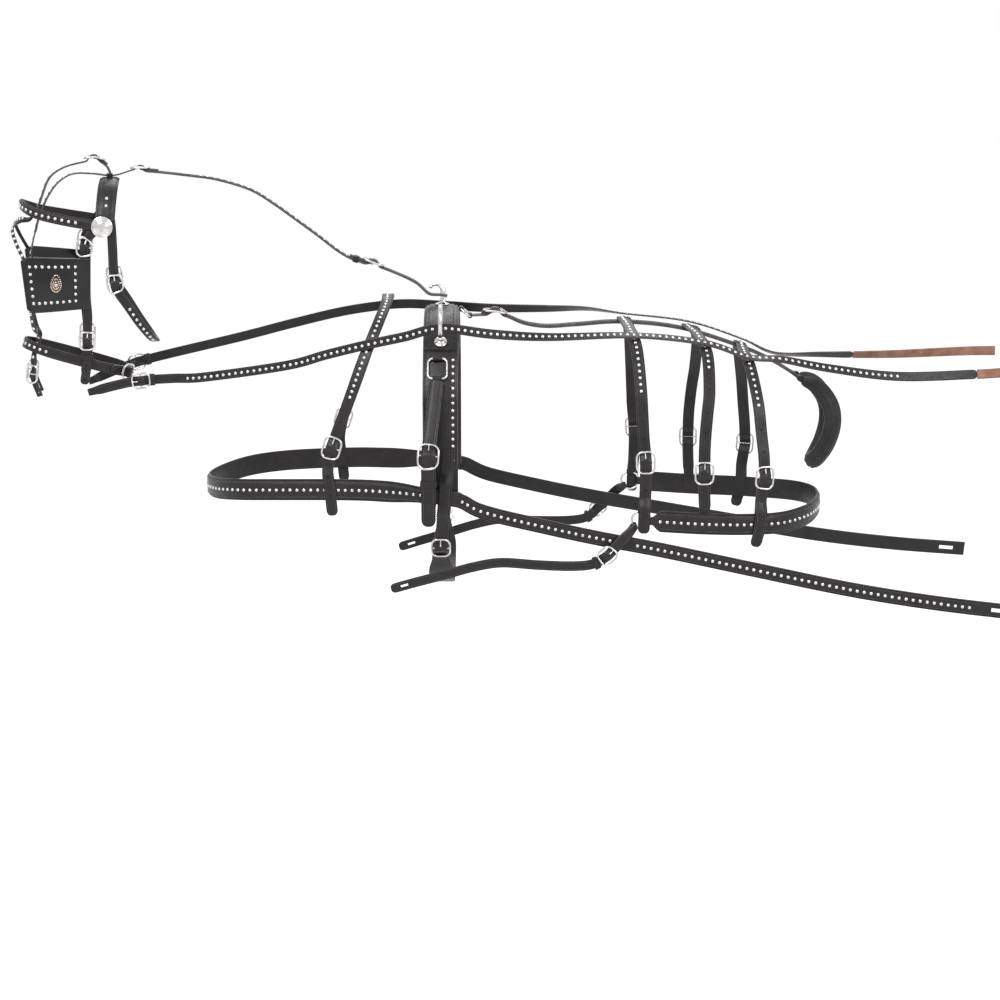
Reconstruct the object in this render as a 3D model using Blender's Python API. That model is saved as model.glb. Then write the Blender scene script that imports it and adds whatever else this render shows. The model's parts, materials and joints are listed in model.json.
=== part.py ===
"""A driving harness of miniature size, as it lies when worn.

Metres, +Z up, +X toward the tail, -Y the near side.  The origin is the middle of the back under
the saddle.  Every strap lies on a smooth line over the body that wears it, with its width across the
line and its thickness outward, so pieces that cross are layered by their thicknesses.
"""

import math

import bmesh
import bpy
from mathutils import Matrix, Vector

UP = Vector((0, 0, 1))
REARWARD = Vector((1, 0, 0))
LEFTWARD = Vector((0, -1, 0))
NEAR = -1
FAR = 1
SIDES = (("near", NEAR), ("far", FAR))

# Reaches of the harness
REAR_LENGTH = 1.00
FRONT_LENGTH = 0.59
POLL_HEIGHT = 0.24
HALF_WIDTH = 0.20
BODY_DEPTH = 0.50
HEAD_LENGTH = 0.40
HEAD_HALF_WIDTH = 0.08
HEAD_TURN = math.radians(9)
SHARP_ANGLE = math.radians(40)

# Clearances between pieces that touch
GAP = 0.0003
LAY = 0.0008
SEW = 0.0006
OVERRUN = 0.004

# Straps: width and thickness
SADDLE_WIDTH = 0.062
SKIRT_THICKNESS = 0.004
SEAT_THICKNESS = 0.005
PANEL_THICKNESS = 0.009
PANEL_WIDTH = 0.056
COLLAR_WIDTH = 0.038
COLLAR_THICKNESS = 0.006
TRACE_WIDTH = 0.026
TRACE_THICKNESS = 0.005
NECK_STRAP_WIDTH = 0.020
NECK_STRAP_THICKNESS = 0.003
BACK_STRAP_WIDTH = 0.030
BACK_STRAP_THICKNESS = 0.005
HIP_STRAP_WIDTH = 0.021
HIP_STRAP_THICKNESS = 0.003
CHAPE_THICKNESS = 0.003
BREECHING_WIDTH = 0.038
BREECHING_THICKNESS = 0.006
HOLDBACK_WIDTH = 0.0175
HOLDBACK_THICKNESS = 0.003
TUG_WIDTH = 0.025
TUG_THICKNESS = 0.004
BILLET_WIDTH = 0.022
BILLET_THICKNESS = 0.0035
GIRTH_WIDTH = 0.045
REIN_WIDTH = 0.017
REIN_THICKNESS = 0.003
CROWN_WIDTH = 0.034
CROWN_THICKNESS = 0.0035
BROWBAND_WIDTH = 0.0185
BROWBAND_THICKNESS = 0.004
CHEEK_WIDTH = 0.016
CHEEK_THICKNESS = 0.003
NOSEBAND_WIDTH = 0.030
NOSEBAND_THICKNESS = 0.004
THROAT_WIDTH = 0.0165
THROAT_THICKNESS = 0.003
OVERCHECK_WIDTH = 0.0125
OVERCHECK_THICKNESS = 0.0025
STAY_WIDTH = 0.011
STAY_THICKNESS = 0.003
CHECK_WIDTH = 0.016
CHECK_THICKNESS = 0.004

# Buckles, rings and other metal
WIRE = 0.0032
BAR_HALF = 0.0013
TONGUE_HALF = 0.0011
GRIP_SHARE = 0.7
TONGUE_ROOT_SHARE = 0.2
TONGUE_SEAT_SHARE = 0.2
TONGUE_END_SHARE = 0.27
FLAT_TOP_SHARE = 0.045
BULGE_REACH_SHARE = 0.42
SEAT_ROW_SHARES = (1, 1.5, 2)
BULGE_ROW_SHARES = (0.045, 0.22, 0.42, 0.5)
BUCKLE_MARGIN = 0.0035
BUCKLE_LENGTH = 0.038
SMALL_BUCKLE_LENGTH = 0.030
RING_RADIUS = 0.0165
RING_WIRE = 0.0042
RING_PLAY = 0.0013
BORE_SIDES = 8
PLATE_SIDES = 12
DEE_WIDTH = 0.033
DEE_WIRE = 0.004
REAR_DEE_WIDTH = 0.040
TERRET_RADIUS = 0.0270
TERRET_WIRE = 0.0078
TERRET_STEM = 0.012
TERRET_FLANGE = 0.011
HOOK_WIRE = 0.006
HOOK_HEIGHT = 0.036
HOOK_PLATE_RADIUS = 0.0132
HOOK_CURL = 0.0114
HOOK_CURL_TURN = math.radians(140)
ROSETTE_RADIUS = 0.0185
ROSETTE_HEIGHT = 0.007

# Blinkers and crupper
BLINKER_THICKNESS = 0.004
BLINKER_CUP = 0.010
DOCK_RADIUS = 0.0145
SLEEVE_WALL = 0.0022
TAIL_LENGTH = 0.045
CHAPE_WIDTH_SHARE = 0.9
SETTLE_SHARE = 0.4
LOOP_WIDTH_SHARE = 0.72
SHAFT_OPENING = 0.022
SHAFT_LOOP_HEIGHT = 0.096
STRAP_STEP = 0.029
SHORT_STEP = 0.0203
LONG_STEP = 0.042
KEEPER_SHARE = 0.42
ROW_CLEAR_SHARE = 0.35
TIP_ROW_SHARES = (0.2, 0.6, 1.0)
TIP_BLUNT_SHARE = 0.42
SETTLE_ROW_SHARES = (0.33, 0.67, 1)

# A strap's cross-section: shares of half its width and of its thickness
FLAT_SHARES = ((-1, 0), (1, 0), (1, 1), (-1, 1))
RAISED_SHARES = ((-1, 0), (1, 0), (1, 0.6), (0.68, 1), (-0.68, 1), (-1, 0.6))


def material(name, colour, roughness, metallic=0.0):
    made = bpy.data.materials.new(name)
    made.use_nodes = True
    shader = made.node_tree.nodes["Principled BSDF"]
    shader.inputs["Base Color"].default_value = (*colour, 1)
    shader.inputs["Roughness"].default_value = roughness
    shader.inputs["Metallic"].default_value = metallic
    return made


def black_leather():
    return material("black_leather", (0.022, 0.019, 0.020), 0.45)


def patent_leather():
    return material("patent_leather", (0.012, 0.011, 0.012), 0.12)


def padded_leather():
    return material("padded_leather", (0.026, 0.023, 0.024), 0.55)


def brown_leather():
    return material("brown_leather", (0.33, 0.16, 0.11), 0.55)


def nickel():
    return material("nickel", (0.74, 0.73, 0.71), 0.18, 1.0)


# Lines over the body


def body_place(x_share, y_share, z_share):
    return Vector((x_share * REAR_LENGTH, y_share * HALF_WIDTH, z_share * BODY_DEPTH))


def front_place(x_share, y_share, z_share):
    return Vector((-x_share * FRONT_LENGTH, y_share * HALF_WIDTH, z_share * BODY_DEPTH))


def crest_place(x_share, z_share):
    return Vector((-x_share * FRONT_LENGTH, 0, z_share * POLL_HEIGHT))


def head_frame():
    return Matrix.Translation((-FRONT_LENGTH, 0, POLL_HEIGHT)) @ Matrix.Rotation(HEAD_TURN, 4, "Z")


def head_place(x_share, y_share, z_share):
    place = Vector((x_share * HEAD_LENGTH, y_share * HEAD_HALF_WIDTH, z_share * HEAD_LENGTH))
    return head_frame() @ place


def head_direction(direction):
    return (head_frame().to_3x3() @ Vector(direction)).normalized()


def square_to(axis):
    return lambda place, along: axis.cross(along)


def smooth_line(points, steps=10, closed=False):
    """A Catmull-Rom curve through the points."""
    count = len(points)
    line = []
    spans = count if closed else count - 1
    for i in range(spans):
        if closed:
            a, b, c, d = (points[(i + k) % count] for k in (-1, 0, 1, 2))
        else:
            b, c = points[i], points[i + 1]
            a = points[i - 1] if i else b * 2 - c
            d = points[i + 2] if i + 2 < count else c * 2 - b
        for k in range(steps):
            t = k / steps
            line.append(
                ((b * 2) + (c - a) * t + (a * 2 - b * 5 + c * 4 - d) * t**2
                 + (b * 3 - a - c * 3 + d) * t**3) / 2
            )
    line.append(points[0].copy() if closed else points[-1].copy())
    return line


class Line:
    """A smooth line, with the directions along it, across it and outward."""

    def __init__(self, points, facing, closed=False, steps=10):
        self.closed = closed
        self.line = smooth_line(points, steps, closed)
        self.lengths = [0.0]
        for a, b in zip(self.line, self.line[1:]):
            self.lengths.append(self.lengths[-1] + (b - a).length)
        self.length = self.lengths[-1]
        self.tangents = []
        last = len(self.line) - 1
        for i in range(last + 1):
            before = self.line[i - 1] if i else (self.line[-2] if closed else self.line[0])
            after = self.line[i + 1] if i < last else (self.line[1] if closed else self.line[last])
            self.tangents.append((after - before).normalized())
        self.facings = []
        for i, (place, along) in enumerate(zip(self.line, self.tangents)):
            if callable(facing):
                self.facings.append(facing(place, along).normalized())
            else:
                k = i / steps
                j = min(int(k), len(facing) - 2)
                self.facings.append(facing[j].lerp(facing[j + 1], k - j).normalized())

    def frame(self, s):
        """The point, the way along, the way across and the way out at a length along the line."""
        if self.closed:
            s %= self.length
        s = min(max(s, 0.0), self.length)
        low, high = 0, len(self.lengths) - 1
        while high - low > 1:
            middle = (low + high) // 2
            if self.lengths[middle] <= s:
                low = middle
            else:
                high = middle
        span = self.lengths[high] - self.lengths[low]
        t = (s - self.lengths[low]) / span if span else 0.0
        place = self.line[low].lerp(self.line[high], t)
        along = self.tangents[low].lerp(self.tangents[high], t).normalized()
        facing = self.facings[low].lerp(self.facings[high], t)
        across = along.cross(facing).normalized()
        return place, along, across, across.cross(along).normalized()

    def spot(self, s, sideways=0.0, out=0.0):
        place, _, across, outward = self.frame(s)
        return place + across * sideways + outward * out

    def nearest(self, test):
        """The length along the line where the test value of the place is least."""
        best = min(range(len(self.line)), key=lambda i: test(self.line[i]))
        return self.lengths[best]


# Solids


def put_object(name, mesh, finish, origin=Vector((0, 0, 0))):
    mesh.transform(Matrix.Translation(-origin))
    made = bpy.data.objects.new(name, mesh)
    made.location = origin
    bpy.context.scene.collection.objects.link(made)
    mesh.materials.clear()
    mesh.materials.append(finish)
    mesh.shade_smooth()
    mesh.set_sharp_from_angle(angle=SHARP_ANGLE)
    return made


def mesh_of(bm):
    bmesh.ops.recalc_face_normals(bm, faces=bm.faces)
    mesh = bpy.data.meshes.new("mesh")
    bm.to_mesh(mesh)
    bm.free()
    return mesh


def skin(rings, closed=False):
    """A closed mesh through rings of points, with flat ends unless it is closed."""
    bm = bmesh.new()
    rows = [[bm.verts.new(point) for point in ring] for ring in rings]
    count = len(rows[0])
    pairs = list(zip(rows, rows[1:]))
    if closed:
        pairs.append((rows[-1], rows[0]))
    for a, b in pairs:
        for i in range(count):
            j = (i + 1) % count
            bm.faces.new((a[i], a[j], b[j], b[i]))
    if not closed:
        bm.faces.new(rows[0])
        bm.faces.new(rows[-1])
    return mesh_of(bm)


def value_at(value, s):
    return value(s) if callable(value) else value


def stations(start, end, step, extra=()):
    """Lengths from start to end about a step apart, with the extra ones among them."""
    count = max(1, round((end - start) / step))
    fixed = sorted({round(s, 6) for s in extra if start < s < end} | {start, end})
    rows = list(fixed)
    for k in range(1, count):
        s = start + (end - start) * k / count
        if min(abs(s - f) for f in fixed) > step * ROW_CLEAR_SHARE:
            rows.append(s)
    return sorted(rows)


def band(line, start, end, width, thickness, lift=0.0, step=STRAP_STEP, extra=(),
         shares=FLAT_SHARES, sideways=0.0, ring=False):
    """A strap along the line, between two lengths, at a height above the line."""
    rows = stations(start, end, step, extra)
    if ring:
        rows = rows[:-1]
    rings = []
    for s in rows:
        half = value_at(width, s) / 2
        high = value_at(thickness, s)
        base = value_at(lift, s)
        aside = value_at(sideways, s)
        rings.append([line.spot(s, aside + u * half, base + v * high) for u, v in shares])
    return skin(rings, closed=ring)


def rise(s, start, end):
    """0 before start, 1 after end, smooth between."""
    t = min(max((s - start) / (end - start), 0.0), 1.0)
    return t * t * (3 - 2 * t)


def bulge(s, centre, length):
    """1 at the centre, falling smoothly to 0 before the buckle's end bars."""
    flat = length * FLAT_TOP_SHARE
    reach = length * BULGE_REACH_SHARE
    away = min(max(abs(s - centre), flat), reach)
    return math.cos(math.pi / 2 * (away - flat) / (reach - flat)) ** 2


def bulge_rows(centre, length):
    return [centre + sign * length * share for share in BULGE_ROW_SHARES for sign in (-1, 1)]


def tip_rows(end, length, sign):
    return [end - sign * length * share for share in TIP_ROW_SHARES]


def tip_width(s, end, width, length):
    """A strap's rounded point: full width until its last stretch."""
    t = min(max(abs(end - s) / length, 0.0), 1.0)
    return width * (TIP_BLUNT_SHARE + (1 - TIP_BLUNT_SHARE) * math.sqrt(1 - (1 - t) ** 2))


def tube(points, radius, sides=6, closed=False, flat=None):
    """A round bar through the points, which lie in one plane square to flat."""
    rings = []
    count = len(points)
    for i, point in enumerate(points):
        before = points[i - 1] if i or closed else point
        after = points[(i + 1) % count] if i < count - 1 or closed else point
        along = (after - before).normalized()
        out = along.cross(flat).normalized()
        rings.append([
            point + (out * math.cos(a) + flat * math.sin(a)) * value_at(radius, i)
            for a in (2 * math.pi * (k + 0.5) / sides for k in range(sides))
        ])
    return skin(rings, closed=closed)


def joined(name, meshes, finish, cuts=(), origin=Vector((0, 0, 0)), solver="EXACT"):
    """One closed body: the first mesh with the others added, then the cuts taken out."""
    base = bpy.data.objects.new(name, meshes[0])
    bpy.context.scene.collection.objects.link(base)
    helpers = []
    for operation, group in (("UNION", meshes[1:]), ("DIFFERENCE", cuts)):
        for mesh in group:
            helper = bpy.data.objects.new(name + "_helper", mesh)
            bpy.context.scene.collection.objects.link(helper)
            helpers.append(helper)
            modifier = base.modifiers.new(operation.lower(), "BOOLEAN")
            modifier.operation = operation
            modifier.solver = solver
            modifier.object = helper
    bpy.context.view_layer.update()
    graph = bpy.context.evaluated_depsgraph_get()
    result = bpy.data.meshes.new_from_object(base.evaluated_get(graph))
    for piece in [base, *helpers]:
        bpy.data.objects.remove(piece, do_unlink=True)
    return put_object(name, result, finish, origin)


def rounded_rectangle(length, width, corner, steps=3):
    """Corner-rounded rectangle points, as pairs along the length and the width."""
    points = []
    for a, (sx, sy) in enumerate(((1, 1), (-1, 1), (-1, -1), (1, -1))):
        for k in range(steps + 1):
            angle = math.pi / 2 * (a + k / steps)
            points.append((
                sx * (length / 2 - corner) + corner * math.cos(angle),
                sy * (width / 2 - corner) + corner * math.sin(angle),
            ))
    return points


def wire_loop(place, length, width, corner, wire, sides=4, steps=2):
    """A closed loop of wire; place maps along, across and out to a point."""
    path = rounded_rectangle(length, width, corner, steps)
    rings = []
    count = len(path)
    for i, (u, v) in enumerate(path):
        before, after = path[i - 1], path[(i + 1) % count]
        du, dv = after[0] - before[0], after[1] - before[1]
        size = math.hypot(du, dv)
        nu, nv = dv / size, -du / size
        ring = []
        for k in range(sides):
            a = 2 * math.pi * (k + 0.5) / sides
            reach, out = math.cos(a) * wire / 2, math.sin(a) * wire / 2
            ring.append(place(u + nu * reach, v + nv * reach, out))
        rings.append(ring)
    return skin(rings, closed=True)


def buckle_height(chape, strap):
    """How far a buckle's middle plane lies above the chape's underside."""
    return chape + strap + 2 * GAP + WIRE / 2


def billet_rise(strap):
    """How far a billet climbs to pass over the middle bar."""
    return strap + 2 * GAP + 2 * BAR_HALF + (WIRE / 2 - BAR_HALF)


def chape_rise(strap):
    """How far a chape climbs to lie against the middle bar."""
    return strap + GAP + WIRE / 2 - BAR_HALF


def held_rise(strap):
    """How far a chape climbs that is sewn round the middle bar of its own buckle."""
    return chape_rise(strap) + GAP + BAR_HALF * GRIP_SHARE


def buckle_meshes(line, centre, width, chape, strap, length=BUCKLE_LENGTH, tongue=1,
                  sideways=0.0):
    """A frame with a middle bar, curved as its strap is, and a tongue on its end bar."""
    middle = buckle_height(chape, strap)
    outer = width + 2 * (BUCKLE_MARGIN + WIRE / 2)

    def place(u, v, out):
        return line.spot(centre + u, sideways + v, middle + out)

    frame = wire_loop(place, length, outer, BUCKLE_MARGIN + WIRE, WIRE, steps=1)
    reach = outer / 2
    bar = skin([
        [place(u * BAR_HALF, v, w * BAR_HALF) for u, w in ((1, 1), (-1, 1), (-1, -1), (1, -1))]
        for v in (-reach, reach)
    ])
    root = length * TONGUE_ROOT_SHARE
    above_strap = billet_rise(strap) * bulge(root, 0, length) + GAP - WIRE / 2
    end = length / 2 + WIRE * TONGUE_END_SHARE
    prong = skin([
        [place(tongue * u, v * TONGUE_HALF, out + w * TONGUE_HALF)
         for v, w in ((-1, 0), (1, 0), (1, 1), (-1, 1))]
        for u, out in ((root, above_strap), (end, WIRE * TONGUE_SEAT_SHARE))
    ])
    return [frame, bar, prong]


def billet_lift(buckles, rest):
    """A billet's height: rest, and over each buckle's middle bar."""
    def lift(s):
        height = value_at(rest, s)
        for centre, length, strap in buckles:
            height += billet_rise(strap) * bulge(s, centre, length)
        return height
    return lift


def chape(line, centre, end, width, thickness, strap, base=0.0, length=BUCKLE_LENGTH,
          held=True, rows=()):
    """The short strap under a buckle, from its middle bar to the end, raised to the bar."""
    high = held_rise(strap) if held else chape_rise(strap)
    start, last = sorted((centre, end))
    return band(line, start, last, width, thickness, lambda s: base + high * bulge(s, centre, length),
                extra=[*bulge_rows(centre, length), *rows])


def buckled_chape(line, centre, end, width, strap, length=BUCKLE_LENGTH, tongue=1,
                  thickness=CHAPE_THICKNESS, rows=()):
    """A chape with its buckle sewn in."""
    fold = chape(line, centre, end, width * CHAPE_WIDTH_SHARE, thickness, strap, length=length, rows=rows)
    return [fold, *buckle_meshes(line, centre, width, thickness, strap, length, tongue)]


def looped_strap(line, tip, end, width, thickness, radius, centre, length, step, extra=()):
    """A strap doubled round a bar at the line's start, its tail back through the buckle on it."""
    half = thickness / 2
    rest = thickness + GAP
    settle = TAIL_LENGTH * SETTLE_SHARE
    corners = ((-1, -1), (1, -1), (1, 1), (-1, 1))
    near_rows = [settle * share for share in SETTLE_ROW_SHARES] + bulge_rows(centre, length)

    def narrow(s):
        return LOOP_WIDTH_SHARE + (1 - LOOP_WIDTH_SHARE) * rise(s, 0, settle)
    rings = []
    for s in reversed(stations(0, tip, step, near_rows + tip_rows(tip, width / 2, 1))):
        middle = radius + (rest + half - radius) * rise(s, 0, settle)
        middle += billet_rise(thickness) * bulge(s, centre, length)
        wide = min(width * narrow(s), tip_width(s, tip, width, width / 2)) / 2
        rings.append([line.spot(s, u * wide, middle + v * half) for u, v in corners])
    place, along, across, outward = line.frame(0)
    wide = width * LOOP_WIDTH_SHARE / 2
    for k in range(1, 4):
        angle = math.pi * k / 4
        reach = outward * math.cos(angle) - along * math.sin(angle)
        rings.append([place + across * u * wide + reach * (radius + v * half) for u, v in corners])
    for s in stations(0, end, step, near_rows + list(extra)):
        middle = -radius + (half + radius) * rise(s, 0, settle)
        middle += held_rise(thickness) * bulge(s, centre, length)
        wide = min(width * narrow(s), tip_width(s, end, width, width / 2)) / 2
        rings.append([line.spot(s, u * wide, middle - v * half) for u, v in corners])
    return skin(rings)


def block(line, start, end, width, low, high):
    """A closed box along the line, between two heights."""
    return skin([
        [line.spot(s, v * width / 2, w) for v, w in ((-1, low), (1, low), (1, high), (-1, high))]
        for s in (start, end)
    ])


# Lines that the pieces lie on

# Half of the girth line, from the belly up the near side: shares of half width and body depth
GIRTH_SHARES = (
    (0, -0.965), (0.30, -0.950), (0.53, -0.905), (0.74, -0.80), (0.855, -0.70), (0.8625, -0.594),
    (0.8625, -0.48), (0.845, -0.36), (0.79, -0.25), (0.70, -0.17), (0.56, -0.10), (0.39, -0.044),
    (0.20, -0.010), (0, 0),
)
# Half of the collar and trace line from the chest: shares of front length, half width, body depth
CHEST_SHARES = (
    (0.712, 0, -0.612), (0.680, 0.34, -0.606), (0.600, 0.60, -0.592), (0.470, 0.735, -0.582),
    (0.270, 0.80, -0.578), (0.130, 0.845, -0.584),
)
# Heights of the draft line at the saddle's rear and front edge
DRAFT_SEAT_SHARES = (-0.608, -0.590)
DRAFT_SHARE = -0.599
DRAFT_REACH_SHARE = 0.55
# How far down the sides, of the half width, a hip strap turns from the back strap's slope
TOP_SHARE = 0.4
# The near trace behind the saddle: shares of rear length, half width and body depth
TRACE_SHARES = (
    (0.080, 0.930, -0.650), (0.180, 0.945, -0.698), (0.280, 0.965, -0.740), (0.390, 0.990, -0.780),
    (0.550, 1.075, -0.842), (0.714, 1.160, -0.904), (0.860, 1.235, -0.945), (1.005, 1.310, -0.974),
)
# Half of the breeching line, from the ring round the rump
BREECHING_SHARES = (
    (0.351, 0.930, -0.676), (0.400, 0.935, -0.682), (0.470, 0.925, -0.690), (0.545, 0.890, -0.694),
    (0.600, 0.790, -0.694), (0.645, 0.575, -0.686), (0.669, 0.300, -0.678), (0.677, 0, -0.674),
)
BACK_SHARES = (
    (0.050, -0.004), (0.078, -0.002), (0.105, -0.008), (0.140, -0.030), (0.185, -0.044),
    (0.240, -0.038), (0.324, -0.028), (0.428, -0.050), (0.535, -0.116), (0.590, -0.164), (0.632, -0.214),
)
# The near half of each hip strap, from the back down: the first point lies on the back strap
HIP_SHARES = (
    (0.325, (
        (0.332, 0.26, -0.030), (0.343, 0.62, -0.086), (0.349, 0.85, -0.215), (0.352, 0.915, -0.320),
        (0.354, 0.930, -0.390), (0.358, 0.930, -0.470), (0.358, 0.930, -0.570),
    ), (0.355, -0.760)),
    (0.436, (
        (0.455, 0.26, -0.060), (0.468, 0.56, -0.112), (0.469, 0.80, -0.226), (0.465, 0.875, -0.304),
        (0.462, 0.905, -0.368), (0.460, 0.922, -0.440), (0.460, 0.925, -0.560),
    ), (0.460, -0.780)),
    (0.535, (
        (0.538, 0.24, -0.118), (0.545, 0.53, -0.162), (0.555, 0.75, -0.272), (0.560, 0.815, -0.366),
        (0.564, 0.845, -0.450), (0.565, 0.855, -0.530), (0.560, 0.862, -0.610),
    ), (0.546, -0.790)),
)
# The near half of the neck strap below its top: shares of front length, half width, body depth
NECK_SHARES = (
    (0.165, 0, 0.070), (0.166, 0.22, 0.052), (0.184, 0.46, 0.000), (0.206, 0.590, -0.062),
    (0.234, 0.680, -0.142), (0.268, 0.745, -0.254), (0.298, 0.775, -0.350), (0.322, 0.785, -0.430),
    (0.334, 0.790, -0.500),
)
CHECK_SHARES = (
    (0.005, 0.125), (0.045, 0.138), (0.088, 0.228), (0.162, 0.310), (0.205, 0.348), (0.244, 0.388),
    (0.283, 0.424), (0.323, 0.485), (0.378, 0.590), (0.439, 0.700), (0.508, 0.822), (0.578, 0.926),
    (0.676, 1.000), (0.762, 1.030), (0.866, 1.058), (0.930, 1.060),
)
POLL_SHARES = (
    (0.030, 0.022), (0, 0.028), (-0.080, 0.029), (-0.162, 0.028), (-0.225, -0.008), (-0.272, -0.070),
    (-0.310, -0.150), (-0.332, -0.225),
)
LEG_SHARES = (
    (-0.348, 0.10, -0.290), (-0.358, 0.30, -0.400), (-0.362, 0.46, -0.540), (-0.350, 0.55, -0.640),
)
# Where a leg lies behind the noseband, in shares of its width, and how far it has turned to it above
LEG_SEAT_SHARES = (0.6, -0.6)
LEG_TURN_SHARES = (0.4, 0.8)
CROWN_SHARES = (
    (-0.030, 0.985, -0.240), (-0.030, 0.975, -0.190), (-0.022, 0.86, -0.110), (-0.012, 0.62, -0.040),
    (-0.004, 0.33, -0.006), (0, 0, 0.008),
)
CHEEK_SHARES = (
    (-0.040, 0.975, -0.150), (-0.062, 0.982, -0.195), (-0.108, 0.990, -0.240), (-0.121, 0.985, -0.280),
    (-0.117, 0.975, -0.330), (-0.120, 0.920, -0.440),
    (-0.122, 0.875, -0.540), (-0.118, 0.815, -0.620), (-0.122, 0.790, -0.700), (-0.130, 0.720, -0.800),
    (-0.140, 0.770, -0.890),
)
# Where the noseband crosses the cheek strap, and where it crosses an overcheck leg
CHEEK_CROSS_INDEX = 9
BLINKER_FRONT_SHARES = ((-0.395, 1.375, -0.306), (-0.372, 1.250, -0.558))
BLINKER_REAR_SHARES = (-0.326, -0.545)
UPPER_BUCKLE_SHARE = -0.275
LOWER_BUCKLE_SHARE = -0.694
THROAT_BUCKLE_SHARE = -0.440
ROSETTE_SHARE = -0.040
CROWN_END_SHARE = -0.225
BILLET_TIP_SHARE = 0.6
# Where a billet comes down beside its buckle, in shares of the buckle's length
BILLET_SETTLE_SHARES = (0.15, 0.55)
# The near rein: from the bit end to the terret, and from the hip straps to its end
REIN_HEAD_SHARES = {
    NEAR: (
        (-0.107, 0.75, -0.923), (0.000, 0.76, -0.896), (0.106, 0.75, -0.878), (0.250, 0.74, -0.872),
    ),
    FAR: (
        (-0.107, 0.75, -0.915), (0.000, 0.76, -0.872), (0.106, 0.75, -0.835), (0.250, 0.76, -0.800),
    ),
}
NEAR_REIN_FRONT_SHARES = (
    (0.714, 0.33, -0.206), (0.464, 0.49, -0.156), (0.342, 0.60, -0.112), (0.222, 0.665, -0.074),
    (0.106, 0.655, -0.045),
)
NEAR_REIN_BACK_SHARES = ((0.09, 0.60, -0.040), (0.19, 0.55, -0.054))
NEAR_REIN_REAR_SHARES = (
    (0.600, 0.50, -0.136), (0.686, 0.45, -0.170), (0.810, 0.35, -0.204), (0.947, 0.25, -0.202),
    (1.005, 0.225, -0.196),
)
FAR_REIN_FRONT_SHARES = (
    (0.635, 0.47, -0.104), (0.479, 0.52, -0.058), (0.324, 0.565, -0.016), (0.200, 0.590, 0.006),
    (0.110, 0.575, 0.014),
)
FAR_REIN_BACK_SHARES = ((0.09, 0.42, 0.004), (0.19, 0.28, 0.008), (0.26, 0.17, 0.012))
FAR_REIN_REAR_SHARES = (
    (0.600, 0.08, -0.145), (0.686, 0.12, -0.152), (0.810, 0.15, -0.152), (0.947, 0.19, -0.142),
    (1.005, 0.20, -0.140),
)
NEAR_REST_SHARES = (0.50, 0.48, 0.46)
FAR_REST_SHARES = (0.12, 0.08, 0.04)
REIN_BUCKLE_AT = 0.088
HANDPART_SHARES = {NEAR: 0.952, FAR: 0.745}
BROWBAND_SHARES = (
    (0.010, 1.040, -0.192), (-0.030, 1.035, -0.190), (-0.100, 1.020, -0.178), (-0.210, 0.93, -0.158),
    (-0.310, 0.72, -0.136), (-0.370, 0.42, -0.112), (-0.390, 0, -0.098),
)
THROAT_SHARES = (
    (-0.006, 0.975, -0.165), (0.000, 0.985, -0.225), (0.002, 0.975, -0.300), (0.004, 0.950, -0.400),
    (0.016, 0.915, -0.470), (0.060, 0.830, -0.540), (0.110, 0.660, -0.620), (0.160, 0.36, -0.690),
    (0.182, 0, -0.715),
)
NOSEBAND_SHARES = (
    (0.052, 0, -0.850), (0.026, 0.38, -0.840), (-0.040, 0.575, -0.822), (-0.150, 0.645, -0.790),
    (-0.290, 0.590, -0.748), (-0.370, 0.33, -0.722), (-0.395, 0, -0.714),
)
NOSEBAND_AXIS_SHARES = (0.3, 0, 0.954)
STAY_SHARES = (
    (-0.014, 0.060), (-0.040, 0.080), (-0.068, 0.085), (-0.120, 0.078),
    (-0.200, 0.056), (-0.262, 0.012), (-0.298, -0.070), (-0.318, -0.125),
)
STAY_BUCKLE_INDEX = 2
# Where the shaft loops hang, and their outline: shares of half the opening and of half the height
TUG_PLACE_SHARE = -0.020
TUG_HEIGHT_SHARE = -0.528
SHAFT_LOOP_SHARES = (
    (1, 0), (1, 0.45), (0.92, 0.82), (0.5, 1.0), (0, 1.03), (-0.5, 1.0), (-0.92, 0.82), (-1, 0.45),
    (-1, 0), (-1, -0.45), (-0.92, -0.82), (-0.5, -1.0), (0, -1.03), (0.5, -1.0), (0.92, -0.82),
    (1, -0.45),
)
# How far a stay leg has turned, its size beside the stay's, and where it ends on the blinker
STAY_TURN_SHARES = (0.3, 0.7)
STAY_LEG_SHARE = 0.55
LEG_THICKNESS_SHARE = 0.8
STAY_END_SHARES = (0.93, 0.08)
STAY_LEG_SHARES = (
    (-0.350, 0.10, -0.165), (-0.395, 0.44, -0.170), (-0.425, 0.86, -0.195), (-0.412, 1.18, -0.250),
    (-0.385, 1.30, -0.296),
)


def mirrored(half, centre=True):
    """The points of the near half, with their y turned negative, then the far half."""
    near = [Vector((p.x, -p.y, p.z)) for p in half]
    far = [p.copy() for p in reversed(half)]
    return near + (far[1:] if centre else far)


def girth_line():
    half = [body_place(0, y, z) for y, z in GIRTH_SHARES]
    near = [Vector((p.x, -p.y, p.z)) for p in half]
    far = [p.copy() for p in reversed(half[1:-1])]
    return Line(near + far, square_to(REARWARD), closed=True)


def side_length(line, side, high):
    """Where the girth line is at a height, on one side."""
    return line.nearest(lambda p: abs(p.z - high) + (HALF_WIDTH if p.y * side < 0 else 0))


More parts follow.
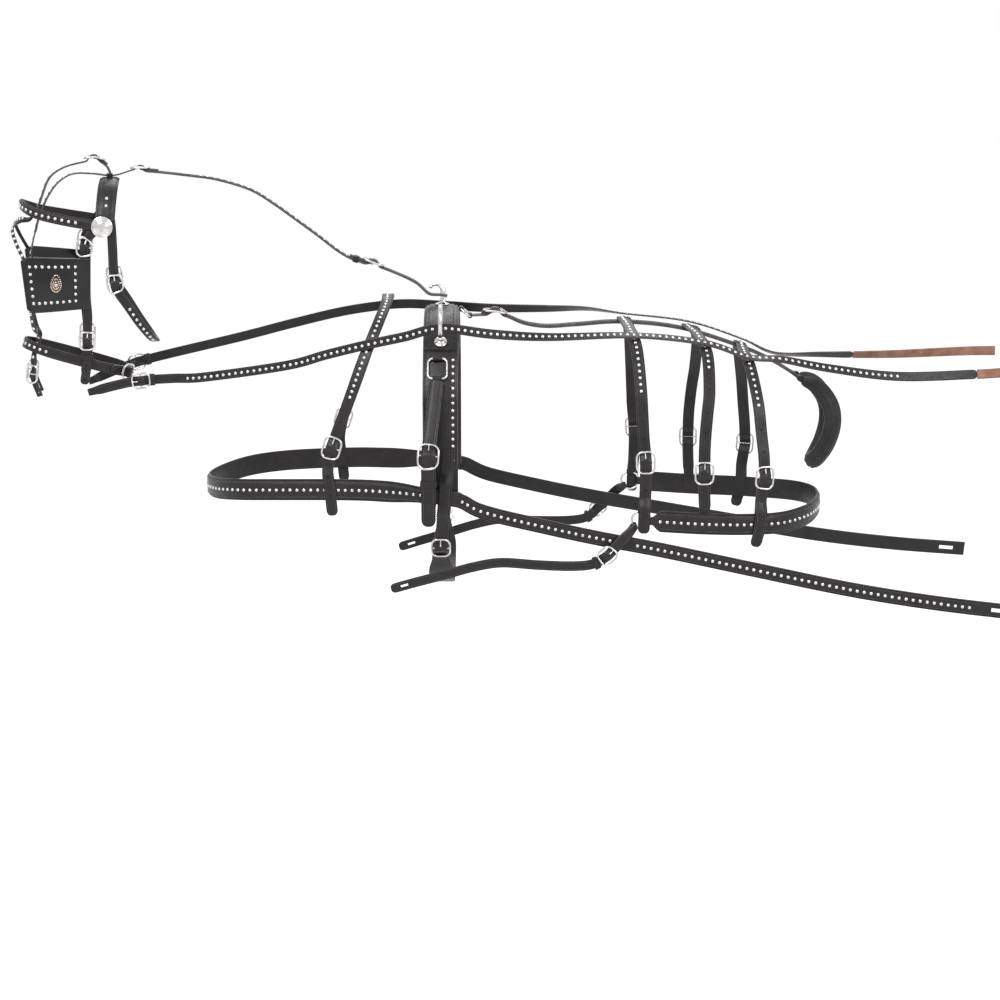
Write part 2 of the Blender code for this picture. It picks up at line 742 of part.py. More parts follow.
def draft_line(girth):
    """From the near trace end forward, round the chest and back to the far trace end."""
    outer = SKIRT_THICKNESS + LAY
    seats = []
    for sign, share in zip((1, -1), DRAFT_SEAT_SHARES):
        at = side_length(girth, NEAR, share * BODY_DEPTH)
        seat = girth.spot(at, sign * SADDLE_WIDTH * DRAFT_REACH_SHARE, outer)
        seats.append(Vector((seat.x, -seat.y, share * BODY_DEPTH)))
    rear = [body_place(*share) for share in reversed(TRACE_SHARES)]
    chest = [front_place(*share) for share in reversed(CHEST_SHARES)]
    half = rear + seats + chest
    return Line(mirrored(half), square_to(UP))


def breeching_line():
    half = [body_place(*share) for share in BREECHING_SHARES]
    return Line(mirrored(half), square_to(-UP))


def back_line():
    points = [Vector((x * REAR_LENGTH, 0, z * BODY_DEPTH)) for x, z in BACK_SHARES]
    return Line(points, square_to(LEFTWARD))


def turned_facing(turn, slope=0.0):
    """Square to a strap that lies flat on a sloping strap at its top and on a band low on each side."""
    def facing(place, along):
        top = 1 - min(abs(place.y) / (HALF_WIDTH * TOP_SHARE), 1.0)
        return Vector((1, -turn * place.y / HALF_WIDTH, slope * top)).cross(along)
    return facing


def slope_of(line, s):
    _, along, _, _ = line.frame(s)
    return along.z / along.x


def turn_of(line, s):
    """How far a level band has turned from straight along, per share of the half width."""
    place, along, _, _ = line.frame(s)
    return -(along.y / along.x) / (place.y / HALF_WIDTH)


def hip_line(back, breeching, top_share, down_shares, low_shares):
    """From the near tail over the back to the far tail."""
    along_back = back.nearest(lambda p: abs(p.x - top_share * REAR_LENGTH))
    top = back.spot(along_back, 0, BACK_STRAP_THICKNESS + 2 * LAY)
    down = [body_place(*share) for share in down_shares]
    cross = breeching.nearest(lambda p: abs(p.x - down[-1].x) + (HALF_WIDTH if p.y > 0 else 0))
    seat = breeching.spot(cross)
    seat_point = Vector((seat.x, -seat.y, seat.z))
    low = Vector((low_shares[0] * REAR_LENGTH, seat_point.y, low_shares[1] * BODY_DEPTH))
    half = [low, seat_point, *reversed(down), Vector((top.x, 0, top.z))]
    return Line(mirrored(half), turned_facing(turn_of(breeching, cross), slope_of(back, along_back)))


def neck_line(draft):
    half = [front_place(*share) for share in reversed(NECK_SHARES)]
    cross = draft.nearest(lambda p: abs(p.x - half[0].x) + (HALF_WIDTH if p.y > 0 else 0))
    seat = draft.spot(cross)
    seat_point = Vector((seat.x, -seat.y, seat.z))
    tail = seat_point + (seat_point - half[0]) * (TAIL_LENGTH / (seat_point - half[0]).length)
    return Line(mirrored([tail, seat_point, *half]), turned_facing(turn_of(draft, cross)))


def shaft_line(girth, draft, side):
    """The inside of the loop that holds the shaft, starting at its outer side and going up."""
    seat = girth.spot(side_length(girth, side, DRAFT_SHARE * BODY_DEPTH), 0, SKIRT_THICKNESS + LAY)
    inner = abs(seat.y) + COLLAR_THICKNESS + TRACE_THICKNESS + GAP + LAY + TUG_THICKNESS
    middle = inner + SHAFT_OPENING / 2
    high = SHAFT_LOOP_HEIGHT / 2 - TUG_THICKNESS
    wide = SHAFT_OPENING / 2
    centre = Vector((TUG_PLACE_SHARE * REAR_LENGTH, 0, TUG_HEIGHT_SHARE * BODY_DEPTH))
    points = []
    for u, w in SHAFT_LOOP_SHARES:
        points.append(centre + Vector((0, side * (middle + u * wide), w * high)))
    return Line(points, square_to(REARWARD * -side), closed=True, steps=6)


def check_line(crown):
    """From the saddle hook forward over the crest and the poll, down to the forehead."""
    crest = [crest_place(*share) for share in CHECK_SHARES]
    poll = [head_place(x, 0, z) for x, z in POLL_SHARES]
    over = crown.spot(crown.length / 2, 0, CROWN_THICKNESS + LAY)
    poll[1] = over
    return Line(crest + poll, square_to(-LEFTWARD))


def head_loop(shares, axis, closed=False):
    """A line from the near side to the far side, mirrored about the middle of the head."""
    near = [head_place(x, -y, z) for x, y, z in shares]
    far = [head_place(x, y, z) for x, y, z in reversed(shares)]
    points = near + (far[1:-1] if closed else far[1:])
    return Line(points, square_to(head_direction(axis)), closed=closed)


def crown_line():
    return head_loop(CROWN_SHARES, (1, 0, 0))


def browband_line():
    return head_loop(BROWBAND_SHARES, (0, 0, 1))


def throat_line():
    return head_loop(THROAT_SHARES, (-1, 0, 0))


def noseband_line():
    return head_loop(NOSEBAND_SHARES, NOSEBAND_AXIS_SHARES, closed=True)


def head_local(point):
    return head_frame().inverted() @ point


def cheek_line(noseband, side):
    """Down the cheek, over the noseband near its end."""
    points = [head_place(x, side * y, z) for x, y, z in CHEEK_SHARES]
    cross = points[CHEEK_CROSS_INDEX]
    at = noseband.nearest(lambda p: (p - cross).length)
    points[CHEEK_CROSS_INDEX] = noseband.spot(at, 0, NOSEBAND_THICKNESS + LAY)
    return Line(points, square_to(head_direction((side, 0, 0))))


def leg_line(check, noseband, side):
    """One leg of the overcheck, from the forehead to below the noseband, which lies over it."""
    forward = head_direction((-1, 0, 0))
    points = [check.spot(check.length - OVERCHECK_WIDTH)]
    points += [head_place(x, side * y, z) for x, y, z in LEG_SHARES]
    last = points[-1]
    at = noseband.nearest(lambda p: (p - last).length)
    _, _, _, outward = noseband.frame(at)
    inner = -OVERCHECK_THICKNESS - 3 * LAY
    for share in LEG_SEAT_SHARES:
        points.append(noseband.spot(at, share * NOSEBAND_WIDTH, inner))
    points.append(points[-1] - UP * NOSEBAND_WIDTH)
    turned = [forward.lerp(outward, share) for share in LEG_TURN_SHARES]
    return Line(points, [forward] * 3 + turned + [outward] * 3)


# Places along the straps, as shares of the body's depth or of the rear length
NECK_BUCKLE_SHARE = -0.430
TUG_BUCKLE_SHARE = -0.444
TUG_KEEPER_SHARE = -0.535
BACK_BUCKLE_SHARE = 0.095
BACK_NARROW_SHARE = 0.8
SLOT_AT = 0.036
SLOT_REACH_SHARE = 0.55
SLOT_WIDTH_SHARE = 0.28
LAP_SHARE = 0.036
LAP_END_SHARE = 0.048
HIP_CLEAR_SHARE = 0.56
NECK_CLEAR_SHARE = 0.62
HIP_BUCKLE_SHARES = ((-0.466, -0.722), (-0.510, -0.640), (-0.528, -0.770))
# The holdback from the ring forward: shares of rear length, half width and body depth
HOLDBACK_SHARES = (
    (0.326, 1.022, -0.718), (0.312, 1.036, -0.750), (0.294, 1.030, -0.790), (0.268, 1.010, -0.826),
    (0.230, 0.993, -0.836),
    (0.170, 0.970, -0.834), (0.106, 0.945, -0.828), (0.056, 0.925, -0.846), (0.005, 0.905, -0.876),
    (-0.048, 0.885, -0.906), (-0.088, 0.870, -0.930),
)
RING_SLEEVE_SHARE = 0.8
RING_END_SHARES = (1.05, 1.3, 1.6, 2.1)
HOLDBACK_ANGLE = -137
HOLDBACK_BUCKLE_AT = 0.072
FORK_LENGTH = 0.012
FORK_THICKNESS = 0.0062
FORK_ROOT_SHARE = 0.22
FORK_BEND_SHARE = 0.6
BACK_TIP_SHARE = 0.61
DOCK_SPREAD = 0.027
DOCK_DEPTH = 0.160
KNUCKLE_RADIUS = 0.0055
# The dock's middle line below its pivots: shares of its depth and of its half spread
DOCK_CENTRE_SHARES = (0.12, -0.5)
DOCK_CLEAR_SHARE = 1.15
DOCK_SHARES = (
    (0.20, 1.15, -0.10), (0.345, 1.30, -0.30), (0.375, 1.25, -0.52), (0.320, 1.00, -0.74),
    (0.235, 0.55, -0.90), (0.190, 0, -0.96),
)

FLAP_SWELL_SHARE = 0.30
REAR_CHECK_SHARE = 0.212
POLL_BUCKLE_SHARE = 0.910
NOSEBAND_BUCKLE_AT = 0.024
BIT_END_TURN_SHARE = 0.35
BIT_END_SHARE = 0.6
SLIT_SHARE = 0.28
REIN_LOOP_RADIUS = 0.006
BLINKER_STRIP_SHARE = 0.16
BLINKER_COLUMN_SHARES = (0.30, 0.45, 0.60, 0.74, 0.86, 0.95, 1.0)
BLINKER_ROW_SHARES = (0, 0.12, 0.3, 0.5, 0.7, 0.88, 1.0)
BLINKER_CORNER_SHARE = 0.82
BLINKER_DRAW_SHARE = 0.22
BLINKER_ROUND_SHARE = 0.96
BLINKER_FACING_SHARES = (-0.15, 0)
# A rosette's turned outline: shares of its radius and height
ROSETTE_PROFILE_SHARES = ((1.0, 0), (1.0, 0.22), (0.86, 0.34), (0.72, 0.62), (0.45, 0.9), (0.15, 1.0))

# Heights above the girth line of the saddle's layers

SKIRT_LIFT = PANEL_THICKNESS + GAP
SKIRT_TOP = SKIRT_LIFT + SKIRT_THICKNESS
SEAT_LIFT = SKIRT_TOP + GAP
SEAT_TOP = SEAT_LIFT + SEAT_THICKNESS
# Heights above the draft line at the saddle
LAP_LIFT = COLLAR_THICKNESS + LAY
DRAFT_TOP = LAP_LIFT + TRACE_THICKNESS
RING_LIFT = RING_WIRE / 2 + CHAPE_THICKNESS + 2 * GAP
SLEEVE = DEE_WIRE / 2 + GAP + SLEEVE_WALL
# Height above the crown line of the loop that holds the overcheck
CROWN_LOOP_TOP = CROWN_THICKNESS + OVERCHECK_THICKNESS + 3 * LAY + SLEEVE_WALL

# Heights on the body, as shares of its depth, where the saddle's pieces end or sit
SKIRT_END_SHARE = -0.600
PANEL_END_SHARE = -0.235
SKIRT_DROP_SHARES = (-0.255, -0.330)
SEAT_END_SHARE = -0.112
TERRET_SHARE = -0.094
DEE_TOP_SHARE = -0.140
DEE_LOW_SHARE = -0.200
BILLET_TOP_SHARE = -0.430
GIRTH_BUCKLE_SHARE = -0.775
PANEL_SWELL_SHARE = 0.55
SADDLE_ROW_SHARES = (
    SKIRT_END_SHARE, *SKIRT_DROP_SHARES, -0.293, PANEL_END_SHARE, PANEL_END_SHARE * 0.96, SEAT_END_SHARE,
)
PANEL_SHARES = ((-0.82, 0), (0.82, 0), (1, 0.45), (0.96, 1), (-0.96, 1), (-1, 0.45))


def sleeve(centre, axis, radius, width, sides=8):
    """A short round sleeve about an axis."""
    other = UP if abs(axis.dot(UP)) < 0.9 else REARWARD
    u = axis.cross(other).normalized()
    v = axis.cross(u)
    rings = []
    for reach in (-width / 2, width / 2):
        rings.append([
            centre + axis * reach + (u * math.cos(a) + v * math.sin(a)) * radius
            for a in (2 * math.pi * (k + 0.5) / sides for k in range(sides))
        ])
    return skin(rings)


def bore(centre, axis, wire, width):
    """A cutter for a round hole that a bar turns in."""
    return sleeve(centre, axis, (wire / 2 + GAP) / math.cos(math.pi / BORE_SIDES), width, BORE_SIDES)


def dee_loop(top, low, way, width):
    """A dee between the middles of its two bars."""
    return wire_loop(dee_map(top, low, way), dee_length(top, low), width, DEE_WIRE * 2, DEE_WIRE)


class Harness:
    """The lines of every strap, and the places worked out from them."""

    def __init__(self):
        self.girth = girth_line()
        self.draft = draft_line(self.girth)
        self.breeching = breeching_line()
        self.back = back_line()
        self.hips = [hip_line(self.back, self.breeching, *shares) for shares in HIP_SHARES]
        self.neck = neck_line(self.draft)
        self.crown = crown_line()
        self.check = check_line(self.crown)
        self.browband = browband_line()
        self.throat = throat_line()
        self.noseband = noseband_line()
        self.cheeks = {side: cheek_line(self.noseband, side) for _, side in SIDES}
        self.legs = {side: leg_line(self.check, self.noseband, side) for _, side in SIDES}
        self.shafts = {side: shaft_line(self.girth, self.draft, side) for _, side in SIDES}
        self.stay = stay_line(self.crown)

    def girth_at(self, side, share):
        return side_length(self.girth, side, share * BODY_DEPTH)


def stay_line(crown):
    start = crown.spot(crown.length / 2, 0, CROWN_LOOP_TOP - SLEEVE_WALL / 2 - SEW)
    points = [start] + [head_place(x, 0, z) for x, z in STAY_SHARES]
    return Line(points, square_to(-LEFTWARD))


# Saddle


def saddle_rows(h):
    """Lengths round the girth line that every layer of the saddle has a row at, so they nest."""
    ends = [h.girth_at(side, share) for side in (NEAR, FAR) for share in SADDLE_ROW_SHARES]
    return stations(min(ends), max(ends), STRAP_STEP, ends)


def saddle_panel(h, finish):
    """One pad over the back, drawn in and thinner toward its ends."""
    start = h.girth_at(NEAR, PANEL_END_SHARE)
    end = h.girth_at(FAR, PANEL_END_SHARE)
    middle = (start + end) / 2
    reach = (end - start) / 2

    def swell(s):
        away = min(max((reach - abs(s - middle)) / PANEL_WIDTH, 0.0), 1.0)
        return PANEL_SWELL_SHARE + (1 - PANEL_SWELL_SHARE) * math.sqrt(away)
    mesh = band(h.girth, start, end, lambda s: PANEL_WIDTH * (1 + swell(s)) / 2,
                lambda s: PANEL_THICKNESS * swell(s), step=h.girth.length, extra=saddle_rows(h),
                shares=PANEL_SHARES)
    return put_object("saddle_panel", mesh, finish)


def skirt_lift(h):
    def lift(s):
        place = h.girth.spot(s)
        low, high = (share * BODY_DEPTH for share in reversed(SKIRT_DROP_SHARES))
        return SKIRT_LIFT * rise(place.z, low, high)
    return lift


def dee_places(h, side):
    """The middles of a shaft dee's upper and lower bars."""
    upper = h.girth_at(side, DEE_TOP_SHARE)
    lower = h.girth_at(side, DEE_LOW_SHARE)
    top = h.girth.spot(upper, TUG_PLACE_SHARE * REAR_LENGTH / 4, SKIRT_TOP + SLEEVE - SEW)
    low = h.girth.spot(lower, TUG_PLACE_SHARE * REAR_LENGTH / 4, SKIRT_TOP + SLEEVE + GAP + LAY)
    return top, low


def dee_map(top, low, width):
    """Maps a dee's own places to the world: u from its middle toward the lower bar."""
    middle = (top + low) / 2
    down = (low - top).normalized()
    out = down.cross(width)

    def place(u, v, w):
        return middle + down * u + width * v + out * w
    return place


def dee_length(top, low):
    return (low - top).length


def rear_dee_places(h):
    s = h.girth_at(NEAR, 0)
    high = h.girth.spot(s, 0, SKIRT_LIFT + SKIRT_THICKNESS / 2).z
    front = Vector((SADDLE_WIDTH / 2 + SLEEVE - 2 * SEW, 0, high))
    rear = h.back.spot(0, 0, CHAPE_THICKNESS / 2)
    return front, rear


def saddle_skirt(h, finish):
    start = h.girth_at(NEAR, SKIRT_END_SHARE)
    end = h.girth_at(FAR, SKIRT_END_SHARE)
    meshes = [band(h.girth, start, end, SADDLE_WIDTH, SKIRT_THICKNESS, skirt_lift(h),
                   step=h.girth.length, extra=saddle_rows(h))]
    cuts = []
    for side in (NEAR, FAR):
        top, low = dee_places(h, side)
        meshes.append(sleeve(top, REARWARD, SLEEVE, DEE_WIDTH / 2))
        cuts.append(bore(top, REARWARD, DEE_WIRE, DEE_WIDTH))
    front, _ = rear_dee_places(h)
    meshes.append(sleeve(front, LEFTWARD, SLEEVE, REAR_DEE_WIDTH / 2))
    cuts.append(bore(front, LEFTWARD, DEE_WIRE, REAR_DEE_WIDTH))
    return joined("saddle_skirt", meshes, finish, cuts)


def saddle_seat(h, finish):
    start = h.girth_at(NEAR, SEAT_END_SHARE)
    end = h.girth_at(FAR, SEAT_END_SHARE)
    mesh = band(h.girth, start, end, SADDLE_WIDTH * CHAPE_WIDTH_SHARE, SEAT_THICKNESS, SEAT_LIFT,
                step=h.girth.length, extra=saddle_rows(h), shares=RAISED_SHARES)
    return put_object("saddle_seat", mesh, finish)


def shaft_dee(h, name, side, finish):
    top, low = dee_places(h, side)
    return put_object(f"shaft_dee_{name}", dee_loop(top, low, REARWARD, DEE_WIDTH), finish, top)


def rear_dee(h, finish):
    front, rear = rear_dee_places(h)
    return put_object("rear_dee", dee_loop(front, rear, LEFTWARD, REAR_DEE_WIDTH), finish, front)


def terret_frame(h, side):
    """A terret's foot on the seat, and the direction of its stem."""
    s = h.girth_at(side, TERRET_SHARE)
    foot = h.girth.spot(s, 0, SEAT_TOP)
    _, _, _, outward = h.girth.frame(s)
    return foot, outward, (outward + UP * 2).normalized()


def terret_ring_centre(h, side):
    foot, _, lean = terret_frame(h, side)
    return foot + lean * (TERRET_STEM + TERRET_RADIUS)


def terret(h, name, side, finish):
    foot, outward, lean = terret_frame(h, side)
    centre = terret_ring_centre(h, side)
    count = 16
    ring = tube(
        [centre + (lean * math.cos(a) + REARWARD.cross(lean) * math.sin(a)) * TERRET_RADIUS
         for a in (2 * math.pi * k / count for k in range(count))],
        TERRET_WIRE / 2, 6, True, REARWARD,
    )
    flange_height = TERRET_WIRE / 2
    flange = sleeve(foot + outward * (GAP + flange_height / 2), outward, TERRET_FLANGE, flange_height, 10)
    stem = tube([foot + outward * (GAP + flange_height / 2), foot + lean * (TERRET_STEM + TERRET_WIRE / 4)],
                TERRET_WIRE * 0.45, 8, False, REARWARD)
    return joined(f"terret_{name}", [ring, flange, stem], finish, origin=foot)


def check_hook(h, finish):
    """A plate on the seat with a post that curls forward over the check rein's end."""
    base = h.girth.spot(h.girth_at(NEAR, 0), 0, SEAT_TOP).z + GAP
    plate_height = HOOK_WIRE / 2
    plate = sleeve(Vector((0, 0, base + plate_height / 2)), UP, HOOK_PLATE_RADIUS, plate_height, PLATE_SIDES)
    high = base + HOOK_HEIGHT - HOOK_CURL
    path = [Vector((0, 0, base + plate_height / 2)), Vector((0, 0, high))]
    for k in range(1, 6):
        a = HOOK_CURL_TURN * k / 5
        path.append(Vector((HOOK_CURL * (math.cos(a) - 1), 0, high + HOOK_CURL * math.sin(a))))
    post = tube(path, HOOK_WIRE / 2, 6, False, LEFTWARD)
    return joined("check_hook", [plate, post], finish, origin=Vector((0, 0, base)))


def girth_billet(h, name, side, finish):
    """Hangs from the skirt over the trace and through the girth buckle."""
    top = h.girth_at(side, BILLET_TOP_SHARE)
    centre = h.girth_at(side, GIRTH_BUCKLE_SHARE)
    trace = h.girth_at(side, DRAFT_SHARE)
    end = centre - (1 if side == NEAR else -1) * TAIL_LENGTH
    sign = 1 if top > centre else -1
    on_skirt = SKIRT_THICKNESS + GAP
    over = SKIRT_THICKNESS + LAY + DRAFT_TOP + 2 * LAY
    beside = TRACE_WIDTH / 2 + OVERRUN
    reach = STRAP_STEP * 1.2

    def rest(s):
        away = abs(s - trace)
        low = on_skirt if (s - trace) * sign > 0 else CHAPE_THICKNESS + GAP
        return over + (low - over) * rise(away, beside, beside + reach)

    def aside(s):
        t = min(max((s - end) / (top - end), 0), 1)
        return BILLET_WIDTH * (-0.2 + 0.85 * t)
    lift = billet_lift([(centre, BUCKLE_LENGTH, BILLET_THICKNESS)], rest)
    extra = bulge_rows(centre, BUCKLE_LENGTH)
    extra += [trace + k * (beside + reach * share) for k in (-1, 1) for share in (0, 0.33, 0.66, 1)]
    extra += tip_rows(end, BILLET_WIDTH / 2, -sign)
    low, high = sorted((end, top))
    mesh = band(h.girth, low, high, lambda s: tip_width(s, end, BILLET_WIDTH, BILLET_WIDTH / 2),
                BILLET_THICKNESS, lift, extra=extra, sideways=aside)
    put_object(f"girth_billet_{name}", mesh, finish)
    return centre, aside(centre)


def girth_parts(h, leather):
    """The two girth straps, and the belly band with a buckle at each end."""
    centres = {}
    for name, side in SIDES:
        centres[side] = girth_billet(h, name, side, leather)
    near, far = centres[NEAR][0], centres[FAR][0] - h.girth.length
    aside = centres[NEAR][1]

    def lift(s):
        return (held_rise(BILLET_THICKNESS)
                * (bulge(s, near, BUCKLE_LENGTH) + bulge(s, far, BUCKLE_LENGTH)))

    def width(s):
        t = min(rise(s, far, far + TAIL_LENGTH * 1.6), 1 - rise(s, near - TAIL_LENGTH * 1.6, near))
        return BILLET_WIDTH * 0.9 + (GIRTH_WIDTH - BILLET_WIDTH * 0.9) * t
    extra = bulge_rows(near, BUCKLE_LENGTH) + bulge_rows(far, BUCKLE_LENGTH)
    meshes = [band(h.girth, far, near, width, CHAPE_THICKNESS, lift, extra=extra, sideways=aside)]
    for at, tongue in ((near, 1), (far, -1)):
        meshes += buckle_meshes(h.girth, at, BILLET_WIDTH, CHAPE_THICKNESS, BILLET_THICKNESS, tongue=tongue,
                                sideways=aside)
    return joined("girth", meshes, leather)


def tug_line(h, side):
    """From the dee's lower bar down the outer side of the shaft loop."""
    _, low = dee_places(h, side)
    loop = h.shafts[side]
    rest = CHAPE_THICKNESS + GAP + TUG_THICKNESS / 2
    on_loop = [loop.spot(loop.length * share, 0, TUG_THICKNESS) for share in (0.075, 0.0, -0.075)]
    start = Vector((low.x, low.y - side * rest, low.z))
    shoulder = on_loop[0] + UP * BUCKLE_LENGTH * 0.75 + LEFTWARD * side * LAY
    middle = start.lerp(shoulder, 0.5)
    tail = on_loop[-1] - UP * TAIL_LENGTH * 1.4
    return Line([start, middle, shoulder, *on_loop, tail], square_to(REARWARD * side))


def shaft_parts(h, name, side, leather, metal):
    """The strap from the dee, the loop for the shaft, their buckle and keeper."""
    line = tug_line(h, side)
    loop = h.shafts[side]
    centre = line.nearest(lambda p: abs(p.z - TUG_BUCKLE_SHARE * BODY_DEPTH))
    end = line.length
    rest = CHAPE_THICKNESS + GAP
    lift = billet_lift([(centre, BUCKLE_LENGTH, TUG_THICKNESS)], rest)
    narrow = DEE_WIDTH / 2

    def width(s):
        wide = narrow + (TUG_WIDTH - narrow) * rise(s, SLEEVE, 2 * SLEEVE)
        return tip_width(s, end, wide, TUG_WIDTH / 2)
    strap = band(line, 0, end, width, TUG_THICKNESS, lift, extra=[SLEEVE, 2 * SLEEVE]
                 + bulge_rows(centre, BUCKLE_LENGTH) + tip_rows(end, TUG_WIDTH / 2, 1))
    _, low = dee_places(h, side)
    wrap = sleeve(low, REARWARD, SLEEVE + GAP, DEE_WIDTH / 2)
    hole = bore(low, REARWARD, DEE_WIRE, DEE_WIDTH)
    joined(f"tug_strap_{name}", [strap, wrap], leather, [hole], origin=low)
    meshes = buckle_meshes(line, centre, TUG_WIDTH, CHAPE_THICKNESS, TUG_THICKNESS, tongue=-1)
    joined(f"tug_buckle_{name}", meshes, metal, origin=low)
    hoop = band(loop, 0, loop.length, TUG_WIDTH, TUG_THICKNESS, 0, step=SHORT_STEP, ring=True)
    fold = chape(line, centre, centre + BUCKLE_LENGTH * CHAPE_WIDTH_SHARE, TUG_WIDTH * CHAPE_WIDTH_SHARE,
                 CHAPE_THICKNESS + SEW, TUG_THICKNESS, base=-SEW, held=False)
    joined(f"shaft_loop_{name}", [hoop, fold], leather, origin=low)
    keeper_at = line.nearest(lambda p: abs(p.z - TUG_KEEPER_SHARE * BODY_DEPTH))
    keeper(f"tug_keeper_{name}", line, keeper_at, TUG_WIDTH, -TUG_THICKNESS - GAP,
           rest + TUG_THICKNESS + GAP, leather)


def keeper(name, line, centre, width, inner, outer, finish):
    """A leather ring round everything between two heights above the line."""
    length = width * KEEPER_SHARE
    wall = SLEEVE_WALL
    meshes = []
    for grow in (wall, 0):
        half = width / 2 + GAP + grow
        reach = length / 2 if grow else length
        rings = []
        for u in (-reach, reach):
            rings.append([
                line.spot(centre + u, v * half, w)
                for v, w in ((-1, inner - grow), (1, inner - grow), (1, outer + grow), (-1, outer + grow))
            ])
        meshes.append(skin(rings))
    place, _, _, _ = line.frame(centre)
    return joined(name, meshes[:1], finish, meshes[1:], origin=place)


# Collar, neck strap and traces


def near_only(place):
    """Keeps a search on the near side."""
    return HALF_WIDTH if place.y > 0 else 0


def line_at_x(line, x):
    return line.nearest(lambda p: abs(p.x - x) + near_only(p))


def line_at_z(line, z):
    return line.nearest(lambda p: abs(p.z - z) + near_only(p))


def crossing(line, other):
    """Where a line passes the other on the near side."""
    return line.nearest(lambda p: near_only(p) + min((p - q).length for q in other.line[::2]))


def collar_lift(h):
    """Flat on the skirt, and over the neck strap's chapes from there to the chest."""
    middle = h.draft.length / 2
    cross = crossing(h.draft, h.neck)
    low = cross - COLLAR_WIDTH * 2

    def lift(s):
        away = middle - abs(s - middle)
        return (CHAPE_THICKNESS - SEW) * rise(away, low, cross - COLLAR_WIDTH * 0.6)
    return lift


def breast_collar(h, finish):
    """The band round the chest, with a chape up to each neck strap buckle."""
    start = line_at_x(h.draft, LAP_SHARE * REAR_LENGTH)
    end = h.draft.length - start
    middle = h.draft.length / 2

    def width(s):
        away = middle - abs(s - middle)
        wide = rise(away, start + TAIL_LENGTH, start + TAIL_LENGTH * 3)
        return TRACE_WIDTH + (COLLAR_WIDTH - TRACE_WIDTH) * wide
    meshes = [band(h.draft, start, end, width, COLLAR_THICKNESS, collar_lift(h), shares=RAISED_SHARES)]
    centre = line_at_z(h.neck, NECK_BUCKLE_SHARE * BODY_DEPTH)
    seat = crossing(h.neck, h.draft) - COLLAR_WIDTH * 0.35
    for a, b, tongue in ((centre, seat, 1), (h.neck.length - centre, h.neck.length - seat, -1)):
        meshes += buckled_chape(h.neck, a, b, NECK_STRAP_WIDTH, NECK_STRAP_THICKNESS, tongue=tongue)
    return joined("breast_collar", meshes, finish)


def ended_lift(line, buckles, seat, over, under, clear):
    """A billet's height on a strap that is buckled at both ends and passes over a band at its tails."""
    centre, length, _ = buckles[0]

    def rest(s):
        away = min(s, line.length - s)
        low = under * (1 - rise(away, centre + length * 0.7, centre + length * 1.9))
        return over + (low - over) * rise(away, seat + clear, seat + clear * 2)
    return billet_lift(buckles, rest)


def seat_rows(line, seat, clear):
    """Rows where a strap climbs over a band on each side, which the chapes under it have too."""
    near = [seat + clear * share for share in SEAT_ROW_SHARES]
    return near + [line.length - s for s in near]


def ended_strap(line, centre, end, seat, over, clear, width, thickness, length):
    """A strap over the back or neck with a buckle near each end and its tails over a band."""
    far = line.length - centre
    buckles = [(centre, length, thickness), (far, length, thickness)]
    lift = ended_lift(line, buckles, seat, over, CHAPE_THICKNESS + GAP, clear)
    last = line.length - end

    def tip(s):
        return tip_width(min(s, line.length - s), end, width, width / 2)
    extra = bulge_rows(centre, length) + bulge_rows(far, length)
    extra += tip_rows(end, width / 2, -1) + tip_rows(last, width / 2, 1)
    extra += seat_rows(line, seat, clear)
    return band(line, end, last, tip, thickness, lift, extra=extra)


def neck_strap(h, finish):
    centre = line_at_z(h.neck, NECK_BUCKLE_SHARE * BODY_DEPTH)
    seat = crossing(h.neck, h.draft)
    over = CHAPE_THICKNESS - SEW + COLLAR_THICKNESS + LAY
    mesh = ended_strap(h.neck, centre, 0, seat, over, COLLAR_WIDTH * NECK_CLEAR_SHARE, NECK_STRAP_WIDTH,
                       NECK_STRAP_THICKNESS, BUCKLE_LENGTH)
    return put_object("neck_strap", mesh, finish)


def trace(h, name, side, finish):
    """Sewn over the collar's end behind the shaft strap, and back to a slotted end."""
    lap = line_at_x(h.draft, -LAP_SHARE * REAR_LENGTH)
    leave = line_at_x(h.draft, LAP_END_SHARE * REAR_LENGTH)
    clear = line_at_x(h.draft, LAP_END_SHARE * REAR_LENGTH * 1.8)
    total = h.draft.length

    def lift(s):
        away = s if side == NEAR else total - s
        return LAP_LIFT * rise(away, clear, leave)
    low, high = (0, lap) if side == NEAR else (total - lap, total)
    extra = [leave, clear, (leave + clear) / 2]
    extra = extra if side == NEAR else [total - s for s in extra]
    mesh = band(h.draft, low, high, TRACE_WIDTH, TRACE_THICKNESS, lift, step=LONG_STEP, extra=extra)
    slot_at = SLOT_AT if side == NEAR else total - SLOT_AT
    reach = TRACE_WIDTH * SLOT_REACH_SHARE
    slot = block(h.draft, slot_at - reach, slot_at + reach, TRACE_WIDTH * SLOT_WIDTH_SHARE,
                 -TRACE_THICKNESS, TRACE_THICKNESS * 2)
    return joined(f"trace_{name}", [mesh], finish, [slot])


# Back strap, hip straps, breeching and crupper


def fork_places(h, side):
    """The crupper dock's pivot on one side of the back strap's end."""
    place, along, _, _ = h.back.frame(h.back.length)
    return place + along * FORK_LENGTH + Vector((0, side * DOCK_SPREAD, BACK_STRAP_THICKNESS / 2))


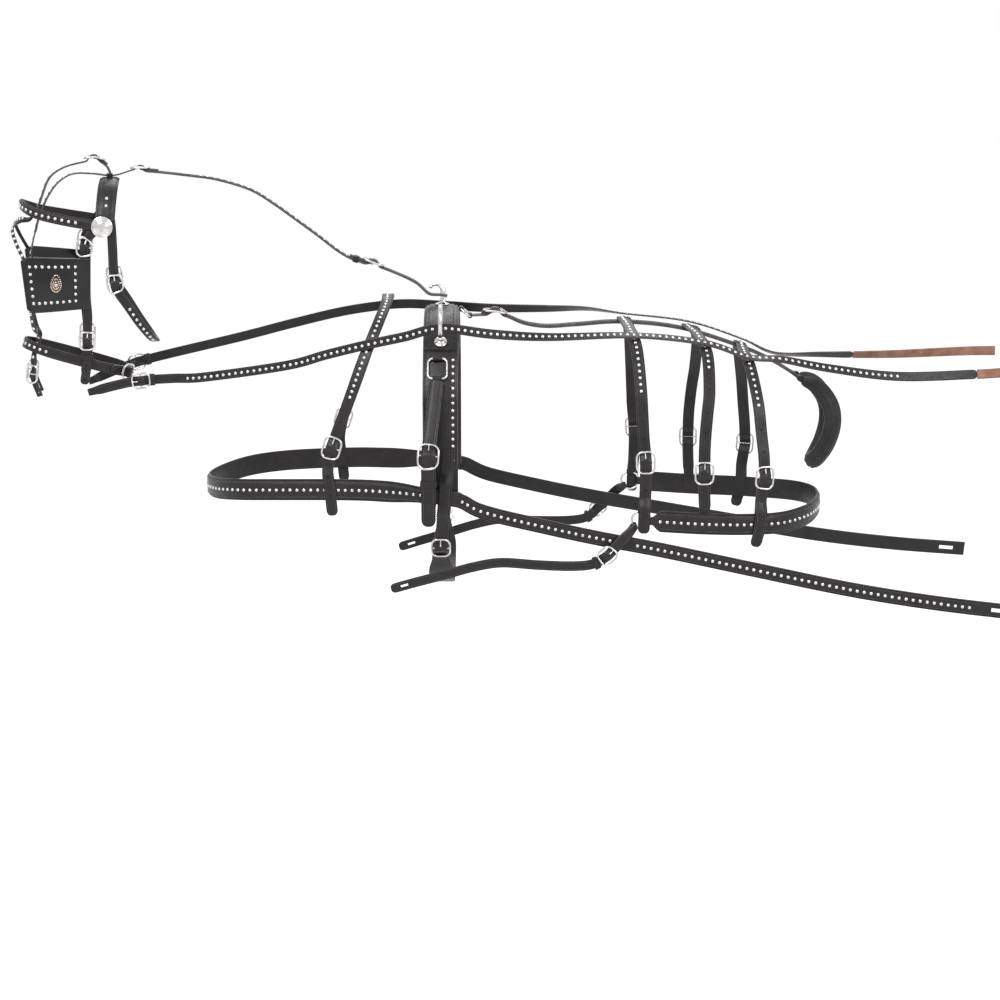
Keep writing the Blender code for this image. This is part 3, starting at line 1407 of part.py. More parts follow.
def back_parts(h, leather):
    line = h.back
    centre = line.nearest(lambda p: abs(p.x - BACK_BUCKLE_SHARE * REAR_LENGTH))
    length = BUCKLE_LENGTH
    _, rear = rear_dee_places(h)
    wrap = sleeve(rear, LEFTWARD, SLEEVE, REAR_DEE_WIDTH / 2)
    cut = bore(rear, LEFTWARD, DEE_WIRE, REAR_DEE_WIDTH)
    tip = centre - length * BACK_TIP_SHARE
    fold = buckled_chape(line, centre, DEE_WIRE, BACK_STRAP_WIDTH * BACK_NARROW_SHARE, BACK_STRAP_THICKNESS,
                         rows=tip_rows(tip, BACK_STRAP_WIDTH / 2, -1))
    joined("back_strap_chape", [*fold, wrap], leather, [cut])
    leave = centre + length * BACK_TIP_SHARE

    def rest(s):
        return (CHAPE_THICKNESS + GAP) * (1 - rise(s, leave, leave + length))
    lift = billet_lift([(centre, length, BACK_STRAP_THICKNESS)], rest)

    def width(s):
        narrow = 1 - (1 - BACK_NARROW_SHARE) * (1 - rise(s, leave, leave + length))
        return tip_width(s, tip, BACK_STRAP_WIDTH * narrow, BACK_STRAP_WIDTH / 2)
    extra = bulge_rows(centre, length) + tip_rows(tip, BACK_STRAP_WIDTH / 2, -1) + [leave, leave + length]
    meshes = [band(line, tip, line.length, width, BACK_STRAP_THICKNESS, lift, extra=extra,
                   shares=RAISED_SHARES)]
    for _, side in SIDES:
        pivot = fork_places(h, side)
        root = line.spot(line.length - FORK_LENGTH / 2, 0, BACK_STRAP_THICKNESS / 2)
        root = root + Vector((0, side * BACK_STRAP_WIDTH * FORK_ROOT_SHARE, 0))
        meshes.append(tube([root, root.lerp(pivot, FORK_BEND_SHARE), pivot], FORK_THICKNESS / 2, flat=UP))
        meshes.append(sleeve(pivot, LEFTWARD, KNUCKLE_RADIUS, DOCK_RADIUS * CHAPE_WIDTH_SHARE, PLATE_SIDES))
    joined("back_strap", meshes, leather)


def crupper_dock(h, finish):
    """A padded roll that hangs from the fork and passes under the tail."""
    near, far = fork_places(h, NEAR), fork_places(h, FAR)
    middle = (near + far) / 2
    reach = DOCK_DEPTH
    _, along, _, _ = h.back.frame(h.back.length)
    start = near + along * (KNUCKLE_RADIUS * DOCK_CLEAR_SHARE + GAP)
    half = [Vector((start.x, -start.y, start.z))]
    for x, y, z in DOCK_SHARES:
        half.append(Vector((middle.x + x * reach, -near.y * y, middle.z + z * reach)))
    centre = middle + Vector((reach * DOCK_CENTRE_SHARES[0], 0, reach * DOCK_CENTRE_SHARES[1]))
    line = Line(mirrored(half), lambda place, along: place - centre, steps=2)
    rings = []
    count = len(line.line)
    sides = 10
    for i in range(count):
        place, along, across, out = line.frame(line.lengths[i])
        t = min(i, count - 1 - i) / (count - 1) * 2
        radius = DOCK_RADIUS * (0.42 + 0.58 * min(1.0, math.sqrt(t * 5)))
        rings.append([
            place + (across * math.cos(a) + out * math.sin(a)) * radius
            for a in (2 * math.pi * k / sides for k in range(sides))
        ])
    return put_object("crupper_dock", skin(rings), finish, middle)


def ring_map(h, side):
    """Maps a breeching ring's own plane to the world."""
    s = 0 if side == NEAR else h.breeching.length
    place, along, across, outward = h.breeching.frame(s)
    centre = place + outward * RING_LIFT
    forward = along if side == NEAR else -along

    def at(u, v, w):
        return centre + forward * u + UP * v + outward * w
    return at


def ring_mesh(h, side, grow=0.0, count=16, sides=5):
    at = ring_map(h, side)
    rings = []
    wire = RING_WIRE / 2 + grow
    for k in range(count):
        a = 2 * math.pi * k / count
        ring = []
        for j in range(sides):
            b = 2 * math.pi * (j + 0.5) / sides
            reach = RING_RADIUS + math.cos(b) * wire
            ring.append(at(math.cos(a) * reach, math.sin(a) * reach, math.sin(b) * wire))
        rings.append(ring)
    return skin(rings, closed=True)


def ring_bore(h, side):
    """A cutter that the ring can turn in."""
    return ring_mesh(h, side, RING_PLAY, 20, 6)


def breeching_ring(h, name, side, finish):
    return put_object(f"breeching_ring_{name}", ring_mesh(h, side), finish, ring_map(h, side)(0, 0, 0))


def ring_sleeve(h, side, angle, width):
    """A sleeve round the ring's wire at an angle from the rearward direction."""
    at = ring_map(h, side)
    a = math.radians(angle)
    centre = at(math.cos(a) * RING_RADIUS, math.sin(a) * RING_RADIUS, 0)
    axis = (at(-math.sin(a), math.cos(a), 0) - at(0, 0, 0)).normalized()
    return sleeve(centre, axis, RING_WIRE / 2 + GAP + SLEEVE_WALL, width)


def hip_places(h, index):
    """Buckle, seat on the breeching and tail end of a hip strap's near side, as lengths."""
    line = h.hips[index]
    buckle_z, end_z = HIP_BUCKLE_SHARES[index]
    centre = line_at_z(line, buckle_z * BODY_DEPTH)
    end = line_at_z(line, end_z * BODY_DEPTH)
    seat = crossing(line, h.breeching)
    return centre, end, seat


def breeching(h, finish):
    """The band round the rump: it holds a ring at each end and the rear hip straps' chapes."""
    line = h.breeching
    start = RING_RADIUS

    narrow = RING_RADIUS * RING_SLEEVE_SHARE

    def width(s):
        away = min(s, line.length - s)
        wide = rise(away, start * RING_END_SHARES[0], start * RING_END_SHARES[-1])
        return narrow + (BREECHING_WIDTH - narrow) * wide
    extra = [start * share for share in RING_END_SHARES]
    extra += [line.length - s for s in extra]
    meshes = [band(line, start, line.length - start, width, BREECHING_THICKNESS, CHAPE_THICKNESS - SEW,
                   extra=extra, shares=RAISED_SHARES)]
    cuts = []
    for _, side in SIDES:
        meshes.append(ring_sleeve(h, side, 0, narrow))
        cuts.append(ring_bore(h, side))
    for index in (1, 2):
        hip = h.hips[index]
        centre, _, seat = hip_places(h, index)
        low = seat - BREECHING_WIDTH * 0.3
        for a, b, tongue in ((centre, low, 1), (hip.length - centre, hip.length - low, -1)):
            meshes += buckled_chape(hip, a, b, HIP_STRAP_WIDTH, HIP_STRAP_THICKNESS, tongue=tongue,
                                    rows=seat_rows(hip, seat, BREECHING_WIDTH * HIP_CLEAR_SHARE))
    return joined("breeching", meshes, finish, cuts, solver="MANIFOLD")


def hip_strap(h, index, finish):
    """Over the back, with its tails through the buckles and over the breeching or the ring."""
    line = h.hips[index]
    centre, end, seat = hip_places(h, index)
    over = CHAPE_THICKNESS - SEW + BREECHING_THICKNESS + 2 * LAY
    if index == 0:
        over = RING_LIFT + RING_WIRE / 2 + GAP + SLEEVE_WALL + LAY
    if index == 1:
        over = CHAPE_THICKNESS + GAP
        end = seat + BREECHING_WIDTH / 2 + 5 * LAY
    mesh = ended_strap(line, centre, end, seat, over, BREECHING_WIDTH * HIP_CLEAR_SHARE, HIP_STRAP_WIDTH,
                       HIP_STRAP_THICKNESS, BUCKLE_LENGTH)
    return put_object(f"hip_strap_{('front', 'middle', 'rear')[index]}", mesh, finish)


def ring_chape(h, name, side, finish):
    """Round the ring's top, with the front hip strap's buckle."""
    line = h.hips[0]
    centre, _, seat = hip_places(h, 0)
    at, low, tongue = centre, seat + RING_RADIUS, 1
    if side == FAR:
        at, low, tongue = line.length - centre, line.length - seat - RING_RADIUS, -1
    meshes = buckled_chape(line, at, low, HIP_STRAP_WIDTH, HIP_STRAP_THICKNESS, tongue=tongue)
    meshes.append(ring_sleeve(h, side, 90, RING_RADIUS * RING_SLEEVE_SHARE))
    return joined(f"ring_chape_{name}", meshes, finish, [ring_bore(h, side)])


def holdback_line(h, side):
    at = ring_map(h, side)
    a = math.radians(HOLDBACK_ANGLE)
    start = at(math.cos(a) * RING_RADIUS, math.sin(a) * RING_RADIUS, 0)
    points = [start] + [body_place(x, side * y, z) for x, y, z in HOLDBACK_SHARES]
    return Line(points, square_to(UP * (-side)))


def holdback(h, name, side, finish):
    """The strap that holds the shaft back: doubled round the ring, buckled to itself, slit at its end."""
    line = holdback_line(h, side)
    centre = HOLDBACK_BUCKLE_AT
    length = SMALL_BUCKLE_LENGTH
    tip = centre + TAIL_LENGTH * 0.75
    radius = RING_WIRE / 2 + GAP + HOLDBACK_THICKNESS / 2
    total = line.length
    meshes = [looped_strap(line, tip, total, HOLDBACK_WIDTH, HOLDBACK_THICKNESS, radius, centre, length,
                           STRAP_STEP, tip_rows(total, HOLDBACK_WIDTH / 2, 1))]
    meshes += buckle_meshes(line, centre, HOLDBACK_WIDTH, HOLDBACK_THICKNESS, HOLDBACK_THICKNESS, length, -1)
    keeper_at = centre + TAIL_LENGTH * 0.55
    reach = HOLDBACK_WIDTH / 4
    meshes.append(block(line, keeper_at - reach, keeper_at + reach, HOLDBACK_WIDTH + 2 * SLEEVE_WALL,
                        -SEW, 2 * HOLDBACK_THICKNESS + GAP + SLEEVE_WALL))
    slit_at = total - TAIL_LENGTH * 0.55
    slit = block(line, slit_at - HOLDBACK_WIDTH * 0.4, slit_at + HOLDBACK_WIDTH * 0.4, HOLDBACK_WIDTH * 0.24,
                 -OVERRUN, OVERRUN * 2)
    return joined(f"holdback_{name}", meshes, finish, [ring_bore(h, side), slit],
                  origin=ring_map(h, side)(0, 0, 0), solver="MANIFOLD")


# Check rein and overcheck


def check_places(h):
    """The rear buckle and the poll buckle, as lengths from the hook."""
    rear = h.check.nearest(lambda p: abs(p.x + REAR_CHECK_SHARE * FRONT_LENGTH))
    poll = h.check.nearest(lambda p: abs(p.x + POLL_BUCKLE_SHARE * FRONT_LENGTH)
                           + (0 if p.z > POLL_HEIGHT / 2 else HEAD_LENGTH))
    return rear, poll


def check_parts(h, leather):
    line = h.check
    rear, poll = check_places(h)
    length = BUCKLE_LENGTH
    rest = CHECK_THICKNESS + GAP
    tip = rear + TAIL_LENGTH
    lift = billet_lift([(rear, length, CHECK_THICKNESS)], rest)

    def flap_width(s):
        swell = rise(s, 0, TAIL_LENGTH) * (1 - rise(s, TAIL_LENGTH, rear - length / 2))
        wide = CHECK_WIDTH * (1 + FLAP_SWELL_SHARE * swell)
        wide = min(wide, tip_width(s, tip, CHECK_WIDTH, CHECK_WIDTH / 2)) if s > rear else wide
        return tip_width(s, 0, wide, CHECK_WIDTH / 2)
    start = -HOOK_WIRE * 2
    tail_rows = stations(rear + length / 2, tip, STRAP_STEP / 2) + tip_rows(tip, CHECK_WIDTH / 2, 1)
    flap = band(Extended(line, start), 0, tip - start, lambda s: flap_width(s + start), CHECK_THICKNESS,
                lambda s: lift(s + start),
                extra=[s - start for s in bulge_rows(rear, length) + tail_rows]
                + [CHECK_THICKNESS * share for share in SEAT_ROW_SHARES] + [TAIL_LENGTH])
    post = h.girth.spot(h.girth_at(NEAR, 0), 0, SEAT_TOP)
    slot = sleeve(Vector((0, 0, post.z + HOOK_HEIGHT / 2)), UP, HOOK_WIRE / 2 + 2 * GAP, HOOK_HEIGHT, 12)
    joined("check_rein_end", [flap], leather, [slot])

    def check_lift(s):
        return (held_rise(CHECK_THICKNESS) * bulge(s, rear, length)
                + held_rise(OVERCHECK_THICKNESS) * bulge(s, poll, SMALL_BUCKLE_LENGTH))
    extra = bulge_rows(rear, length) + bulge_rows(poll, SMALL_BUCKLE_LENGTH) + tail_rows
    meshes = [band(line, rear, poll, CHECK_WIDTH * 0.9, CHECK_THICKNESS, check_lift, extra=extra)]
    meshes += buckle_meshes(line, rear, CHECK_WIDTH, CHECK_THICKNESS, CHECK_THICKNESS)
    meshes += buckle_meshes(line, poll, OVERCHECK_WIDTH, CHECK_THICKNESS, OVERCHECK_THICKNESS,
                            SMALL_BUCKLE_LENGTH)
    joined("check_rein", meshes, leather)


class Extended:
    """A line carried straight on before its start."""

    def __init__(self, line, start):
        self.line = line
        self.start = start

    def spot(self, s, sideways=0.0, out=0.0):
        s += self.start
        if s >= 0:
            return self.line.spot(s, sideways, out)
        _, along, _, _ = self.line.frame(0)
        return self.line.spot(0, sideways, out) + along * s


def bit_end(leg):
    """The buckle at the end of an overcheck leg and the slit strap below it, and the slit."""
    place, along, _, outward = leg.frame(leg.length)
    down = (along + REARWARD * BIT_END_TURN_SHARE).normalized()
    length = SMALL_BUCKLE_LENGTH
    low = place + along * length / 2
    points = [leg.spot(leg.length - TAIL_LENGTH), place, low, low + down * TAIL_LENGTH * BIT_END_SHARE]
    line = Line(points, [outward] * 4)
    centre = line.nearest(lambda p: (p - place).length)
    meshes = [chape(line, centre, line.length, OVERCHECK_WIDTH, OVERCHECK_THICKNESS, OVERCHECK_THICKNESS,
                    length=length)]
    meshes += buckle_meshes(line, centre, OVERCHECK_WIDTH, OVERCHECK_THICKNESS, OVERCHECK_THICKNESS,
                            length, -1)
    slit_at = line.length - OVERCHECK_WIDTH
    slit = block(line, slit_at - OVERCHECK_WIDTH / 2, slit_at + OVERCHECK_WIDTH / 2,
                 OVERCHECK_WIDTH * SLIT_SHARE, -OVERRUN, OVERRUN * 2)
    return meshes, slit


def leg_rows(leg):
    """Rows where a leg goes behind the noseband and comes out below it."""
    rows = [leg.nearest(lambda p: (p - point).length) for point in leg.line[-30:-10:5]]
    return rows + bulge_rows(leg.length, SMALL_BUCKLE_LENGTH)


def leg_lift(leg):
    """A leg's height: it rises to the bar of the buckle that is sewn to its end."""
    high = held_rise(OVERCHECK_THICKNESS)
    return lambda s: GAP / 2 + high * bulge(s, leg.length, SMALL_BUCKLE_LENGTH)


def overcheck(h, finish):
    """From the poll buckle over the crown and down the face, then a leg on each side of the nose."""
    line = h.check
    _, poll = check_places(h)
    tip = poll - TAIL_LENGTH * 0.7
    crown_at = line.nearest(lambda p: (p - h.crown.spot(h.crown.length / 2)).length)

    def rest(s):
        return (CHECK_THICKNESS + GAP) * (1 - rise(s, poll, crown_at - CROWN_WIDTH / 2))
    lift = billet_lift([(poll, SMALL_BUCKLE_LENGTH, OVERCHECK_THICKNESS)], rest)
    extra = bulge_rows(poll, SMALL_BUCKLE_LENGTH) + tip_rows(tip, OVERCHECK_WIDTH / 2, -1)
    extra += [crown_at + share * CROWN_WIDTH for share in (-0.5, -0.25, 0, 0.25, 0.5)]
    meshes = [band(line, tip, line.length, lambda s: tip_width(s, tip, OVERCHECK_WIDTH, OVERCHECK_WIDTH / 2),
                   OVERCHECK_THICKNESS, lift, extra=extra)]
    slits = []
    for _, side in SIDES:
        leg = h.legs[side]
        meshes.append(band(leg, 0, leg.length, OVERCHECK_WIDTH * LEG_THICKNESS_SHARE,
                           OVERCHECK_THICKNESS * CHAPE_WIDTH_SHARE, leg_lift(leg), extra=leg_rows(leg)))
        end, slit = bit_end(leg)
        meshes += end
        slits.append(slit)
    return joined("overcheck", meshes, finish, slits)


# Bridle


def crownpiece(h, finish):
    """Over the poll, with two billets down each side and a loop for the overcheck and stay."""
    line = h.crown
    low = place_on(line, NEAR, CROWN_END_SHARE)
    meshes = [band(line, low, line.length - low, CROWN_WIDTH, CROWN_THICKNESS, 0, shares=RAISED_SHARES)]
    for _, side in SIDES:
        for path, buckle_share, width in ((h.cheeks[side], UPPER_BUCKLE_SHARE, CHEEK_WIDTH),
                                          (throat_side(h, side), THROAT_BUCKLE_SHARE, THROAT_WIDTH)):
            meshes.append(crown_billet(path, buckle_share, width))
    top = line.length / 2
    wall = SLEEVE_WALL
    reach = STAY_WIDTH / 2
    high = CROWN_LOOP_TOP - wall

    half = OVERCHECK_WIDTH / 2 + LAY
    far = top + half
    near = top - half
    meshes.append(block(line, near - wall, far + wall, reach * 2, CROWN_THICKNESS / 2, high + wall))
    stay = h.stay
    centre = stay_buckle_at(h)
    meshes += buckled_chape(stay, centre, 0, STAY_WIDTH, STAY_THICKNESS, SMALL_BUCKLE_LENGTH)
    cut = block(line, near, far, reach * 4, CROWN_THICKNESS + LAY / 4, high)
    return joined("crownpiece", meshes, finish, [cut], solver="MANIFOLD")


class Reversed:
    """A line taken from its other end."""

    def __init__(self, line):
        self.line = line
        self.length = line.length

    def spot(self, s, sideways=0.0, out=0.0):
        return self.line.spot(self.line.length - s, sideways, out)

    def nearest(self, test):
        return self.line.length - self.line.nearest(test)


def throat_side(h, side):
    return h.throat if side == NEAR else Reversed(h.throat)


def wrong_side(place, side):
    """Keeps a search on one side of the head."""
    return HEAD_LENGTH if head_local(place).y * side < 0 else 0


def place_on(path, side, share):
    """Where a line down the side of the head is at a height."""
    return path.nearest(lambda p: abs(head_local(p).z - share * HEAD_LENGTH) + wrong_side(p, side))


def side_of(path):
    place = head_local(path.spot(0))
    return NEAR if place.y < 0 else FAR


def crown_billet(path, buckle_share, width):
    centre = place_on(path, side_of(path), buckle_share)
    length = SMALL_BUCKLE_LENGTH
    end = centre + length * BILLET_TIP_SHARE

    def rest(s):
        end, start = (centre - length * share for share in BILLET_SETTLE_SHARES)
        return (CHAPE_THICKNESS + GAP) * rise(s, start, end)
    lift = billet_lift([(centre, length, CHEEK_THICKNESS)], rest)
    return band(path, 0, end, lambda s: tip_width(s, end, width, width / 2), CHEEK_THICKNESS, lift,
                extra=bulge_rows(centre, length) + billet_tip_rows(centre, width))


def billet_tip_rows(centre, width):
    """Rows of a crownpiece billet's point, which the strap under it has too, so they nest."""
    return tip_rows(centre + SMALL_BUCKLE_LENGTH * BILLET_TIP_SHARE, width / 2, 1)


def cheek_tail_rows(line, lower):
    """Rows that the cheekpiece and the bit carrier under it both have, so they nest."""
    return stations(lower + SMALL_BUCKLE_LENGTH / 2, line.length - CHEEK_WIDTH / 4, STRAP_STEP / 2)


def cheekpiece(h, name, side, finish):
    """From the upper buckle to the lower one, whose billet it is."""
    line = h.cheeks[side]
    upper = place_on(line, side, UPPER_BUCKLE_SHARE)
    lower = place_on(line, side, LOWER_BUCKLE_SHARE)
    end = line.length
    length = SMALL_BUCKLE_LENGTH
    under = place_on(line, side, BLINKER_REAR_SHARES[1])

    def rest(s):
        return (held_rise(CHEEK_THICKNESS) * bulge(s, upper, length)
                + (CHAPE_THICKNESS + GAP) * rise(s, under + length * 0.2, lower - length * 0.6))
    lift = billet_lift([(lower, length, CHEEK_THICKNESS)], rest)
    extra = bulge_rows(upper, length) + bulge_rows(lower, length) + tip_rows(end, CHEEK_WIDTH / 2, 1)
    extra += cheek_tail_rows(line, lower) + billet_tip_rows(upper, CHEEK_WIDTH)
    meshes = [band(line, upper, end, lambda s: tip_width(s, end, CHEEK_WIDTH, CHEEK_WIDTH / 2),
                   CHEEK_THICKNESS, lift, extra=extra)]
    meshes += buckle_meshes(line, upper, CHEEK_WIDTH, CHEEK_THICKNESS, CHEEK_THICKNESS, length, -1)
    return joined(f"cheekpiece_{name}", meshes, finish)


def bit_carrier(h, name, side, finish):
    """The strap under the lower cheek buckle, which would carry a bit ring."""
    line = h.cheeks[side]
    lower = place_on(line, side, LOWER_BUCKLE_SHARE)
    meshes = buckled_chape(line, lower, line.length - CHEEK_WIDTH / 4, CHEEK_WIDTH, CHEEK_THICKNESS,
                           SMALL_BUCKLE_LENGTH, -1, rows=cheek_tail_rows(line, lower))
    return joined(f"bit_carrier_{name}", meshes, finish)


def blinker_facing(side):
    forward, up = BLINKER_FACING_SHARES
    return head_direction((forward, side, up))


def blinker_point(h, side, u, v, w):
    """A place on a blinker: u from the cheek forward, v from the top down, w outward."""
    line = h.cheeks[side]
    top, low = (place_on(line, side, share) for share in BLINKER_REAR_SHARES)
    s = top + (low - top) * v
    out = CHEEK_THICKNESS + GAP
    rear_side = CHEEK_WIDTH / 2 if side == FAR else -CHEEK_WIDTH / 2
    strip = BLINKER_STRIP_SHARE
    if u <= strip:
        return line.spot(s, rear_side * (1 - 2 * u / strip), out + w)
    start = line.spot(s, -rear_side, out)
    x, y, z = (a + (b - a) * v for a, b in zip(*BLINKER_FRONT_SHARES))
    front = head_place(x, side * y, z)
    t = (u - strip) / (1 - strip)
    outward = blinker_facing(side)
    cup = BLINKER_CUP * math.sin(math.pi * t) * (0.5 + 0.5 * math.sin(math.pi * v))
    return start.lerp(front, t) + outward * (cup + w)


def blinker_corner(v, u):
    """Draws the front corners in."""
    reach = min(max((u - BLINKER_CORNER_SHARE) / (1 - BLINKER_CORNER_SHARE), 0.0), 1.0)
    squeeze = 1 - BLINKER_DRAW_SHARE * (1 - math.sqrt(1 - reach * reach * BLINKER_ROUND_SHARE))
    return (1 + (2 * v - 1) * squeeze) / 2


def blinker(h, name, side, finish):
    rings = []
    for u in (0, BLINKER_STRIP_SHARE, *BLINKER_COLUMN_SHARES):
        places = [(u, blinker_corner(v, u)) for v in BLINKER_ROW_SHARES]
        outer = [blinker_point(h, side, *place, BLINKER_THICKNESS) for place in places]
        inner = [blinker_point(h, side, *place, 0) for place in reversed(places)]
        rings.append(outer + inner)
    line = h.cheeks[side]
    top = place_on(line, side, BLINKER_REAR_SHARES[0])
    return put_object(f"blinker_{name}", skin(rings), finish, line.spot(top))


def rosette_frame(h, side):
    line = h.browband
    s = line.nearest(lambda p: abs(head_local(p).x - ROSETTE_SHARE * HEAD_LENGTH) + wrong_side(p, side))
    _, _, _, outward = line.frame(s)
    return line.spot(s, 0, BROWBAND_THICKNESS + LAY), outward


def rosette(h, name, side, finish):
    centre, outward = rosette_frame(h, side)
    u = outward.cross(UP).normalized()
    v = outward.cross(u)
    rings = []
    for reach, high in ROSETTE_PROFILE_SHARES:
        foot = centre + outward * high * ROSETTE_HEIGHT
        radius = ROSETTE_RADIUS * reach
        rings.append([
            foot + (u * math.cos(a) + v * math.sin(a)) * radius
            for a in (2 * math.pi * k / 16 for k in range(16))
        ])
    return put_object(f"rosette_{name}", skin(rings), finish, centre)


def browband(h, finish):
    line = h.browband
    mesh = band(line, 0, line.length, BROWBAND_WIDTH, BROWBAND_THICKNESS, 0, step=SHORT_STEP,
                shares=RAISED_SHARES)
    return put_object("browband", mesh, finish)


def throatlatch(h, finish):
    line = h.throat
    length = SMALL_BUCKLE_LENGTH
    near = place_on(line, NEAR, THROAT_BUCKLE_SHARE)
    far = line.length - near

    def lift(s):
        return held_rise(CHEEK_THICKNESS) * (bulge(s, near, length) + bulge(s, far, length))
    tips = billet_tip_rows(near, THROAT_WIDTH)
    tips += [line.length - s for s in tips]
    meshes = [band(line, near, far, THROAT_WIDTH * 0.95, THROAT_THICKNESS, lift,
                   extra=bulge_rows(near, length) + bulge_rows(far, length) + tips)]
    for at, tongue in ((near, -1), (far, 1)):
        meshes += buckle_meshes(line, at, THROAT_WIDTH, THROAT_THICKNESS, CHEEK_THICKNESS, length, tongue)
    return joined("throatlatch", meshes, finish)


def noseband(h, finish):
    """Round the nose, with its end through the buckle under the jaw."""
    line = h.noseband
    centre = NOSEBAND_BUCKLE_AT
    length = SMALL_BUCKLE_LENGTH
    turn = line.length + centre
    end = turn + TAIL_LENGTH * 0.75

    def lift(s):
        settled, settling = (turn - length * share for share in BILLET_SETTLE_SHARES)
        base = (NOSEBAND_THICKNESS + GAP) * rise(s, settling, settled)
        start = held_rise(NOSEBAND_THICKNESS) * bulge(s, centre, length)
        return base + start + billet_rise(NOSEBAND_THICKNESS) * bulge(s, turn, length)

    def width(s):
        narrow = NOSEBAND_WIDTH * 0.6
        away = min(s - centre, turn - s)
        wide = narrow + (NOSEBAND_WIDTH - narrow) * rise(away, TAIL_LENGTH * 0.8, TAIL_LENGTH * 2.2)
        return min(wide, tip_width(s, end, narrow, narrow / 2))
    extra = bulge_rows(centre, length) + bulge_rows(turn, length) + tip_rows(end, NOSEBAND_WIDTH * 0.3, 1)
    meshes = [band(line, centre, end, width, NOSEBAND_THICKNESS, lift, step=SHORT_STEP, extra=extra)]
    meshes += buckle_meshes(line, centre, NOSEBAND_WIDTH * 0.6, NOSEBAND_THICKNESS, NOSEBAND_THICKNESS,
                            length, -1)
    return joined("noseband", meshes, finish)


def stay_buckle_at(h):
    x, z = STAY_SHARES[STAY_BUCKLE_INDEX]
    return h.stay.nearest(lambda p: (p - head_place(x, 0, z)).length)


def winker_stay(h, finish):
    """From the crown's buckle down the forehead, with a leg to each blinker."""
    line = h.stay
    centre = stay_buckle_at(h)
    length = SMALL_BUCKLE_LENGTH
    tip = centre - TAIL_LENGTH / 2

    def rest(s):
        start, end = (centre + length * share for share in BILLET_SETTLE_SHARES)
        return (CHAPE_THICKNESS + GAP) * (1 - rise(s, start, end))
    lift = billet_lift([(centre, length, STAY_THICKNESS)], rest)
    meshes = [band(line, tip, line.length, lambda s: tip_width(s, tip, STAY_WIDTH, STAY_WIDTH / 2),
                   STAY_THICKNESS, lift,
                   extra=bulge_rows(centre, length) + tip_rows(tip, STAY_WIDTH / 2, -1))]
    for _, side in SIDES:
        end = blinker_point(h, side, *STAY_END_SHARES, BLINKER_THICKNESS + 5 * LAY)
        points = [line.spot(line.length - STAY_WIDTH / 2, 0, STAY_THICKNESS * 0.1)]
        points += [head_place(x, side * y, z) for x, y, z in STAY_LEG_SHARES[:-1]]
        points.append(end)
        forward = head_direction((-1, 0, 0))
        outward = blinker_facing(side)
        turned = [forward.lerp(outward, share) for share in STAY_TURN_SHARES]
        leg = Line(points, [forward, forward, *turned, outward, outward])
        meshes.append(band(leg, 0, leg.length, STAY_WIDTH * STAY_LEG_SHARE,
                           STAY_THICKNESS * LEG_THICKNESS_SHARE, step=SHORT_STEP))
    return joined("winker_stay", meshes, finish)


def bridle_parts(h, leather, patent, metal):
    for piece in (crownpiece, browband, noseband, throatlatch, overcheck, winker_stay):
        piece(h, leather)
    for name, side in SIDES:
        cheekpiece(h, name, side, leather)
        bit_carrier(h, name, side, leather)
        blinker(h, name, side, patent)
        rosette(h, name, side, metal)


# Reins


def rein_line(h, side):
    """From the bit end through the terret and over the hip straps to the hand."""
    near = side == NEAR
    front, back, rear = (
        (NEAR_REIN_FRONT_SHARES, NEAR_REIN_BACK_SHARES, NEAR_REIN_REAR_SHARES) if near else
        (FAR_REIN_FRONT_SHARES, FAR_REIN_BACK_SHARES, FAR_REIN_REAR_SHARES))
    centre = terret_ring_centre(h, side)
    inner = TERRET_RADIUS - TERRET_WIRE / 2 - 3 * LAY
    if near:
        ring = centre - UP * (math.sqrt(inner**2 - (REIN_THICKNESS / 2) ** 2) - REIN_WIDTH / 2)
        ring = ring + LEFTWARD * -REIN_THICKNESS / 2
    else:
        reach = math.sqrt(inner**2 - (REIN_WIDTH / 2) ** 2)
        ring = centre + LEFTWARD * reach
    rests = []
    facings = []
    for hip, share in zip(h.hips, NEAR_REST_SHARES if near else FAR_REST_SHARES):
        s = hip.nearest(lambda p: abs(p.y - side * share * HALF_WIDTH))
        rests.append(hip.spot(s, 0, HIP_STRAP_THICKNESS + 5 * LAY))
        facings.append(hip.frame(s)[3])
    points = [head_place(x, side * y, z) for x, y, z in REIN_HEAD_SHARES[side]]
    points += [front_place(x, side * y, z) for x, y, z in front] + [ring]
    count = len(points)
    points += [body_place(x, side * y, z) for x, y, z in back] + rests
    points += [body_place(x, side * y, z) for x, y, z in rear]
    out = Vector((0, side, 0))
    way = [out] * count + [out.lerp(facings[0], (k + 1) / (len(back) + 1)) for k in range(len(back))]
    way += facings + [facings[-1].lerp(out, (k + 1) / len(rear)) for k in range(len(rear))]
    return Line(points, way)


def rein_parts(h, name, side, black, brown):
    """The rein, doubled and buckled to itself at the bit end, with the hand part sewn under its end."""
    line = rein_line(h, side)
    centre = REIN_BUCKLE_AT
    length = SMALL_BUCKLE_LENGTH
    hand = line.nearest(lambda p: abs(p.x - HANDPART_SHARES[side] * REAR_LENGTH))
    tip = centre + TAIL_LENGTH * 0.6
    meshes = [looped_strap(line, tip, hand, REIN_WIDTH, REIN_THICKNESS, REIN_LOOP_RADIUS, centre, length,
                           LONG_STEP, tip_rows(hand, REIN_WIDTH / 2, 1))]
    meshes += buckle_meshes(line, centre, REIN_WIDTH, REIN_THICKNESS, REIN_THICKNESS, length, -1)
    joined(f"rein_{name}", meshes, black)
    mesh = band(line, hand + GAP, line.length, REIN_WIDTH, REIN_THICKNESS, 0, step=LONG_STEP)
    put_object(f"rein_handpart_{name}", mesh, brown)


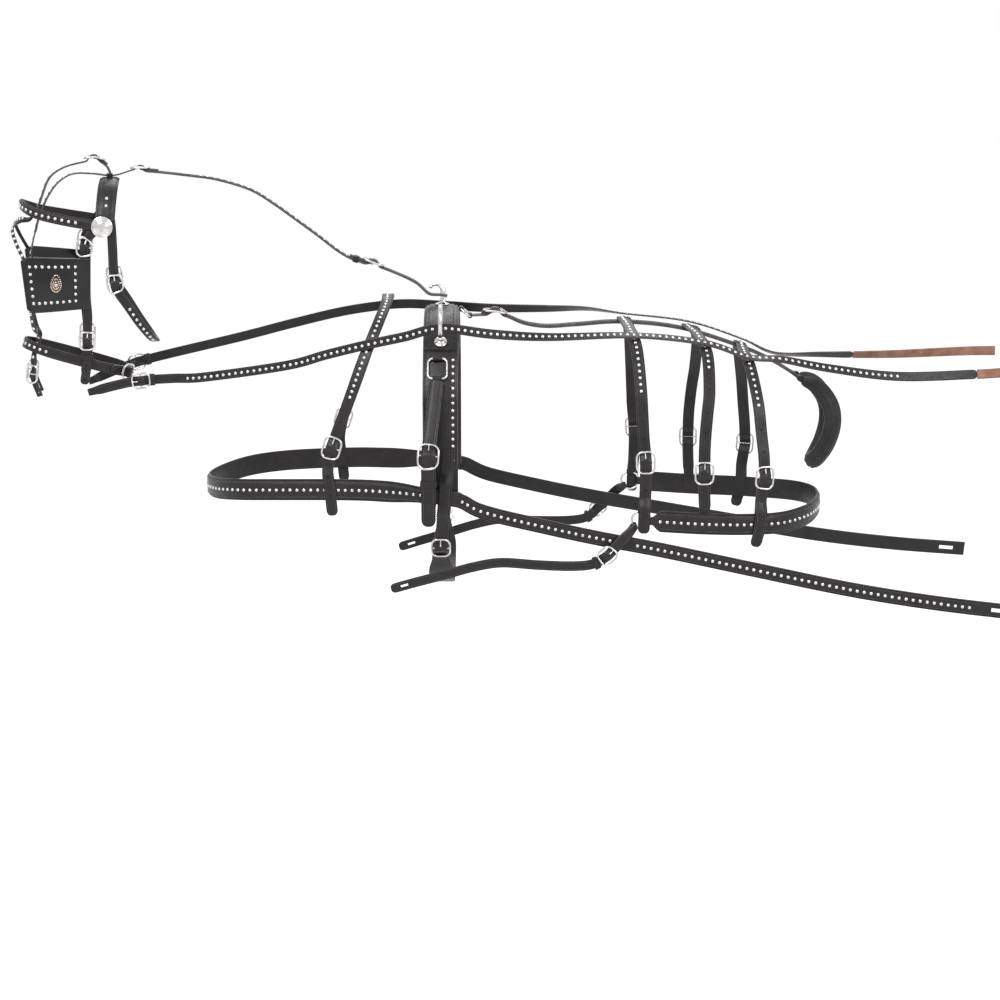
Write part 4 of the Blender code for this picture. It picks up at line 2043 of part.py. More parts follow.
def main():
    for existing in list(bpy.data.objects):
        bpy.data.objects.remove(existing, do_unlink=True)
    leather, patent, padded, brown, metal = (
        black_leather(), patent_leather(), padded_leather(), brown_leather(), nickel())
    h = Harness()
    saddle_panel(h, padded)
    saddle_skirt(h, leather)
    saddle_seat(h, leather)
    rear_dee(h, metal)
    check_hook(h, metal)
    girth_parts(h, leather)
    breast_collar(h, leather)
    neck_strap(h, leather)
    back_parts(h, leather)
    breeching(h, leather)
    crupper_dock(h, padded)
    check_parts(h, leather)
    bridle_parts(h, leather, patent, metal)
    for index in range(len(h.hips)):
        hip_strap(h, index, leather)
    for name, side in SIDES:
        shaft_dee(h, name, side, metal)
        shaft_parts(h, name, side, leather, metal)
        terret(h, name, side, metal)
        trace(h, name, side, leather)
        breeching_ring(h, name, side, metal)
        ring_chape(h, name, side, leather)
        holdback(h, name, side, leather)
        rein_parts(h, name, side, leather, brown)


main()
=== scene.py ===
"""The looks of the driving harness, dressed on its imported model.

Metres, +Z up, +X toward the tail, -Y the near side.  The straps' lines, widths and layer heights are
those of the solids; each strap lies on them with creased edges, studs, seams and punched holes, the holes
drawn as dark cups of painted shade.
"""

import json
import math

import bmesh
import bpy
from mathutils import Matrix, Vector


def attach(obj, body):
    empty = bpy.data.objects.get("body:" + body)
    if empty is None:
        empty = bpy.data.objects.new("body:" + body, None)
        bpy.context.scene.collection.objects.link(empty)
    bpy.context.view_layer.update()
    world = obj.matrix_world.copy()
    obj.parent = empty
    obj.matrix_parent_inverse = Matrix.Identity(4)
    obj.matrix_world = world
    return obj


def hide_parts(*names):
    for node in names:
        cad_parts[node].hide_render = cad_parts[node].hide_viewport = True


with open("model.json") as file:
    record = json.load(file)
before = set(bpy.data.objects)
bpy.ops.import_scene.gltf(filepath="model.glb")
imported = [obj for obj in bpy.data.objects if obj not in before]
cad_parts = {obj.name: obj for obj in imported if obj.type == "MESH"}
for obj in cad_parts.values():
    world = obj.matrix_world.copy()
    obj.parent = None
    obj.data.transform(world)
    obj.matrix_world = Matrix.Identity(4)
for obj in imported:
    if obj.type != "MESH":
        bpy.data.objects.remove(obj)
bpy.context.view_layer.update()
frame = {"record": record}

HARNESS = "harness"
UP = Vector((0, 0, 1))
REARWARD = Vector((1, 0, 0))
LEFTWARD = Vector((0, -1, 0))
NEAR = -1
FAR = 1
SIDES = (("near", NEAR), ("far", FAR))
HIP_NAMES = ("front", "middle", "rear")

# The photograph's camera, in metres and in pixels of its frame
CAMERA_PLACE = (0.104, -4.4, 0.524)
CAMERA_PITCH = math.radians(78.9)
FOCAL_PIXELS = 2457
PICTURE_SIDE = 1000
SENSOR_MM = 36
CAMERA_FRAME = Matrix.Translation(CAMERA_PLACE) @ Matrix.Rotation(CAMERA_PITCH, 4, "X")
WORLD_TO_CAMERA = CAMERA_FRAME.inverted()
WRONG_SIDE_PIXELS = 1000
WRONG_END_PIXELS = 500
MIDDLE_SHARE = 0.3

# Reaches of the harness
REAR_LENGTH = 1.00
FRONT_LENGTH = 0.59
POLL_HEIGHT = 0.24
HALF_WIDTH = 0.20
BODY_DEPTH = 0.50
HEAD_LENGTH = 0.40
HEAD_HALF_WIDTH = 0.08
HEAD_TURN = math.radians(9)
SHARP_ANGLE = math.radians(40)

# Clearances between pieces that touch
GAP = 0.0003
LAY = 0.0008
SEW = 0.0006
CROSS_LAY = 5 * LAY
OVERRUN = 0.004

# Straps: width and thickness
SADDLE_WIDTH = 0.062
SKIRT_THICKNESS = 0.004
SEAT_THICKNESS = 0.005
PANEL_THICKNESS = 0.009
PANEL_WIDTH = 0.056
COLLAR_WIDTH = 0.038
COLLAR_THICKNESS = 0.006
TRACE_WIDTH = 0.026
TRACE_THICKNESS = 0.005
NECK_STRAP_WIDTH = 0.020
NECK_STRAP_THICKNESS = 0.003
BACK_STRAP_WIDTH = 0.030
BACK_STRAP_THICKNESS = 0.005
HIP_STRAP_WIDTH = 0.021
HIP_STRAP_THICKNESS = 0.003
CHAPE_THICKNESS = 0.003
BREECHING_WIDTH = 0.038
BREECHING_THICKNESS = 0.006
HOLDBACK_WIDTH = 0.0175
HOLDBACK_THICKNESS = 0.003
TUG_WIDTH = 0.025
TUG_THICKNESS = 0.004
BILLET_WIDTH = 0.022
BILLET_THICKNESS = 0.0035
GIRTH_WIDTH = 0.045
REIN_WIDTH = 0.017
REIN_THICKNESS = 0.003
CROWN_WIDTH = 0.034
CROWN_THICKNESS = 0.0035
BROWBAND_WIDTH = 0.0185
BROWBAND_THICKNESS = 0.004
CHEEK_WIDTH = 0.016
CHEEK_THICKNESS = 0.003
NOSEBAND_WIDTH = 0.030
NOSEBAND_THICKNESS = 0.004
THROAT_WIDTH = 0.0165
THROAT_THICKNESS = 0.003
OVERCHECK_WIDTH = 0.0125
OVERCHECK_THICKNESS = 0.0025
STAY_WIDTH = 0.011
STAY_THICKNESS = 0.003
CHECK_WIDTH = 0.016
CHECK_THICKNESS = 0.004

# Buckles, rings and other metal
WIRE = 0.0032
BAR_HALF = 0.0013
TONGUE_HALF = 0.0011
GRIP_SHARE = 0.7
TONGUE_ROOT_SHARE = 0.2
TONGUE_END_SHARE = 0.27
FLAT_TOP_SHARE = 0.045
BULGE_REACH_SHARE = 0.42
SEAT_ROW_SHARES = (1, 1.5, 2)
BULGE_ROW_SHARES = tuple(k / 12 for k in range(7))
BUCKLE_MARGIN = 0.0035
BUCKLE_LENGTH = 0.038
SMALL_BUCKLE_LENGTH = 0.030
RING_RADIUS = 0.0165
RING_WIRE = 0.0042
RING_PLAY = 0.0013
BORE_SIDES = 8
PLATE_SIDES = 12
DEE_WIDTH = 0.033
DEE_WIRE = 0.004
REAR_DEE_WIDTH = 0.040
TERRET_RADIUS = 0.0270
TERRET_WIRE = 0.0078
TERRET_STEM = 0.012
TERRET_FLANGE = 0.011
TERRET_UPRIGHT = 2
HOOK_WIRE = 0.006
HOOK_HEIGHT = 0.036
HOOK_PLATE_RADIUS = 0.0132
HOOK_CURL = 0.0114
HOOK_CURL_TURN = math.radians(140)
ROSETTE_RADIUS = 0.0185
ROSETTE_HEIGHT = 0.007

# Blinkers and crupper
BLINKER_THICKNESS = 0.004
BLINKER_CUP = 0.010
DOCK_RADIUS = 0.0145

# Sleeves, the ends of straps, and the loops for the shafts
SLEEVE_WALL = 0.0022
TAIL_LENGTH = 0.045
CHAPE_WIDTH_SHARE = 0.9
SETTLE_SHARE = 0.4
LONG_TIP_SHARE = 0.75
REIN_TIP_SHARE = 0.6
OVERCHECK_TIP_SHARE = 0.7
LOOP_WIDTH_SHARE = 0.72
SHAFT_OPENING = 0.022
SHAFT_LOOP_HEIGHT = 0.096
SHAFT_LOOP_STEPS = 6
KEEPER_SHARE = 0.42
ROW_CLEAR_SHARE = 0.35
TIP_ROW_SHARES = (0.04, 0.12, 0.25, 0.4, 0.6, 0.8, 1.0)
TIP_BLUNT_SHARE = 0.3

# Lines that the pieces lie on

# Half of the girth line, from the belly up the near side: shares of half width and body depth
GIRTH_SHARES = (
    (0, -0.965), (0.30, -0.950), (0.53, -0.905), (0.74, -0.80), (0.855, -0.70), (0.8625, -0.594),
    (0.8625, -0.48), (0.845, -0.36), (0.79, -0.25), (0.70, -0.17), (0.56, -0.10), (0.39, -0.044),
    (0.20, -0.010), (0, 0),
)

# Half of the collar and trace line from the chest: shares of front length, half width, body depth
CHEST_SHARES = (
    (0.712, 0, -0.612), (0.680, 0.34, -0.606), (0.600, 0.60, -0.592), (0.470, 0.735, -0.582),
    (0.270, 0.80, -0.578), (0.130, 0.845, -0.584),
)

# Heights of the draft line at the saddle's rear and front edge
DRAFT_SEAT_SHARES = (-0.608, -0.590)
DRAFT_SHARE = -0.599
DRAFT_REACH_SHARE = 0.55

# How far down the sides, of the half width, a hip strap turns from the back strap's slope
TOP_SHARE = 0.4

# A trace behind the saddle: shares of rear length, half width and body depth
TRACE_SHARES = (
    (0.080, 0.930, -0.650), (0.180, 0.945, -0.698), (0.280, 0.965, -0.740), (0.390, 0.990, -0.780),
    (0.550, 1.075, -0.842), (0.714, 1.160, -0.904), (0.860, 1.235, -0.945), (1.005, 1.310, -0.974),
)

# Half of the breeching line, from the ring round the rump
BREECHING_SHARES = (
    (0.351, 0.930, -0.676), (0.400, 0.935, -0.682), (0.470, 0.925, -0.690), (0.545, 0.890, -0.694),
    (0.600, 0.790, -0.694), (0.645, 0.575, -0.686), (0.669, 0.300, -0.678), (0.677, 0, -0.674),
)

# The back strap: shares of rear length and body depth
BACK_SHARES = (
    (0.050, -0.004), (0.078, -0.002), (0.105, -0.008), (0.140, -0.030), (0.185, -0.044),
    (0.240, -0.038), (0.324, -0.028), (0.428, -0.050), (0.535, -0.116), (0.590, -0.164), (0.632, -0.214),
)

# Each hip strap: where it crosses the back strap, its points down one side, and its end
HIP_SHARES = (
    (0.325, (
        (0.332, 0.26, -0.030), (0.343, 0.62, -0.086), (0.349, 0.85, -0.215), (0.352, 0.915, -0.320),
        (0.354, 0.930, -0.390), (0.358, 0.930, -0.470), (0.358, 0.930, -0.570),
    ), (0.355, -0.760)),
    (0.436, (
        (0.455, 0.26, -0.060), (0.468, 0.56, -0.112), (0.469, 0.80, -0.226), (0.465, 0.875, -0.304),
        (0.462, 0.905, -0.368), (0.460, 0.922, -0.440), (0.460, 0.925, -0.560),
    ), (0.460, -0.780)),
    (0.535, (
        (0.538, 0.24, -0.118), (0.545, 0.53, -0.162), (0.555, 0.75, -0.272), (0.560, 0.815, -0.366),
        (0.564, 0.845, -0.450), (0.565, 0.855, -0.530), (0.560, 0.862, -0.610),
    ), (0.546, -0.790)),
)

# The near half of the neck strap below its top: shares of front length, half width, body depth
NECK_SHARES = (
    (0.165, 0, 0.070), (0.166, 0.22, 0.052), (0.184, 0.46, 0.000), (0.206, 0.590, -0.062),
    (0.234, 0.680, -0.142), (0.268, 0.745, -0.254), (0.298, 0.775, -0.350), (0.322, 0.785, -0.430),
    (0.334, 0.790, -0.500),
)

# The check rein over the crest: shares of front length and of the poll's height
CHECK_SHARES = (
    (0.005, 0.125), (0.045, 0.138), (0.088, 0.228), (0.162, 0.310), (0.205, 0.348), (0.244, 0.388),
    (0.283, 0.424), (0.323, 0.485), (0.378, 0.590), (0.439, 0.700), (0.508, 0.822), (0.578, 0.926),
    (0.676, 1.000), (0.762, 1.030), (0.866, 1.058), (0.930, 1.060),
)

# The overcheck over the poll and down the forehead: shares of the head's length, back and up
POLL_SHARES = (
    (0.030, 0.022), (0, 0.028), (-0.080, 0.029), (-0.162, 0.028), (-0.225, -0.008), (-0.272, -0.070),
    (-0.310, -0.150), (-0.332, -0.225),
)

# A leg of the overcheck on the face: shares of the head's length, half width and length again
LEG_SHARES = (
    (-0.348, 0.10, -0.290), (-0.358, 0.30, -0.400), (-0.362, 0.46, -0.540), (-0.350, 0.55, -0.640),
)

# Where a leg lies behind the noseband, in shares of its width, and how far it has turned to it above
LEG_SEAT_SHARES = (0.6, -0.6)
LEG_TURN_SHARES = (0.4, 0.8)

# The crown and the cheek strap, in the same shares
CROWN_SHARES = (
    (-0.030, 0.985, -0.240), (-0.030, 0.975, -0.190), (-0.022, 0.86, -0.110), (-0.012, 0.62, -0.040),
    (-0.004, 0.33, -0.006), (0, 0, 0.008),
)
CHEEK_SHARES = (
    (-0.040, 0.975, -0.150), (-0.062, 0.982, -0.195), (-0.108, 0.990, -0.240), (-0.121, 0.985, -0.280),
    (-0.117, 0.975, -0.330), (-0.120, 0.920, -0.440),
    (-0.122, 0.875, -0.540), (-0.118, 0.815, -0.620), (-0.122, 0.790, -0.700), (-0.130, 0.720, -0.800),
    (-0.140, 0.770, -0.890),
)

# The point of the cheek strap that lies on the noseband, and where a blinker's front edge ends
CHEEK_CROSS_INDEX = 9
BLINKER_FRONT_SHARES = ((-0.395, 1.375, -0.306), (-0.372, 1.250, -0.558))

# Heights on the head, as shares of its length, and the rosette's place along it
BLINKER_REAR_SHARES = (-0.326, -0.545)
UPPER_BUCKLE_SHARE = -0.275
LOWER_BUCKLE_SHARE = -0.694
THROAT_BUCKLE_SHARE = -0.440
ROSETTE_SHARE = -0.040
CROWN_END_SHARE = -0.225

# Where a billet ends, and where it comes down beside its buckle, in shares of the buckle's length
BILLET_TIP_SHARE = 0.6
BILLET_SETTLE_SHARES = (0.15, 0.55)

# The reins by side: along the head, on to the terret, from there to the hip straps, and to the end
REIN_HEAD_SHARES = {
    NEAR: (
        (-0.107, 0.75, -0.923), (0.000, 0.76, -0.896), (0.106, 0.75, -0.878), (0.250, 0.74, -0.872),
    ),
    FAR: (
        (-0.107, 0.75, -0.915), (0.000, 0.76, -0.872), (0.106, 0.75, -0.835), (0.250, 0.76, -0.800),
    ),
}
REIN_FRONT_SHARES = {
    NEAR: (
        (0.714, 0.33, -0.206), (0.464, 0.49, -0.156), (0.342, 0.60, -0.112), (0.222, 0.665, -0.074),
        (0.106, 0.655, -0.045),
    ),
    FAR: (
        (0.635, 0.47, -0.104), (0.479, 0.52, -0.058), (0.324, 0.565, -0.016), (0.200, 0.590, 0.006),
        (0.110, 0.575, 0.014),
    ),
}
REIN_BACK_SHARES = {
    NEAR: ((0.09, 0.60, -0.040), (0.19, 0.55, -0.054)),
    FAR: ((0.09, 0.42, 0.004), (0.19, 0.28, 0.008), (0.26, 0.17, 0.012)),
}
REIN_REST_SHARES = {NEAR: (0.50, 0.48, 0.46), FAR: (0.12, 0.08, 0.04)}
REIN_REAR_SHARES = {
    NEAR: (
        (0.600, 0.50, -0.136), (0.686, 0.45, -0.170), (0.810, 0.35, -0.204), (0.947, 0.25, -0.202),
        (1.005, 0.225, -0.196),
    ),
    FAR: (
        (0.600, 0.08, -0.145), (0.686, 0.12, -0.152), (0.810, 0.15, -0.152), (0.947, 0.19, -0.142),
        (1.005, 0.20, -0.140),
    ),
}
REIN_BUCKLE_AT = 0.088
HANDPART_SHARES = {NEAR: 0.952, FAR: 0.745}

# Bands round the head, in the same shares as the cheek strap
BROWBAND_SHARES = (
    (0.010, 1.040, -0.192), (-0.030, 1.035, -0.190), (-0.100, 1.020, -0.178), (-0.210, 0.93, -0.158),
    (-0.310, 0.72, -0.136), (-0.370, 0.42, -0.112), (-0.390, 0, -0.098),
)
THROAT_SHARES = (
    (-0.006, 0.975, -0.165), (0.000, 0.985, -0.225), (0.002, 0.975, -0.300), (0.004, 0.950, -0.400),
    (0.016, 0.915, -0.470), (0.060, 0.830, -0.540), (0.110, 0.660, -0.620), (0.160, 0.36, -0.690),
    (0.182, 0, -0.715),
)
NOSEBAND_SHARES = (
    (0.052, 0, -0.850), (0.026, 0.38, -0.840), (-0.040, 0.575, -0.822), (-0.150, 0.645, -0.790),
    (-0.290, 0.590, -0.748), (-0.370, 0.33, -0.722), (-0.395, 0, -0.714),
)
NOSEBAND_AXIS_SHARES = (0.3, 0, 0.954)

# The winker stay: shares of the head's length, back and up
STAY_SHARES = (
    (-0.014, 0.060), (-0.040, 0.080), (-0.068, 0.085), (-0.120, 0.078),
    (-0.200, 0.056), (-0.262, 0.012), (-0.298, -0.070), (-0.318, -0.125),
)
STAY_BUCKLE_INDEX = 2

# Where the shaft loops hang, and their outline: shares of half the opening and of half the height
TUG_PLACE_SHARE = -0.020
TUG_HEIGHT_SHARE = -0.528
SHAFT_LOOP_SHARES = (
    (1, 0), (1, 0.45), (0.92, 0.82), (0.5, 1.0), (0, 1.03), (-0.5, 1.0), (-0.92, 0.82), (-1, 0.45),
    (-1, 0), (-1, -0.45), (-0.92, -0.82), (-0.5, -1.0), (0, -1.03), (0.5, -1.0), (0.92, -0.82),
    (1, -0.45),
)

# How far a stay leg has turned, its size beside the stay's, and where it ends on the blinker
STAY_TURN_SHARES = (0.3, 0.7)
STAY_LEG_SHARE = 0.55
LEG_THICKNESS_SHARE = 0.8
STAY_END_SHARES = (0.93, 0.08)
STAY_LEG_SHARES = (
    (-0.350, 0.10, -0.165), (-0.395, 0.44, -0.170), (-0.425, 0.86, -0.195), (-0.412, 1.18, -0.250),
)

# Places along the straps: shares of the body's depth, of the rear length, or of a piece's own size
NECK_BUCKLE_SHARE = -0.430
TAIL_SETTLE_SHARES = (0.7, 1.9)
TUG_BUCKLE_SHARE = -0.444
TUG_KEEPER_SHARE = -0.535
TUG_LOOP_SHARES = (0.075, 0.0, -0.075)
TUG_SHOULDER_SHARE = 0.75
TUG_TAIL_SHARE = 1.4
BACK_BUCKLE_SHARE = 0.095
BACK_NARROW_SHARE = 0.8
SLOT_AT = 0.036
SLOT_REACH_SHARE = 0.55
SLOT_WIDTH_SHARE = 0.28
LAP_SHARE = 0.036
LAP_END_SHARE = 0.048
LAP_CLEAR_SHARE = 1.8
COLLAR_RISE_SHARES = (2, 0.6)
COLLAR_SPREAD_SHARE = 3
COLLAR_SEAT_SHARE = 0.35
BREECHING_SEAT_SHARE = 0.3
HIP_CLEAR_SHARE = 0.56
NECK_CLEAR_SHARE = 0.62
HIP_BUCKLE_SHARES = ((-0.466, -0.722), (-0.510, -0.640), (-0.528, -0.770))

# The holdback from the ring forward: shares of rear length, half width and body depth
HOLDBACK_SHARES = (
    (0.326, 1.022, -0.718), (0.312, 1.036, -0.750), (0.294, 1.030, -0.790), (0.268, 1.010, -0.826),
    (0.230, 0.993, -0.836),
    (0.170, 0.970, -0.834), (0.106, 0.945, -0.828), (0.056, 0.925, -0.846), (0.005, 0.905, -0.876),
    (-0.048, 0.885, -0.906), (-0.088, 0.870, -0.930),
)

# The breeching's rings, the holdbacks, and the fork that holds the crupper dock
RING_SLEEVE_SHARE = 0.8
RING_END_SHARES = (1.05, 1.3, 1.6, 2.1)
HOLDBACK_ANGLE = -137
RING_CHAPE_ANGLE = 90
HOLDBACK_BUCKLE_AT = 0.072
HOLDBACK_KEEPER_SHARE = 0.55
HOLDBACK_SLIT_SHARES = (0.4, 0.24)
FORK_LENGTH = 0.012
FORK_THICKNESS = 0.0062
FORK_ROOT_SHARE = 0.22
FORK_BEND_SHARE = 0.6
BACK_TIP_SHARE = 0.61
DOCK_SPREAD = 0.027
DOCK_DEPTH = 0.160
KNUCKLE_RADIUS = 0.0055

# The dock's middle line below its pivots: shares of its depth and of its half spread
DOCK_CENTRE_SHARES = (0.12, -0.5)
DOCK_CLEAR_SHARE = 1.15
DOCK_SHARES = (
    (0.20, 1.15, -0.10), (0.345, 1.30, -0.30), (0.375, 1.25, -0.52), (0.320, 1.00, -0.74),
    (0.235, 0.55, -0.90), (0.190, 0, -0.96),
)

# The check rein, the bridle and the blinkers
FLAP_SWELL_SHARE = 0.30
REAR_CHECK_SHARE = 0.212
POLL_BUCKLE_SHARE = 0.910
NOSEBAND_BUCKLE_AT = 0.024
BIT_END_TURN_SHARE = 0.35
BIT_END_SHARE = 0.6
SLIT_SHARE = 0.28
LEG_ROW_POINTS = slice(-30, -10, 5)
CROWN_ROW_SHARES = (-0.5, -0.25, 0, 0.25, 0.5)
CHEEK_SETTLE_SHARES = (0.2, 0.6)
THROAT_CHAPE_SHARE = 0.95
NOSEBAND_NARROW_SHARE = 0.6
NOSEBAND_SPREAD_SHARES = (0.8, 2.2)
STAY_LEG_LIFT_SHARE = 0.1
REIN_LOOP_RADIUS = 0.006
BLINKER_STRIP_SHARE = 0.16
BLINKER_CORNER_SHARE = 0.82
BLINKER_DRAW_SHARE = 0.22
BLINKER_ROUND_SHARE = 0.96
BLINKER_FACING_SHARES = (-0.15, 0)

# Heights above the girth line of the saddle's layers
SKIRT_LIFT = PANEL_THICKNESS + GAP
SKIRT_TOP = SKIRT_LIFT + SKIRT_THICKNESS
SEAT_LIFT = SKIRT_TOP + GAP
SEAT_TOP = SEAT_LIFT + SEAT_THICKNESS

# Heights above the draft line at the saddle
LAP_LIFT = COLLAR_THICKNESS + LAY
DRAFT_TOP = LAP_LIFT + TRACE_THICKNESS
RING_LIFT = RING_WIRE / 2 + CHAPE_THICKNESS + 2 * GAP
SLEEVE = DEE_WIRE / 2 + GAP + SLEEVE_WALL

# Height above the crown line of the loop that holds the overcheck
CROWN_LOOP_TOP = CROWN_THICKNESS + OVERCHECK_THICKNESS + 3 * LAY + SLEEVE_WALL

# Heights of a strap over a chape, and of one that is sewn over it
ON_CHAPE = CHAPE_THICKNESS + GAP
SEWN_ON_CHAPE = CHAPE_THICKNESS - SEW

# Heights on the body, as shares of its depth, where the saddle's pieces end or sit
SKIRT_END_SHARE = -0.600
PANEL_END_SHARE = -0.235
SKIRT_DROP_SHARES = (-0.255, -0.330)
SEAT_END_SHARE = -0.112
TERRET_SHARE = -0.094
DEE_TOP_SHARE = -0.140
DEE_LOW_SHARE = -0.200
BILLET_TOP_SHARE = -0.430
GIRTH_BUCKLE_SHARE = -0.775
GIRTH_TAPER_SHARE = 1.6
BILLET_ASIDE_SHARES = (-0.2, 0.85)
STEP_ROW_SHARES = (0, 0.33, 0.66, 1)
PANEL_SWELL_SHARE = 0.55
SADDLE_ROW_SHARES = (
    SKIRT_END_SHARE, *SKIRT_DROP_SHARES, -0.293, PANEL_END_SHARE, PANEL_END_SHARE * 0.96, SEAT_END_SHARE,
)

# Finer detail than the solids have
PROBE = 0.0005
FINE_STEP = 0.006
ROW_DIGITS = 6
SMOOTH_STEPS = 10
WIRE_STEP = 0.005
WIRE_SIDES = 10
CORD_SIDES = 8
CORNER_STEPS = 6
KEEPER_CORNER_STEPS = 4
ROUND_SIDES = 16
RING_SIDES = 48
TERRET_SIDES = 14
RING_WIRE_SIDES = 12
RING_BORE_SIDES = (20, 6)
STUD_RADIUS = 0.0032
STUD_HEIGHT = 0.0022
STUD_SIDES = 10
STUD_PITCH = 0.0122
REIN_STUD_PITCH = 0.0115
NECK_STUD_PITCH = 0.0105
STUD_SINK = 0.0003
STUD_PROFILE_SHARES = ((1.0, 0), (1.0, 0.2), (0.82, 0.6), (0.5, 0.88))
SEAM_PITCH = 0.0038
SEAM_LENGTH = 0.0026
SEAM_WIDTH = 0.0009
SEAM_HEIGHT = 0.0004
SEAM_SHARE = 0.70
SEAM_CLEAR = 0.008
BILLET_STEP = 0.0348
HOLE_PROFILE = ((0.0022, -0.0004), (0.0022, 0.00012), (0.0017, 0.00016), (0.0014, 0.00004))
KEEPER_WALL = 0.0016
KEEPER_CORNER = 0.0014
KEEPER_LENGTH = 0.010
KEEPER_PROFILE_SHARES = ((0, -1), (0.7, -1), (1, -0.7), (1, 0.7), (0.7, 1), (0, 1))
EASE_SHARE = 0.3
BUCKLE_CORNER_SHARE = 0.35
BUCKLE_FAT_SHARE = 1.15
TONGUE_FAT_SHARE = 1.25
TONGUE_FLAT_SHARE = 0.5
TONGUE_TAPER_SHARE = 0.1
TONGUE_SHARES = (0, 0.2, 0.4, 0.6, 0.8, 1)
WELT_RADIUS = 0.0016
WELT_HEIGHT_SHARE = 0.5
FLANGE_SHARES = ((0.95, 0), (1, 0.15), (1, 0.5), (0.9, 0.75), (0.72, 0.85), (0.62, 1.3), (0.5, 1.5))
STEM_SHARES = ((1.0, 0), (1.05, 0.2), (0.8, 0.45), (0.75, 0.65), (0.95, 0.85), (1.05, 1.0), (0.8, 1.12))
HOOK_STEPS = 16
HOOK_TAPER_SHARE = 0.3
BALL_RINGS = 8
DOCK_SIDES = 80
DOCK_RIBS = 10
DOCK_RIB_SHARE = 0.10
DOCK_TIP_SHARE = 0.42
DOCK_SWELL_RATE = 5
ROSETTE_FINE_SHARES = (
    (0.98, 0), (1, 0.08), (1, 0.20), (0.95, 0.27), (0.90, 0.22), (0.87, 0.24), (0.84, 0.36),
    (0.80, 0.40), (0.76, 0.36), (0.72, 0.42), (0.62, 0.62), (0.48, 0.80), (0.32, 0.93), (0.16, 0.99),
    (0.03, 1.0),
)
BLINKER_FINE = (28, 18)
BLINKER_BIND_SHARE = 0.02
BEAD_RADIUS = 0.0016
BLINKER_BORDER_SHARES = (0.23, 0.17, 0.88, 0.83)
BLINKER_BORDER_STUDS = (7, 5)
BLINKER_DROP_SHARES = (0.51, 0.50)
DROP_HEIGHT = 0.0125
DROP_WIDTH = 0.0092
DROP_POINT_SHARE = 0.4
DROP_POINT_POWER = 3
DROP_RINGS = ((1.0, 0.0013, 22), (0.62, 0.0013, 14), (0.30, 0.0012, 7), (0, 0.0022, 1))

# A strap's cross-section: shares of half its width and of its thickness
STRAP_SHARES = (
    (-0.95, 0), (0.95, 0), (1, 0.25), (1, 0.72), (0.95, 0.94), (0.89, 1), (0.85, 0.88), (0.81, 1),
    (-0.81, 1), (-0.85, 0.88), (-0.89, 1), (-0.95, 0.94), (-1, 0.72), (-1, 0.25),
)
# The same, creased on both faces, about the middle of its thickness
DOUBLE_SHARES = (
    (-0.81, -1), (0.81, -1), (0.85, -0.8), (0.89, -1), (0.95, -0.9), (1, -0.4), (1, 0.4), (0.95, 0.9),
    (0.89, 1), (0.85, 0.8), (0.81, 1), (-0.81, 1), (-0.85, 0.8), (-0.89, 1), (-0.95, 0.9), (-1, 0.4),
    (-1, -0.4), (-0.95, -0.9), (-0.89, -1), (-0.85, -0.8),
)
# A wide base with a narrower, crowned layer sewn on it
RAISED_SHARES = (
    (-0.97, 0), (0.97, 0), (1, 0.12), (1, 0.40), (0.97, 0.52), (0.84, 0.55), (0.80, 0.50), (0.78, 0.86),
    (0.74, 0.98), (0.66, 1.0), (0.62, 0.93), (0.58, 1.0), (0.30, 1.04), (-0.30, 1.04), (-0.58, 1.0),
    (-0.62, 0.93), (-0.66, 1.0), (-0.74, 0.98), (-0.78, 0.86), (-0.80, 0.50), (-0.84, 0.55),
    (-0.97, 0.52), (-1, 0.40), (-1, 0.12),
)
# The saddle's pad, full and rounded
PANEL_SHARES = (
    (-0.80, -0.08), (-0.40, -0.14), (0, -0.12), (0.40, -0.14), (0.80, -0.08), (0.97, 0.08), (1.04, 0.35),
    (1.05, 0.60), (1.02, 0.85), (0.97, 0.98), (0.90, 1), (-0.90, 1), (-0.97, 0.98), (-1.02, 0.85),
    (-1.05, 0.60), (-1.04, 0.35), (-0.97, 0.08),
)

# A side of a cross-section that rises more than this, and runs less, is a cut edge
EDGE_RISE_SHARE = 0.2
EDGE_RUN_SHARE = 0.055

# Where the photograph shows studs and holes, in pixels
HIP_STUD_PIXELS = ((641, 390), (709, 369), (757.5, 406.5))
HIP_HOLE_PIXELS = (
    ((643, 421), (644, 439), (648, 489)),
    ((708.6, 391), (707, 414), (706, 433)),
    ((761, 431.5), (763, 452), (760, 501)),
)
NECK_HOLE_PIXELS = ((341, 422), (326, 477), (325, 494))
CROWN_STUD_PIXELS = ((109, 200), (107, 206))
CHEEK_HOLE_PIXELS = ((86.5, 364.6), (85, 379.8))
TRACE_STUD_ENDS = ((460, 507), (967, 607))
CHECK_STUD_ENDS = ((346, 258), (200, 177))
SADDLE_STUD_ENDS = ((452.5, 363), (452.5, 459))
COLLAR_STUD_START = (420, 498)
NECK_STUD_START = (350, 397.5)
BREECHING_STUD_START = (660, 521.4)
BROWBAND_STUD_START = (75.6, 221)
THROAT_STUD_START = (132.4, 307)
NOSEBAND_STUD_START = (46.3, 350.4)
STAY_STUD_START = (50, 178)
HOLDBACK_CROSSES = (623, 12)
REIN_STUD_START = 190
REIN_STUD_ENDS = {NEAR: 897, FAR: 858}

# Other places of studs and keepers, as shares of a leg's or of a tail's length
LEG_STUD_START_SHARE = 0.3
REIN_KEEPER_SHARE = 0.45
CHECK_KEEPER_SHARE = 0.7
SADDLE_STUD_SHARE = 0.35

# How leather scuffs, shines and creases: the span of a scuff's edge, of its gloss, and a crease's depth
SCUFF_SPAN = 0.12
GLOSS_SPAN = (0.10, 0.07)
CREASE_SHARE = 3

